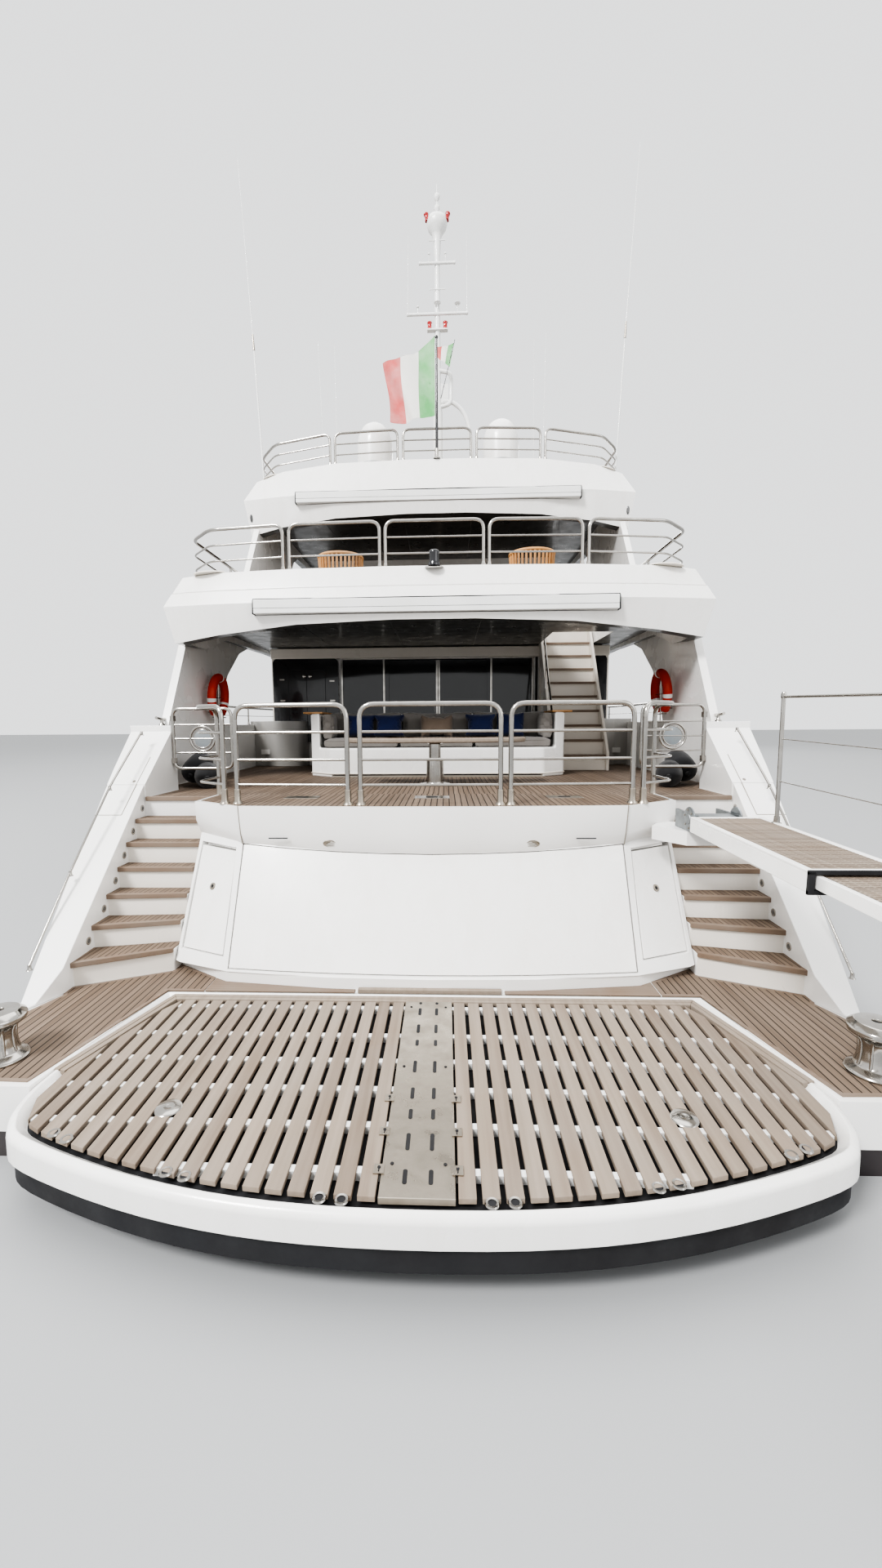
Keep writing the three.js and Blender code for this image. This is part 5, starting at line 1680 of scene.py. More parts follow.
@dataclass
class SternSides:
    """What the two wings carry: courtesy lamps by the treads, rub rods, fenders and lifebuoys."""

    lamps: Sequence[tuple[float, float]] = (
        (-14.26, 1.75), (-14.475, 1.55), (-14.67, 1.35), (-14.855, 1.15), (-15.075, 0.95), (-15.34, 0.75)
    )
    rod: Sequence[Point] = (
        (3.20, -13.83, 2.50), (3.215, -14.46, 1.965), (3.225, -15.12, 1.27), (3.235, -15.68, 0.64)
    )
    lid: Sequence[tuple[float, float]] = (
        (3.36, -14.50), (3.09, -14.50), (3.09, -14.15), (3.09, -14.12), (3.09, -13.88)
    )
    drain: tuple[float, float] = (3.13, -14.16)
    lamp_profile: Sequence[tuple[float, float]] = (
        (0, 0.005), (0.020, 0.005), (0.024, 0.008), (0.034, 0.006), (0.036, -0.01), (0, -0.01)
    )
    rod_foot: Sequence[tuple[float, float]] = (
        (0, 0.045), (0.014, 0.045), (0.016, 0.01), (0.026, 0.0), (0, 0)
    )
    fender_profile: Sequence[tuple[float, float]] = (
        (0, -0.30), (0.045, -0.295), (0.10, -0.26), (0.14, -0.19), (0.15, -0.10), (0.15, 0.10), (0.14, 0.19),
        (0.10, 0.26), (0.045, 0.295), (0, 0.30),
    )
    fender_places: Sequence[tuple[float, float, float, Point]] = (
        (2.76, -13.18, 2.0, (0.4, 1, 0.05)), (2.98, -12.95, 2.08, (0.1, 1, 0.28))
    )

    def build(self) -> list[Object]:
        """Both sides alike.

        Returns:
            The finished pieces.
        """
        made = []
        for side in Side:
            made += [
                self.lights(side), self.rub_rod(side), self.locker(side), self.fender(side),
                self.lifebuoy(side),
            ]
        return made

    def lights(self, side: Side) -> Object:
        """Round courtesy lamps let into the stair's outer wall.

        Args:
            side: The side of the boat.

        Returns:
            The finished piece.
        """
        bm = bmesh.new()
        s = side.value
        for y, z in self.lamps:
            found = Probe.hit(f"stern_stair_{side.tag}", (s * 2.90, y, z), (s, 0, 0))
            if not found:
                continue
            centre, inward = found
            add_turned(bm, self.lamp_profile, centre, inward, 22)
            paint(add_turned(bm, plain_disc(0.019, 0.0065), centre, inward, 18), 1)
        return publish(bm, f"stair_lamps_{side.tag}", Slot.STEEL, [POLISHED, SMOKED])

    def rub_rod(self, side: Side) -> Object:
        """A dark polished rod down the wing's sloping top, in brackets.

        Args:
            side: The side of the boat.

        Returns:
            The finished piece.
        """
        bm = bmesh.new()
        s = side.value
        path = [Vector((s * x, y, z + 0.03)) for x, y, z in self.rod]
        add_pipe(bm, rounded(path, 0.12, 5), 0.011, 10)
        for x, y, z in self.rod:
            add_turned(bm, self.rod_foot, (s * x, y, z - 0.006), steps=14)
        return publish(bm, f"rub_rod_{side.tag}", Slot.STEEL, [POLISHED])

    def locker(self, side: Side) -> Object:
        """The joint round the lid let into the wing's sloping top, and the drain beside it.

        Args:
            side: The side of the boat.

        Returns:
            The finished piece.
        """
        bm = bmesh.new()
        s = side.value
        marks = []
        for x, y in (*self.lid, self.drain):
            found = [
                Probe.hit(f"{node}_{side.tag}", (s * x, y, 3.4), (0, 0, -1))
                for node in ("stern_stair", "bulwark")
            ]
            marks.append(max((hit for hit in found if hit), key=lambda hit: hit[0].z))
        *edge, (spot, up) = marks
        for (a, _), (b, _) in zip(edge, edge[1:]):
            add_bar(bm, a, b, 0.004, 6)
        add_turned(bm, [(0, 0.002), (0.010, 0.002), (0.013, 0.004), (0.017, 0.0), (0, 0)], spot, up, 16)
        return publish(bm, f"wing_joint_{side.tag}", Slot.GELCOAT, [SEALANT_AND_SHADE])

    def fender(self, side: Side) -> Object:
        """Two stowed black fenders behind the gate, in knitted covers with tied ends.

        Args:
            side: The side of the boat.

        Returns:
            The finished piece.
        """
        bm = bmesh.new()
        s = side.value
        for x, y, z, axis in self.fender_places:
            add_turned(bm, self.fender_profile, (s * x, y, z), (s * axis[0], axis[1], axis[2]), 20)
            tip = Vector((s * x, y, z)) - Vector((s * axis[0], axis[1], axis[2])).normalized() * 0.30
            add_bar(bm, tip, tip - Vector((0, 0.05, -0.01)), 0.03, 12, 0.018)
        return publish(bm, f"fenders_{side.tag}", Slot.DARK_STEEL, [BLACK_CANVAS])

    def lifebuoy(self, side: Side) -> Object:
        """A horseshoe lifebuoy in a bracket on the inner face of the wing, with its white bands.

        Args:
            side: The side of the boat.

        Returns:
            The finished piece.
        """
        bm = bmesh.new()
        s = side.value
        centre = Vector((s * 3.17, -11.72, 3.02))
        arc = [math.radians(a) for a in range(-60, 241, 12)]
        path = [
            centre + Vector((s * -0.02 * math.sin(a), math.cos(a) * 0.24, math.sin(a) * 0.27)) for a in arc
        ]
        add_pipe(bm, path, 0.062, 14)
        for k in (3, 12, 21):
            ring = [path[k - 1].lerp(path[k], 0.6), path[k], path[k].lerp(path[k + 1], 0.4)]
            paint(add_pipe(bm, ring, 0.064, 14), 1)
        for z in (2.72, 3.0):
            paint(add_bar(bm, (s * 3.17, -11.96, z), (s * 3.17, -11.48, z), 0.008, 8), 2)
        paint(add_bar(bm, (s * 3.17, -11.72, 2.62), (s * 3.17, -11.72, 3.2), 0.010, 8), 2)
        paint(add_bar(bm, (s * 3.17, -11.72, 2.8), (s * 3.45, -11.72, 2.8), 0.012, 8), 2)
        return publish(bm, f"lifebuoy_{side.tag}", Slot.CUSHION, [RING_ORANGE, WHITE_PLASTIC, POLISHED])


@dataclass
class Pad:
    """One stuffed cushion: a crowned form with drawn-in sides, blown up as cloth, with piping round it."""

    name: str
    low: Point
    high: Point
    finish: Finish
    tilt: float = 0.0
    turn: float = 0.0
    piping: bool = True
    replaced: Sequence[str] = ()
    channels: int = 0
    rests: tuple[int, int] = (2, -1)
    cap: float = 0.024
    cuts: int = 12

    @property
    def size(self) -> Vector:
        """Its length along each axis."""
        return Vector(self.high) - Vector(self.low)

    @property
    def thin(self) -> int:
        """The axis of its thickness."""
        return min(range(3), key=lambda i: self.size[i])

    @property
    def wide(self) -> list[int]:
        """The two other axes."""
        return [i for i in range(3) if i != self.thin]

    def build(self) -> Object:
        """The cushion, swollen by a cloth simulation.

        Returns:
            The finished piece.
        """
        bm = self.blank()
        bm = self.swollen(bm)
        axis, sign = self.rests
        stop = self.size[axis] / 2
        for vert in bm.verts:
            if vert.co[axis] * sign > stop:
                vert.co[axis] = stop * sign
        if self.piping:
            self.pipe(bm)
        centre = (Vector(self.high) + Vector(self.low)) / 2
        turned = Matrix.Rotation(self.turn, 4, "Z") @ Matrix.Rotation(self.tilt, 4, "X")
        bm.transform(Matrix.Translation(centre) @ turned)
        pad = publish(bm, self.name, Slot.CUSHION, [self.finish], BOAT, self.replaced, 70)
        return pad

    def blank(self) -> BMesh:
        """The unfilled shape: crowned on both faces, its edges drawn in between the corners.

        Returns:
            The shape, about its own centre.
        """
        bm = bmesh.new()
        bmesh.ops.create_cube(bm, size=1.0)
        bmesh.ops.subdivide_edges(bm, edges=bm.edges[:], cuts=self.cuts, use_grid_fill=True)
        first, second = self.wide
        for vert in bm.verts:
            u, w = 2 * vert.co[first], 2 * vert.co[second]
            crown = (1 - u**4) * (1 - w**4)
            groove = math.cos(math.pi * (self.channels + 1) * (u + 1)) if self.channels else 0
            vert.co[self.thin] *= 0.72 + 0.22 * crown - 0.035 * max(0.0, groove) ** 8
            vert.co[first] *= 0.985 - 0.018 * (1 - w * w)
            vert.co[second] *= 0.985 - 0.018 * (1 - u * u)
            vert.co = Vector(a * b for a, b in zip(vert.co, self.size))
        round_edges(bm, min(self.size) * 0.16, 3, 50)
        return bm

    def swollen(self, bm: BMesh) -> BMesh:
        """Fills the shape under pressure as cloth and keeps each point within the cap.

        Args:
            bm: The unfilled shape, which is freed.

        Returns:
            The filled shape, once subdivided.
        """
        area = sum(face.calc_area() for face in bm.faces)
        mesh = bpy.data.meshes.new("filling")
        bm.to_mesh(mesh)
        bm.free()
        trial = bpy.data.objects.new("filling", mesh)
        scene = bpy.context.scene
        scene.collection.objects.link(trial)
        remesh = trial.modifiers.new("cells", "REMESH")
        remesh.mode = "VOXEL"
        remesh.voxel_size = max(0.006, math.sqrt(area / 3200))
        trial.data = bpy.data.meshes.new_from_object(
            trial.evaluated_get(bpy.context.evaluated_depsgraph_get())
        )
        trial.modifiers.clear()
        start = [vert.co.copy() for vert in trial.data.vertices]
        cloth = trial.modifiers.new("swell", "CLOTH")
        cloth.settings.quality = 5
        cloth.settings.use_pressure = True
        cloth.settings.uniform_pressure_force = 4
        cloth.settings.effector_weights.gravity = 0
        for step in range(1, 21):
            scene.frame_set(step)
        filled = trial.evaluated_get(bpy.context.evaluated_depsgraph_get()).data
        for vert, old, new in zip(trial.data.vertices, start, filled.vertices):
            move = new.co - old
            vert.co = old + move * min(1.0, self.cap / max(move.length, 1e-9))
        scene.frame_set(1)
        swell = bmesh.new()
        swell.from_mesh(trial.data)
        bpy.data.objects.remove(trial)
        bmesh.ops.subdivide_edges(swell, edges=swell.edges[:], cuts=1, use_grid_fill=True, smooth=0.6)
        bmesh.ops.smooth_vert(
            swell, verts=swell.verts, factor=0.5, use_axis_x=True, use_axis_y=True, use_axis_z=True
        )
        return swell

    def pipe(self, bm: BMesh) -> None:
        """Sews the piping on, as a cord on the surface round the cushion's two faces.

        Args:
            bm: The mesh under construction.
        """
        tree = BVHTree.FromBMesh(bm)
        half = [self.size[i] / 2 for i in self.wide]
        for share in (0.40, -0.40):
            line = []
            for k in range(56):
                angle = k * math.tau / 56
                c, d = math.cos(angle), math.sin(angle)
                reach = max(abs(c), abs(d)) ** 0.85
                point = Vector((0, 0, 0))
                for axis, h, way in zip(self.wide, half, (c, d)):
                    point[axis] = max(-h, min(h, h * way / reach))
                point[self.thin] = self.size[self.thin] * share
                line.append(tree.find_nearest(point)[0])
            add_pipe(bm, line, 0.0055, 6, closed=True)


@dataclass
class AftSofa:
    """The moulded sofa on the aft deck: white shell, varnished caps, grey cushions and loose pillows."""

    shell_top: float = 2.76
    thirds: Sequence[tuple[float, float]] = ((-1.63, -0.53), (-0.54, 0.54), (0.53, 1.63))
    arm_plan: Sequence[tuple[float, float]] = (
        (1.655, -11.72), (1.80, -11.72), (1.955, -11.64), (1.955, -10.89), (1.655, -10.89)
    )
    kick_plan: Sequence[tuple[float, float]] = (
        (1.842, -11.705), (1.506, -11.972), (-1.506, -11.972), (-1.842, -11.705), (-1.94, -10.96),
        (1.94, -10.96),
    )

    def build(self) -> list[Object]:
        """Shell, cushions, pillows and caps.

        Returns:
            The finished pieces.
        """
        made = [Dressed("aft_sofa", Slot.GELCOAT, [GELCOAT], BOAT, 0.03, 3).build(), self.caps(), self.kick()]
        for k, (a, b) in enumerate(self.thirds):
            first = ["aft_sofa_cushions"] if k == 0 else []
            made.append(
                Pad(
                    f"sofa_seat_{k}", (a, -11.90, 2.272), (b, -11.385, 2.392), GREY_CANVAS, replaced=first
                ).build()
            )
            made.append(
                Pad(
                    f"sofa_back_{k}",
                    (a, -11.38, 2.39),
                    (b, -11.13, 2.775),
                    GREY_CANVAS,
                    tilt=-0.06,
                    rests=(1, 1),
                ).build()
            )
        for s in (1, -1):
            a, b = sorted((s * 1.645, s * 1.50))
            made.append(
                Pad(
                    f"sofa_arm_{'stbd' if s > 0 else 'port'}", (a, -11.78, 2.39), (b, -11.40, 2.76),
                    GREY_CANVAS,
                ).build()
            )
        pillows = (
            ("pillow_navy_0", -1.12, 0.45, NAVY_CANVAS, 0.10), (
                "pillow_navy_1", -0.70, 0.45, NAVY_CANVAS, -0.06
            ),
            ("pillow_taupe", 0.0, 0.50, TAUPE_CANVAS, 0.0),
            ("pillow_navy_2", 0.64, 0.45, NAVY_CANVAS, 0.05), (
                "pillow_navy_3", 1.08, 0.42, NAVY_CANVAS, -0.12
            ),
        )
        for k, (name, x, width, finish, turn) in enumerate(pillows):
            y = -11.53 + (0.035 if k in (0, 4) else 0.0)
            low, high = (x - width / 2, y - 0.075, 2.40), (x + width / 2, y + 0.075, 2.76 if k != 2 else 2.73)
            made.append(Pad(name, low, high, finish, -0.22, turn, False, cap=0.05).build())
        return made

    def caps(self) -> Object:
        """Varnished boards on the two arms.

        Returns:
            The finished piece.
        """
        bm = bmesh.new()
        for s in (1, -1):
            add_slab(
                bm, [(s * x, y) for x, y in self.arm_plan], self.shell_top + 0.001, self.shell_top + 0.027
            )
        round_edges(bm, 0.008, 3)
        return publish(bm, "sofa_caps", Slot.TEAK, [VARNISHED])

    def kick(self) -> Object:
        """The recess where the shell meets the deck, painted dark as shade, and the ledge over it.

        Returns:
            The finished piece.
        """
        bm = bmesh.new()
        inner = [(x * 0.985, y + 0.012) for x, y in self.kick_plan]
        add_slab(bm, self.kick_plan, MAIN_Z + 0.052, MAIN_Z + 0.062)
        # Painted shade: the recessed strip under the ledge is dark.
        tint(add_slab(bm, inner, MAIN_Z + 0.004, MAIN_Z + 0.045), 1)
        return publish(bm, "sofa_kick", Slot.GELCOAT, [CREAM_AND_SHADE, SEALANT_AND_SHADE])


@dataclass
class AftTable:
    """The teak table on its polished column."""

    top: Sequence[tuple[float, float]] = (
        (1.14, -12.72), (1.10, -12.98), (0.93, -13.17), (0.50, -13.27), (-0.50, -13.27), (-0.93, -13.17),
        (-1.10, -12.98),
        (-1.14, -12.72),
    )
    level: tuple[float, float] = (2.375, 2.432)
    column: Point = (0, -13.0, 1.85)
    stand_profile: Sequence[tuple[float, float]] = (
        (0, 0.0), (0.19, 0.0), (0.195, 0.012), (0.18, 0.022), (0.115, 0.030), (0.108, 0.045), (0.105, 0.30),
        (0.098, 0.315), (0.075, 0.320), (0.072, 0.50), (0.10, 0.515), (0.16, 0.522), (0.16, 0.526),
        (0, 0.526),
    )

    def build(self) -> list[Object]:
        """Top, column and foot."""
        return [self.board(), self.stand()]

    def board(self) -> Object:
        """The planked top with its thick rounded edge.

        Returns:
            The finished piece.
        """
        bm = bmesh.new()
        add_slab(bm, self.top, *self.level)
        ends = [e for e in bm.edges if abs(e.verts[0].co.z - e.verts[1].co.z) > 0.01]
        bevel(bm, ends, 0.05, 4)
        round_edges(bm, 0.018, 4, 40)
        top = max(bm.faces, key=lambda f: f.calc_area() if f.normal.z > 0.9 else 0)
        bmesh.ops.inset_region(bm, faces=[top], thickness=0.055, use_even_offset=True)
        tint((face for face in bm.faces if face is not top), 1)
        for x in (-0.38, 0.38):
            for y in (-12.74, -13.22):
                paint(add_turned(bm, plain_disc(0.012, 0.004), (x, y, self.level[1] - 0.001), steps=12), 2)
        return publish(bm, "table_board", Slot.TEAK, [TREAD_TEAK, SLAT_TEAK, SATIN], BOAT, ["aft_table"])

    def stand(self) -> Object:
        """A fat lower sleeve, a slimmer lift column and a spread foot ring.

        Returns:
            The finished piece.
        """
        bm = bmesh.new()
        add_turned(bm, self.stand_profile, (self.column[0], self.column[1], MAIN_Z + 0.003), steps=36)
        for bolt in ellipse((0, self.column[1], MAIN_Z + 0.024), (0.155, 0, 0), (0, 0.155, 0), 6):
            add_turned(bm, [(0, 0.007), (0.010, 0.007), (0.012, 0), (0, 0)], bolt, steps=6)
        return publish(bm, "table_stand", Slot.STEEL, [POLISHED])


@dataclass
class SaloonBulkhead:
    """The saloon's aft wall: glass doors in steel frames, black cabinet, pillars and curved lockers."""

    face: float = -9.402
    mullions: Sequence[tuple[float, float]] = ((-1.775, 0.03), (-1.0, 0.035), (0.96, 0.035), (1.71, 0.03))
    door_rows: Sequence[tuple[Side, float, float]] = (
        (Side.PORT, -0.955, 0.030), (Side.PORT, -0.030, 0.034), (Side.STARBOARD, 0.012, 0.030), (
            Side.STARBOARD, 0.93, 0.020
        )
    )
    locker_top: float = 2.68
    lockers: Sequence[tuple[float, Sequence[tuple[float, float]]]] = (
        (
            -1,
            (
                (2.41, -9.41), (2.42, -9.60), (2.52, -9.73), (2.86, -9.76), (3.06, -9.66), (3.20, -9.56),
                (3.47, -9.53), (3.47, -9.41),
            ),
        ),
        (
            1,
            (
                (2.63, -9.41), (2.64, -9.60), (2.72, -9.72), (2.93, -9.75), (3.09, -9.65), (3.20, -9.56),
                (3.47, -9.53), (3.47, -9.41),
            ),
        ),
    )
    panel_rows: Sequence[tuple[float, float, float, float, float]] = (
        (-3.03, -1.825, 2.30, 3.81, 0.10), (1.755, 1.80, 1.92, 3.81, 0.012), (2.74, 3.02, 2.30, 3.82, 0.09)
    )
    knob_profile: Sequence[tuple[float, float]] = (
        (0, 0.012), (0.022, 0.012), (0.032, 0.006), (0.034, 0), (0, 0)
    )

    def build(self) -> list[Object]:
        """Frame, doors, panels and lockers.

        Returns:
            The finished pieces.
        """
        made = [Dressed("saloon_frame", Slot.GLASS, [DARK_GLASS], BOAT, 0.002).build()]
        for side in Side:
            node = f"saloon_door_{side.tag}"
            made.append(Dressed(node, Slot.GLASS, [DARK_GLASS], node, 0.003).build())
            made.append(self.door_steel(side))
        return [*made, self.steel(), self.panels(), self.trim(), self.locker_pair()]

    def steel(self) -> Object:
        """The fixed mullions and the sill and head rails.

        Returns:
            The finished piece.
        """
        bm = bmesh.new()
        for x, width in self.mullions:
            add_box(bm, (x - width / 2, self.face - 0.008, 1.87), (x + width / 2, self.face + 0.014, 3.80))
        add_box(bm, (-1.79, self.face - 0.006, 3.785), (1.74, self.face + 0.010, 3.805))
        add_box(bm, (-1.79, self.face - 0.03, 1.856), (1.74, self.face + 0.08, 1.872))
        round_edges(bm, 0.003, 2)
        return publish(bm, "saloon_mullions", Slot.STEEL, [POLISHED])

    def door_steel(self, side: Side) -> Object:
        """The stiles and the pull of one sliding leaf.

        Args:
            side: The side of the boat.

        Returns:
            The finished piece.
        """
        bm = bmesh.new()
        for own, x, width in self.door_rows:
            if own is side:
                add_box(bm, (x - width / 2, -9.3570, 1.93), (x + width / 2, -9.3515, 3.77))
        node = f"saloon_door_{side.tag}"
        x = side.value * 0.075
        add_pipe(
            bm,
            rounded([(x, -9.352, 2.75), (x, -9.3568, 2.75), (x, -9.3568, 3.05), (x, -9.352, 3.05)], 0.004, 3),
            0.002,
            8,
        )
        return publish(bm, f"{node}_stiles", Slot.STEEL, [POLISHED], node)

    def panels(self) -> Object:
        """Black lacquer cabinet with two leaves, and the narrow panes to starboard.

        Returns:
            The finished piece.
        """
        bm = bmesh.new()
        for x0, x1, z0, z1, out in self.panel_rows:
            made = add_box(bm, (x0, self.face - out, z0), (x1, self.face + 0.004, z1))
            upright = [
                e for e in {e for v in made for e in v.link_edges}
                if abs(e.verts[0].co.y - e.verts[1].co.y) > out * 0.5 and e.verts[0].co.z > 3.7
            ]
            if out > 0.05:
                bevel(bm, upright, 0.09, 6)
        round_edges(bm, 0.006, 2, 40)
        front = self.face - 0.10
        for x in (-2.745, -2.41, -2.065):
            paint(add_box(bm, (x - 0.004, front - 0.0015, 2.6), (x + 0.004, front + 0.01, 3.60)), 2)
        paint(add_box(bm, (-2.745, front - 0.0015, 3.596), (-2.065, front + 0.01, 3.604)), 2)
        for x, z in ((-2.86, 3.43), (-2.855, 3.05), (-1.94, 3.40), (-1.935, 3.045)):
            paint(
                add_box(bm, (x - 0.045, front - 0.010, z - 0.014), (x + 0.045, front + 0.002, z + 0.014)), 1
            )
        for x in (-2.45, -2.34):
            paint(add_turned(bm, self.knob_profile, (x, front, 3.49), (0, -1, 0), 20), 1)
        return publish(bm, "saloon_cabinet", Slot.DARK_STEEL, [LACQUER, POLISHED, RUBBER_AND_SHADE])

    def trim(self) -> Object:
        """The head band and the rounded pillars at both ends of the wall, darkened to cream as painted shade.

        Returns:
            The finished piece.
        """
        bm = bmesh.new()
        add_box(bm, (-3.06, self.face - 0.11, 3.80), (3.06, self.face + 0.01, 3.99))
        for x0, x1 in ((-3.06, -2.93), (1.82, 1.86), (2.93, 3.06)):
            add_box(bm, (x0, self.face - 0.06, 1.86), (x1, self.face + 0.01, 3.95))
        round_edges(bm, 0.03, 4)
        return publish(bm, "saloon_trim", Slot.GELCOAT, [CREAM_AND_SHADE])

    def locker_pair(self) -> Object:
        """The curved lockers, their grey a painted shade, each with a bright lamp.

        Returns:
            The finished piece.
        """
        bm = bmesh.new()
        for s, plan in self.lockers:
            line = [(s * x, y) for x, y in (plan[0], *fair(plan[1:-1], 4), plan[-1])]
            add_slab(bm, line, MAIN_Z + 0.006, self.locker_top)
        round_edges(bm, 0.012, 3, 50)
        for s, _ in self.lockers:
            lamp = add_box(bm, (s * 3.15 - 0.10, -9.635, 2.075), (s * 3.15 + 0.10, -9.54, 2.165))
            paint(lamp, 1)
        return publish(bm, "saloon_lockers", Slot.GELCOAT, [LOCKER_SHADE, LAMP_CLEAR])


@dataclass
class UpperStair:
    """The stair to the upper deck: a closed flight darkened to cream as painted shade, brown nosings and a
    steel handrail.
    """

    foot: float = -10.84
    run: float = 0.15
    rise: float = 0.24
    inside: tuple[float, float] = (1.842, 2.658)

    def build(self) -> list[Object]:
        """Flight, nosings and handrail."""
        return [
            Dressed("upper_stair", Slot.GELCOAT, [CREAM_AND_SHADE], BOAT, 0.004).build(),
            self.risers(),
            self.nosings(),
            self.handrail(),
        ]

    def risers(self) -> Object:
        """The boards that close the flight, darkened to cream as painted shade.

        Returns:
            The finished piece.
        """
        bm = bmesh.new()
        x0, x1 = self.inside
        for k in range(10):
            y, z = self.foot + self.run * k, MAIN_Z + self.rise * k
            add_box(bm, (x0, y + 0.010, z + 0.008), (x1, y + 0.035, min(z + self.rise - 0.03, 4.22)))
        return publish(bm, "stair_risers", Slot.GELCOAT, [CREAM_AND_SHADE])

    def nosings(self) -> Object:
        """A thick brown board on each tread.

        Returns:
            The finished piece.
        """
        bm = bmesh.new()
        x0, x1 = self.inside
        for k in range(1, 10):
            y, z = self.foot + self.run * (k - 1), MAIN_Z + self.rise * k
            add_box(bm, (x0, y - 0.014, z - 0.030), (x1, y + 0.145, z + 0.010))
        round_edges(bm, 0.006, 2)
        return publish(bm, "stair_nosings", Slot.TEAK, [BOARD_TEAK])

    def handrail(self) -> Object:
        """A polished rail up the inner side, on three posts.

        Returns:
            The finished piece.
        """
        bm = bmesh.new()
        x = 1.80
        ends = ((-10.93, 2.70), (-9.95, 4.27))
        path = [
            (x, -10.93, 1.86), (x, *ends[0]), (x, *ends[1]), (x, -9.72, 4.95), (x, -9.50, 4.95),
            (x, -9.50, 4.26),
        ]
        add_pipe(bm, rounded(path, 0.10, 6), 0.017, 12)
        for t in (0.35, 0.7):
            y = ends[0][0] + (ends[1][0] - ends[0][0]) * t
            z = ends[0][1] + (ends[1][1] - ends[0][1]) * t
            add_bar(bm, (x, y, z), (x, y, z - 0.62), 0.010, 10)
        return publish(bm, "stair_handrail", Slot.STEEL, [POLISHED])


class Probe:
    """Finds points on the surface of a CAD piece."""

    trees: dict[str, BVHTree] = {}

    @classmethod
    def hit(cls, node: str, start: Point, way: Point) -> tuple[Vector, Vector] | None:
        """The first point of a piece that a ray meets.

        Args:
            node: The CAD piece.
            start: Where the ray starts.
            way: Its direction.

        Returns:
            The point and the outward normal there, or None where it misses.
        """
        if node not in cls.trees:
            bm = copy_of(node, 0)
            cls.trees[node] = BVHTree.FromBMesh(bm)
            bm.free()
        point, normal, _, _ = cls.trees[node].ray_cast(Vector(start), Vector(way).normalized())
        if point is None:
            return None
        return point, -normal if normal.dot(Vector(way)) > 0 else normal


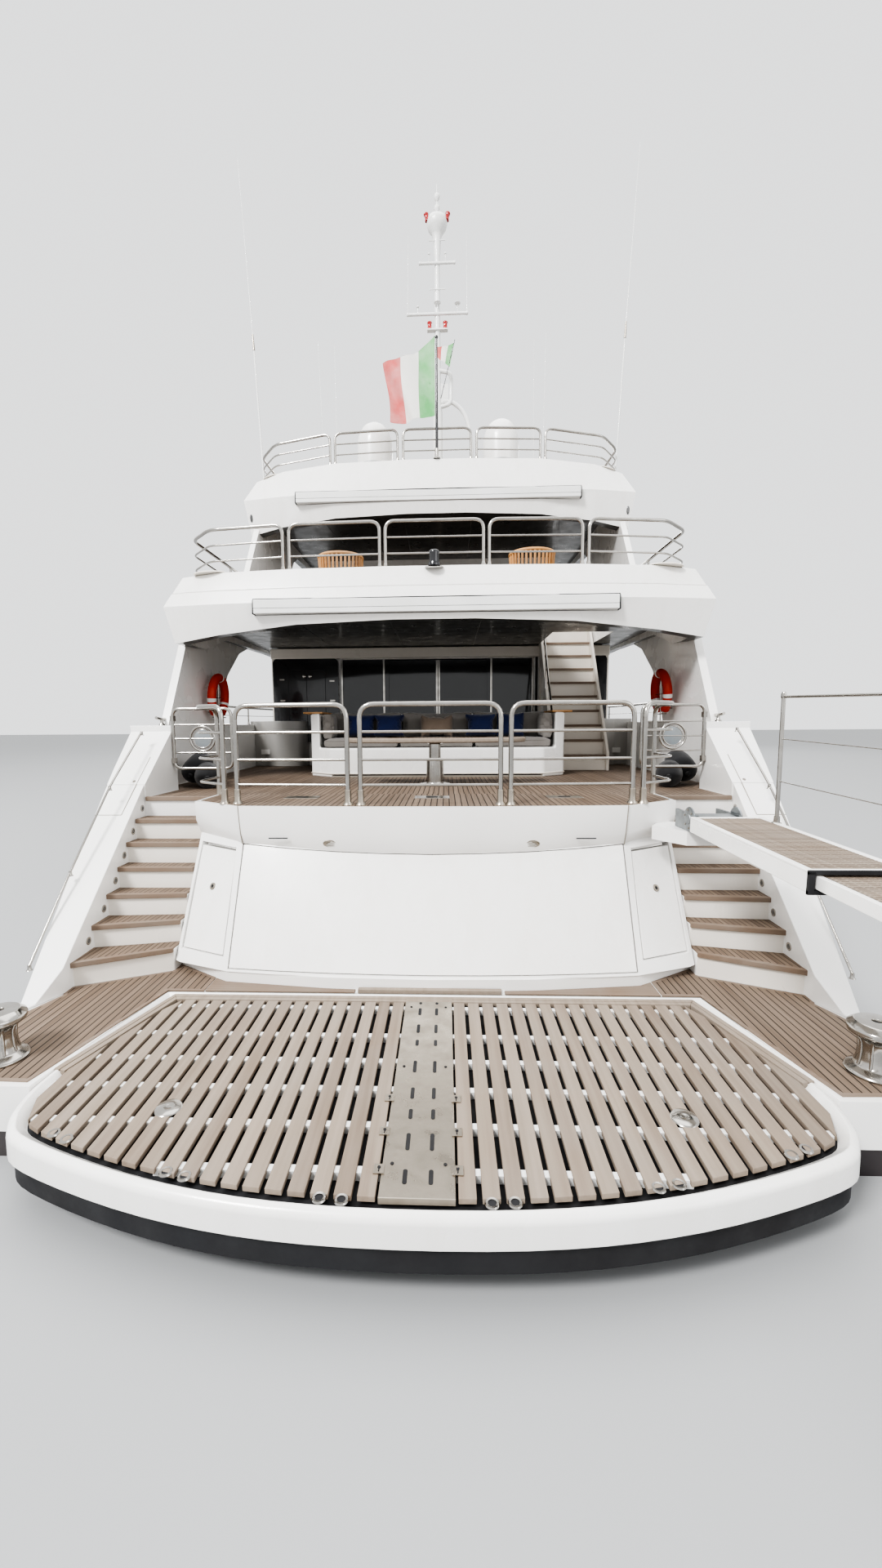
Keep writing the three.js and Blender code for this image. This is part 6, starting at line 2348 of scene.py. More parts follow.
@dataclass
class Overhang:
    """One deck's aft overhang: white fascia, glossy grey soffit, awning cassette, lamps and oval scoops."""

    name: str
    node: str
    edge: str
    cassette: str
    cassette_box: tuple[Point, Point]
    soffit_above: float
    lamps: Sequence[tuple[float, float]]
    slot_lamp: tuple[float, float]
    scoop: tuple[float, float]
    joints: Sequence[float] = (-1.9, -0.62, 0.62, 1.9)
    joint_y: tuple[float, float] = (-10, -9)
    lamp_cup: Sequence[tuple[float, float]] = (
        (0, 0.004), (0.030, 0.004), (0.036, 0.009), (0.050, 0.006), (0.054, -0.004), (0, -0.004)
    )
    scoop_ring: Sequence[tuple[float, float]] = (
        (0.150, 0.0), (0.158, 0.012), (0.178, 0.014), (0.190, 0.0), (0.150, 0.0)
    )

    def build(self) -> list[Object]:
        """Soffit, cassette and lamps.

        Returns:
            The finished pieces.
        """

        def tone(face: BMFace) -> int:
            """Soffit grey on what looks down."""
            return 1 if face.normal.z < -0.55 and face.calc_center_median().z > self.soffit_above else 0

        made = [Dressed(self.node, Slot.GELCOAT, [GELCOAT, SOFFIT], BOAT, 0.02, rule=tone).build()]
        return [*made, self.awning(), self.fittings()]

    def awning(self) -> Object:
        """The furled awning's cassette in its recess, with a shadow gap over it and wedge-shaped ends.

        Returns:
            The finished piece.
        """
        bm = copy_of(self.cassette)
        round_edges(bm, 0.01, 3)
        low, high = (Vector(p) for p in self.cassette_box)
        seam = low.y - 0.001
        paint(add_box(bm, (low.x, seam, low.z + 0.062), (high.x, seam + 0.01, low.z + 0.066)), 1)
        # Painted shade: a dark strip over the cassette stands for the shadow gap.
        paint(add_box(bm, (low.x - 0.01, low.y + 0.02, high.z), (high.x + 0.01, high.y, high.z + 0.012)), 1)
        for s in (1, -1):
            x = s * (high.x + 0.006)
            wedge = [
                (x, low.y + 0.012, low.z), (x, low.y + 0.03, high.z), (x, high.y, high.z), (x, high.y, low.z)
            ]
            tint(add_prism(bm, wedge, Vector((s * 0.012, 0, 0))), 1)
        return publish(
            bm, f"{self.name}_cassette", Slot.GELCOAT, [WHITE_PLASTIC, RUBBER_AND_SHADE], BOAT, [self.cassette]
        )

    def fittings(self) -> Object:
        """Downlights, the two oblong corner lamps, the oval scoops and the soffit's joints.

        Returns:
            The finished piece.
        """
        bm = bmesh.new()
        for x, y in self.lamps:
            for s in (1, -1):
                found = Probe.hit(self.node, (s * x, y, self.soffit_above - 0.4), (0, 0, 1))
                if found:
                    add_oval(bm, self.lamp_cup, *found, (1.35, 1, 1))
                    paint(add_oval(bm, plain_disc(0.029, 0.006), *found, (1.35, 1, 1)), 1)
        for s in (1, -1):
            found = Probe.hit(self.edge, (s * self.slot_lamp[0], -16, self.slot_lamp[1]), (0, 1, 0))
            if found:
                section = [(0, 0.008), (0.028, 0.008), (0.034, 0.004), (0.036, 0), (0, 0)]
                made = add_oval(bm, section, *found, (0.75, 1, 2.0))
                paint(made, 1)
            found = Probe.hit(
                self.edge, (s * self.scoop[0], self.scoop[1], self.soffit_above + 3), (0, 0, -1)
            )
            if found:
                paint(add_oval(bm, self.scoop_ring, *found, (1.15, 0.62, 1)), 2)
                section = [(0, 0.003), (0.152, 0.004), (0.152, 0), (0, 0)]
                paint(add_oval(bm, section, *found, (1.15, 0.62, 1)), 2)
        for x in self.joints:
            spots = [Probe.hit(self.node, (x, y, self.soffit_above - 0.4), (0, 0, 1)) for y in self.joint_y]
            if all(spots):
                a, b = (p[0] - Vector((0, 0, 0.001)) for p in spots)
                paint(add_bar(bm, a, b, 0.004, 6), 1)
        return publish(bm, f"{self.name}_lamps", Slot.STEEL, [SATIN, SMOKED, CREAM_AND_SHADE])


@dataclass
class DeckRail:
    """The guard rail round one deck: framed panels across the stern and one long run up each side."""

    node: str
    frames: Sequence[Sequence[Point]]
    rise: float
    bars: Sequence[float]
    radius: float = 0.021
    bar_radius: float = 0.012
    posts: float = 1.6
    foot_profile: Sequence[tuple[float, float]] = (
        (0, 0.05), (0.024, 0.05), (0.027, 0.018), (0.042, 0.008), (0.044, 0), (0, 0)
    )

    def build(self) -> list[Object]:
        """One piece for the whole rail.

        Returns:
            The finished pieces.
        """
        bm = bmesh.new()
        for plan in self.frames:
            self.frame(bm, [Vector(p) for p in plan])
        return [publish(bm, f"{self.node}_pipes", Slot.STEEL, [POLISHED], BOAT, [self.node])]

    def frame(self, bm: BMesh, line: list[Vector]) -> None:
        """One framed panel or run, with bars, posts and feet.

        Args:
            bm: The mesh under construction.
            line: The points of its foot line.
        """
        up = Vector((0, 0, self.rise))
        add_pipe(bm, rounded([line[0], *[p + up for p in line], line[-1]], 0.12, 5), self.radius, 12)
        for share in self.bars:
            add_pipe(bm, rounded([p + up * share for p in line], 0.10, 4), self.bar_radius, 8)
        feet = [line[0], line[-1]]
        for a, b in zip(line, line[1:]):
            count = int((b - a).length / self.posts)
            for k in range(1, count + 1):
                foot = a.lerp(b, k / (count + 1))
                add_bar(bm, foot, foot + up, self.radius * 0.85, 10)
                feet.append(foot)
        for foot in feet:
            add_turned(bm, self.foot_profile, foot, steps=14)


@dataclass
class DeckChair:
    """A round-backed slatted chair on the upper deck, seen over the coaming."""

    side: Side
    centre: Point = (1.33, -11.76, 4.25)
    radius: float = 0.29
    seat_profile: Sequence[tuple[float, float]] = (
        (0, 0.36), (0.275, 0.36), (0.285, 0.38), (0.275, 0.40), (0, 0.40)
    )

    def build(self) -> list[Object]:
        """Slatted back, seat and legs.

        Returns:
            The finished pieces.
        """
        x, y, z = self.centre
        x *= self.side.value
        bm = bmesh.new()
        draw = random.Random(self.side.value + 5)
        tone = bm.verts.layers.float.new("tone")

        def at(angle: float, radius: float, height: float) -> Vector:
            """A point round the chair."""
            a = math.radians(angle)
            return Vector((x + radius * math.sin(a), y - radius * math.cos(a), z + height))

        for height, radius, thick in ((0.665, 0.30, 0.022), (0.40, 0.285, 0.020)):
            add_pipe(bm, [at(a, radius, height) for a in range(-115, 116, 10)], thick, 10)
        for a in range(-110, 111, 11):
            slat = add_bar(bm, at(a, 0.285, 0.40), at(a, 0.30, 0.665), 0.017, 6)
            own = draw.random()
            for vert in slat:
                vert[tone] = own
        add_turned(bm, self.seat_profile, (x, y, z), steps=28)
        for a in (-130, -50, 50, 130):
            add_bar(bm, at(a, 0.27, 0.37), at(a, 0.285, 0.0), 0.020, 8, 0.015)
        name = f"chair_{self.side.tag}"
        node = f"upper_chair_{self.side.tag}"
        return [publish(bm, name, Slot.TEAK, [VARNISHED], BOAT, [node])]


@dataclass
class UpperDetails:
    """Stern lantern, deck supports and the laid decks of the two upper levels."""

    upper_plan: Sequence[tuple[float, float, float, float]] = (
        (-3.12, 1.74, -12.62, -6.53), (1.74, 3.12, -12.50, -10.96), (1.74, 3.12, -9.36, -6.53), (
            2.78, 3.12, -10.96, -9.36
        )
    )
    side_plan: Sequence[tuple[float, float]] = (
        (2.62, -6.53), (3.11, -6.53), (3.11, 0.6), (2.80, 3.2), (2.62, 4.1)
    )
    sun_plan: Sequence[tuple[float, float]] = (
        (0.55, -9.92), (1.70, -9.88), (2.40, -9.78), (2.88, -9.62), (2.90, -6.0), (2.72, 0.0), (2.35, 4.0),
        (1.40, 4.9),
    )
    lantern_base: Sequence[tuple[float, float]] = (
        (0, 0.012), (0.10, 0.012), (0.115, 0.0), (0.10, -0.012), (0, -0.012)
    )
    lantern_body: Sequence[tuple[float, float]] = (
        (0, 0.20), (0.045, 0.20), (0.062, 0.185), (0.066, 0.16), (0.060, 0.15), (0.060, 0.06), (0.070, 0.05),
        (0.074, 0.01), (0, 0.01),
    )

    def build(self) -> list[Object]:
        """Decks, lantern and supports."""
        return [self.upper_teak(), self.sun_teak(), self.lantern(), self.supports()]

    def upper_teak(self) -> Object:
        """The upper deck's planking round the stair opening and along the sides.

        Returns:
            The finished piece.
        """
        bm = bmesh.new()
        for x0, x1, y0, y1 in self.upper_plan:
            add_box(bm, (x0, y0, UPPER_Z - SUNK), (x1, y1, UPPER_Z + 0.006))
        for side in Side:
            add_slab(bm, [(side.value * x, y) for x, y in self.side_plan], UPPER_Z - SUNK, UPPER_Z + 0.006)
        return publish(bm, "upper_deck_teak", Slot.TEAK, [DECK_TEAK])

    def sun_teak(self) -> Object:
        """The sun deck's planking.

        Returns:
            The finished piece.
        """
        bm = bmesh.new()
        add_planking(bm, mirrored(self.sun_plan), SUN_Z)
        return publish(bm, "sun_deck_teak", Slot.TEAK, [DECK_TEAK, BOARD_TEAK])

    def lantern(self) -> Object:
        """The black stern lantern on a bright base.

        Returns:
            The finished piece.
        """
        bm = bmesh.new()
        x, y, z = 0.0, -12.86, 4.485
        add_turned(bm, self.lantern_base, (x, y, z), (0, -0.25, 1), 28)
        paint(add_turned(bm, self.lantern_body, (x, y, z), (0, 0, 1), 24), 1)
        return publish(bm, "stern_lantern", Slot.STEEL, [POLISHED, LACQUER])

    def supports(self) -> Object:
        """The slim dark posts under the sun deck's sides.

        Returns:
            The finished piece.
        """
        bm = bmesh.new()
        for s in (1, -1):
            for y in (-9.72, -9.52):
                add_bar(bm, (s * 3.07, y, 4.50), (s * 3.13, y - 0.10, 6.10), 0.024, 12)
        return publish(bm, "sun_deck_posts", Slot.DARK_STEEL, [LACQUER])


@dataclass
class Domes:
    """The two satellite domes: a grey foot band, a small dark vent and a smooth white shell."""

    place: Point = (1.13, -9.15, 6.6)
    foot_profile: Sequence[tuple[float, float]] = (
        (0, 0.003), (0.20, 0.003), (0.20, 0.34), (0.262, 0.40), (0.27, 0.44), (0.296, 0.50)
    )
    shell_profile: Sequence[tuple[float, float]] = (
        (0.296, 0.50), (0.312, 0.53), (0.317, 0.62), (0.317, 0.98), (0.305, 1.09), (0.27, 1.20), (0.21, 1.30),
        (0.12, 1.36), (0, 1.377),
    )
    band_profile: Sequence[tuple[float, float]] = (
        (0.302, 0.60), (0.3205, 0.605), (0.3205, 0.625), (0.302, 0.63), (0.302, 0.60)
    )

    def build(self) -> list[Object]:
        """Both domes.

        Returns:
            The finished pieces.
        """
        made = []
        for side in Side:
            bm = bmesh.new()
            x, y, z = self.place
            at = (side.value * x, y, z)
            paint(add_turned(bm, [*self.foot_profile, (0, 0.50)], at, steps=40), 1)
            add_turned(bm, [(0, 0.50), *self.shell_profile], at, steps=48)
            paint(add_turned(bm, self.band_profile, at, steps=48), 1)
            vent = add_box(bm, (at[0] - 0.06, y - 0.325, z + 0.54), (at[0] + 0.06, y - 0.28, z + 0.585))
            paint(vent, 2)
            node = f"satcom_dome_{side.tag}"
            made.append(
                publish(bm, f"{node}_shell", Slot.GELCOAT, [GELCOAT, DOME_GREY, RUBBER_AND_SHADE], BOAT, [node], 40)
            )
        return made


@dataclass
class Mast:
    """The signal mast with its cross-trees, lamps, aerials, loop and curved tube."""

    y: float = -8.6
    pole: Sequence[tuple[float, float]] = (
        (0, 6.603), (0.16, 6.603), (0.165, 6.62), (0.12, 6.65), (0.098, 6.75), (0.090, 8.4), (0.066, 8.6),
        (0.052, 9.9),
        (0.048, 11.10), (0.060, 11.16), (0.074, 11.42), (0.10, 11.49), (0.165, 11.57), (0.19, 11.66),
        (0.165, 11.745),
        (0.09, 11.80), (0.035, 11.83), (0.030, 11.86), (0.052, 11.90), (0.052, 11.94), (0.022, 11.98),
        (0.013, 12.03),
        (0.050, 12.08), (0.055, 12.12), (0.035, 12.155), (0.010, 12.18), (0.008, 12.318), (0, 12.319),
    )
    trees: Sequence[tuple[float, float, float]] = (
        (10.11, 0.555, 0.026), (10.97, 0.325, 0.024), (10.53, 0.15, 0.009), (11.35, 0.15, 0.009)
    )
    loop_path: Sequence[tuple[float, float]] = ((0.02, 8.50), (0.25, 8.56), (0.25, 9.10), (0.02, 9.15))
    lamp_profile: Sequence[tuple[float, float]] = (
        (0, 0.13), (0.038, 0.13), (0.046, 0.12), (0.046, 0.105), (0.036, 0.095), (0.036, 0.03), (0.046, 0.02),
        (0.046, 0.0), (0, 0.0),
    )
    stubs: Sequence[tuple[float, float, float, float]] = (
        (-0.36, 10.13, 0.10, 0.028), (0.37, 10.13, 0.14, 0.055), (0.0, 10.14, 0.12, 0.065),
        (-0.15, 10.99, 0.13, 0.022), (0.15, 10.99, 0.13, 0.022),
    )

    def build(self) -> list[Object]:
        """Pole, yards and lamps."""
        return [self.spars(), self.lights()]

    def spars(self) -> Object:
        """The painted parts.

        Returns:
            The finished piece.
        """
        bm = bmesh.new()
        add_turned(bm, self.pole, (0, self.y, 0), steps=28)
        for z, half, radius in self.trees:
            add_bar(bm, (-half, self.y - 0.05, z), (half, self.y - 0.05, z), radius, 12)
            if radius > 0.02:
                for s in (1, -1):
                    section = [(0, 0.012), (radius, 0.01), (radius * 1.3, -0.01), (radius, -0.03), (0, -0.03)]
                    add_turned(bm, section, (s * half, self.y - 0.05, z), (s, 0, 0), 14)
        add_box(bm, (-0.19, self.y - 0.08, 9.83), (0.19, self.y + 0.02, 9.855))
        add_pipe(bm, rounded([(x, self.y - 0.02, z) for x, z in self.loop_path], 0.09, 5), 0.036, 12)
        add_box(bm, (0.05, self.y - 0.03, 8.58), (0.20, self.y - 0.01, 8.92))
        arch = fair(
            [
                (0.10, self.y, 8.62), (0.30, self.y, 8.58), (0.50, self.y, 8.38), (0.61, self.y, 8.0),
                (0.645, self.y, 7.4), (0.65, self.y, 6.60),
            ],
            6,
        )
        add_pipe(bm, arch, 0.038, 12)
        round_edges(bm, 0.004, 2, 50)
        return publish(bm, "mast_spars", Slot.GELCOAT, [WHITE_PLASTIC], BOAT, ["mast"], 40)

    def lights(self) -> Object:
        """Signal lamps, small aerials and their brackets.

        Returns:
            The finished piece.
        """
        bm = bmesh.new()
        for s in (1, -1):
            add_turned(bm, self.lamp_profile, (s * 0.145, self.y - 0.03, 9.857), steps=20)
            tilted = (s * 0.17, self.y - 0.02, 11.70)
            paint(add_bar(bm, (s * 0.12, self.y - 0.02, 11.62), tilted, 0.012, 8), 1)
            add_turned(bm, self.lamp_profile, tilted, (s * 0.25, 0, 1), 20)
        for x, z, tall, cap in self.stubs:
            at = (x, self.y - 0.05 if x else self.y - 0.09, z)
            paint(add_bar(bm, at, (at[0], at[1], z + tall), 0.007, 8), 1)
            section = [(0, 0.028), (cap * 0.7, 0.024), (cap, 0.010), (cap * 0.8, 0.0), (0, 0.0)]
            paint(add_turned(bm, section, (at[0], at[1], z + tall), steps=16), 1)
        for s in (1, -1):
            paint(
                add_bar(
                    bm, (s * 0.545, self.y - 0.05, 10.12), (s * 0.53, self.y - 0.05, 11.45), 0.006, 8, 0.003
                ),
                1,
            )
        return publish(bm, "mast_lamps", Slot.STEEL, [LAMP_RED, WHITE_PLASTIC])


@dataclass
class Aerials:
    """Tall two-stage whips at the sun deck's corners and the slim ones behind them."""

    tall: Sequence[tuple[Point, Point, Point]] = (
        ((3.12, -9.30, 6.80), (3.235, -9.30, 9.25), (3.40, -9.30, 12.25)),
    )
    slim: Sequence[tuple[Point, Point]] = (
        ((-2.22, -8.2, 6.62), (-2.32, -8.2, 10.0)), ((-1.98, -8.2, 6.62), (-2.0, -8.2, 9.9)), (
            (1.86, -8.2, 6.62), (1.84, -8.2, 9.9)
        ),
        ((2.02, -8.2, 6.62), (2.06, -8.2, 10.0)),
    )
    base_profile: Sequence[tuple[float, float]] = (
        (0, 0.10), (0.030, 0.10), (0.034, 0.02), (0.055, 0.008), (0.058, 0), (0, 0)
    )

    def build(self) -> list[Object]:
        """All whips, with their spring bases.

        Returns:
            The finished pieces.
        """
        bm = bmesh.new()
        for foot, joint, tip in self.tall:
            for s in (1, -1):
                a, b, c = (Vector((s * x, y, z)) for x, y, z in (foot, joint, tip))
                add_bar(bm, a, b, 0.017, 10, 0.012)
                add_bar(bm, b, c, 0.009, 8, 0.0035)
                paint(
                    add_bar(
                        bm, b - (b - a).normalized() * 0.06, b + (c - b).normalized() * 0.20, 0.020, 12, 0.014
                    ),
                    1,
                )
                paint(add_turned(bm, self.base_profile, a, steps=18), 1)
        for a, b in self.slim:
            add_bar(bm, a, b, 0.007, 8, 0.003)
            paint(add_turned(bm, [(0, 0.09), (0.018, 0.09), (0.022, 0.0), (0, 0)], a, steps=14), 1)
        return [publish(bm, "whip_aerials", Slot.STEEL, [WHITE_PLASTIC, SATIN])]


@dataclass
class Ensign:
    """A plain tricolour cloth flying from its staff, soft folds running down from the hoist."""

    name: str
    hoist_top: Point
    hoist_low: Point
    fly_top: Point
    fly_low: Point
    sag: float
    wave: float
    flat: tuple[float, float]
    cuts: tuple[int, int] = (44, 36)
    mirror_band: bool = False

    def build(self) -> Object:
        """The cloth, one closed sheet with two faces.

        Returns:
            The finished piece.
        """
        bm = bmesh.new()
        nu, nv = self.cuts
        bmesh.ops.create_grid(bm, x_segments=nu, y_segments=nv, size=0.5)
        band = bm.verts.layers.float.new("band")
        a, b, c, d = (Vector(p) for p in (self.hoist_top, self.hoist_low, self.fly_top, self.fly_low))
        for vert in bm.verts:
            u, v = vert.co.x + 0.5, 0.5 - vert.co.y
            vert[band] = 1 - u if self.mirror_band else u
            spot = a.lerp(b, v).lerp(c.lerp(d, v), u)
            spot.z -= self.sag * math.sin(math.pi * u) * (1 - 0.75 * v)
            phase = 7.5 * u + 2.2 * v
            spot.y += self.wave * u**0.6 * (math.sin(phase) + 0.35 * math.sin(2.3 * phase + 1.2 + 3 * v))
            spot.x += self.wave * 0.35 * u * math.sin(4.5 * v + 5 * u)
            spot.z += self.wave * 0.25 * u * math.sin(9 * u + 3.5 * v)
            vert.co = spot
        bmesh.ops.solidify(bm, geom=bm.faces[:], thickness=0.0024)
        piece = publish(bm, self.name, Slot.CUSHION, [TRICOLOUR], BOAT, shade=180)
        return piece


@dataclass
class Colours:
    """The ensign staff and its flag, and the small courtesy flag on its stick."""

    pole_profile: Sequence[tuple[float, float]] = (
        (0, 6.957), (0.026, 6.957), (0.024, 7.2), (0.020, 8.0), (0.017, 8.80), (0.026, 8.815), (0.026, 8.84),
        (0.012, 8.853), (0, 8.854),
    )
    socket_profile: Sequence[tuple[float, float]] = (
        (0, 0.16), (0.034, 0.16), (0.036, 0.03), (0.058, 0.014), (0.060, 0), (0, 0)
    )

    def build(self) -> list[Object]:
        """Staffs and flags.

        Returns:
            The finished pieces.
        """
        ensign = Ensign(
            "ensign", (-0.028, -10.066, 8.845), (-0.028, -10.066, 7.63), (-0.85, -10.15, 8.43), (
                -0.76, -10.13, 7.52
            ),
            0.10, 0.075, (1.22, 0.92),
        )
        small = Ensign(
            "courtesy_flag", (0.30, -8.95, 9.42), (0.225, -8.95, 9.02), (-0.02, -8.98, 9.34), (
                -0.03, -8.98, 9.20
            ),
            0.02, 0.020, (0.36, 0.29), (20, 16),
        )
        return [self.staff(), ensign.build(), small.build()]

    def staff(self) -> Object:
        """The black pole with its truck and bright socket, and the small leaning stick.

        Returns:
            The finished piece.
        """
        bm = bmesh.new()
        add_turned(bm, self.pole_profile, (0, -10.062, 0), steps=20)
        paint(add_turned(bm, self.socket_profile, (0, -10.062, 6.955), steps=20), 1)
        add_bar(bm, (0.06, -8.93, 8.50), (0.315, -8.955, 9.47), 0.009, 10, 0.006)
        return publish(bm, "flagstaff_pole", Slot.DARK_STEEL, [LACQUER, POLISHED], BOAT, ["flagstaff"])


def overhangs() -> list[Overhang]:
    """The overhangs of the upper deck and of the sun deck.

    Returns:
        Both, dressed by their own sizes.
    """
    upper = Overhang(
        "upper_overhang", "upper_deck", "upper_coaming", "upper_awning", (
            (-2.19, -13.0, 3.94), (2.19, -12.891, 4.108)
        ), 3.5,
        ((0.62, -12.3), (1.85, -12.25), (2.8, -12.1)), (3.23, 3.82), (2.83, -12.66), joint_y=(-12.6, -9.6),
    )
    sun = Overhang(
        "sun_overhang", "sun_deck", "sun_deck", "sun_awning", (
            (-2.33, -10.24, 6.25), (2.33, -10.131, 6.418)
        ), 5.7,
        ((0.60, -9.95), (1.80, -9.90), (2.70, -9.75)), (3.17, 6.12), (2.78, -9.80), joint_y=(-10.0, -6.7),
    )
    return [upper, sun]


def guard_rails() -> list[DeckRail]:
    """The rails of the upper deck and of the sun deck.

    Returns:
        Both, with the plan of every frame.
    """
    upper_mid = [(-0.60, -12.76, 4.515), (0.60, -12.76, 4.515)]
    upper_in = [(0.67, -12.755, 4.515), (1.80, -12.725, 4.512)]
    upper_out = [
        (1.88, -12.72, 4.511), (2.85, -12.61, 4.502), (3.205, -12.25, 4.490), (3.21, -9.6, 4.50),
        (3.21, 0.7, 4.50), (2.92, 3.25, 4.50),
    ]
    sun_mid = [(-0.56, -10.005, 6.95), (0.56, -10.005, 6.95)]
    sun_in = [(0.655, -10.005, 6.95), (1.705, -9.975, 6.928)]
    sun_out = [
        (1.79, -9.97, 6.925), (2.76, -9.84, 6.84), (3.08, -9.50, 6.77), (3.08, -8.8, 6.80), (3.05, -6.0, 6.90)
    ]

    def both(line: Sequence[Point]) -> list[Sequence[Point]]:
        """A line and its mirror image."""
        return [line, [(-x, y, z) for x, y, z in line]]

    return [
        DeckRail("upper_rail", [upper_mid, *both(upper_in), *both(upper_out)], 0.55, (0.30, 0.65)),
        DeckRail("sun_rail", [sun_mid, *both(sun_in), *both(sun_out)], 0.51, (0.33, 0.66)),
    ]


@dataclass
class Gangway:
    """The hydraulic gangway: cast turret, grated inner stage with a hand line, and sliding outer stage."""

    pin: Point = (2.33, -15.26, 1.80)
    slope: float = 2.0
    pitch: float = 0.030
    batten: float = 0.020
    cheek_profile: Sequence[tuple[float, float]] = (
        (0, -0.004), (0.098, -0.004), (0.100, 0.006), (0.094, 0.012), (0.045, 0.013), (0.040, 0.020),
        (0, 0.021),
    )
    collar_boxes: Sequence[tuple[Point, Point]] = (
        ((-0.281, -1.716, 0.044), (0.281, -1.699, 0.066)),
        ((-0.281, -1.716, -0.066), (0.281, -1.699, -0.045)),
        ((-0.281, -1.716, -0.06), (-0.247, -1.699, 0.06)),
        ((0.247, -1.716, -0.06), (0.281, -1.699, 0.06)),
    )

    def build(self) -> list[Object]:
        """Turret, stages, gratings and hand line."""
        return [*self.turret(), self.inner(), self.hand_line(), self.outer()]

    def publish(
        self, bm: BMesh, name: str, slot: Slot, finishes: Sequence[Finish], body: str, own: bool
    ) -> Object:
        """Tilts a stage's mesh onto the pin and publishes it.

        Args:
            bm: The mesh, drawn about the pin.
            name: The piece's name.
            slot: The record's material slot.
            finishes: Its finishes.
            body: The stage that carries it.
            own: Whether it stands for the stage's own node.

        Returns:
            The piece.
        """
        bm.transform(Matrix.Translation(self.pin) @ Matrix.Rotation(math.radians(self.slope), 4, "X"))
        return publish(bm, name, slot, finishes, body, [body] if own else [])

    def turret(self) -> list[Object]:
        """The grey casting with the round ends of its cheeks and the ram's dark cap.

        Returns:
            The finished pieces.
        """
        skin = Dressed("gangway_turret", Slot.STEEL, [GREY_METAL], "gangway_turret", 0.007, 3).build()
        bm = bmesh.new()
        x, y, z = self.pin
        for s in (1, -1):
            face = (x + s * 0.185, y, z)
            add_turned(bm, self.cheek_profile, face, (s, 0, 0), 36)
            for k in range(6):
                a = k * math.tau / 6 + 0.3
                bolt = (face[0], y + 0.075 * math.cos(a), z + 0.075 * math.sin(a))
                section = [(0, 0.018), (0.008, 0.018), (0.009, 0.0), (0, 0)]
                paint(add_turned(bm, section, bolt, (s, 0, 0), 6), 1)
        ram = (x + 0.12, -15.560, 1.649)
        section = [(0, 0.034), (0.030, 0.034), (0.048, 0.026), (0.051, 0.0), (0.049, -0.05), (0, -0.05)]
        paint(add_turned(bm, section, ram, (0, -1, 0), 24), 2)
        for y0 in (-15.33, -15.44):
            section = [(0, 0.010), (0.049, 0.010), (0.0505, 0.0), (0.049, -0.010), (0, -0.010)]
            add_turned(bm, section, (x + 0.12, y0, 1.649), (0, -1, 0), 24)
        cap = publish(bm, "gangway_trunnions", Slot.STEEL, [GREY_METAL, SATIN, RUBBER_AND_SHADE], "gangway_turret")
        return [skin, cap]

    def grating(self, bm: BMesh, half: float, y0: float, y1: float, top: float) -> None:
        """Lays crosswise teak battens on lengthwise strips.

        Args:
            bm: The mesh under construction.
            half: Half the grating's width.
            y0: Its aft end.
            y1: Its forward end.
            top: Level of its top.
        """
        draw = random.Random(int(-y0 * 100))
        tone = bm.verts.layers.float.get("tone") or bm.verts.layers.float.new("tone")
        count = int((y1 - y0) / self.pitch)
        for k in range(count):
            y = y0 + (k + 0.2) * self.pitch
            own = draw.random()
            made = add_box(bm, (-half, y, top - 0.008), (half, y + self.batten, top))
            paint(made, 1)
            for vert in made:
                vert[tone] = own
        for k in range(7):
            x = -half + (k + 0.5) * 2 * half / 7
            paint(add_box(bm, (x - 0.006, y0, top - 0.011), (x + 0.006, y1, top - 0.0015)), 1)

    def inner(self) -> Object:
        """The inner stage: white box beams, teak grating, tongue and the black collar at its mouth.

        Returns:
            The finished piece.
        """
        bm = bmesh.new()
        for s in (1, -1):
            add_box(bm, (s * 0.232, -1.70, 0.046), (s * 0.275, -0.22, 0.062))
            add_box(bm, (s * 0.249, -1.70, -0.060), (s * 0.275, -0.22, 0.047))
        add_box(bm, (-0.25, -1.70, -0.060), (0.25, -0.22, -0.047))
        add_box(bm, (-0.25, -0.25, -0.055), (0.25, -0.22, 0.060))
        add_box(bm, (-0.25, -1.70, 0.047), (0.25, -1.655, 0.0615))
        round_edges(bm, 0.005, 3)
        paint(add_box(bm, (-0.15, -0.225, -0.036), (0.15, 0.05, 0.036)), 3)
        paint(add_bar(bm, (-0.158, 0.0, 0.0), (0.158, 0.0, 0.0), 0.036, 24), 3)
        for low, high in self.collar_boxes:
            paint(add_box(bm, low, high), 2)
        self.grating(bm, 0.231, -1.652, -0.258, 0.0585)
        finishes = [GELCOAT, SLAT_TEAK, RUBBER_AND_SHADE, GREY_METAL]
        return self.publish(bm, "gangway_inner_stage", Slot.GELCOAT, finishes, "gangway_inner", True)

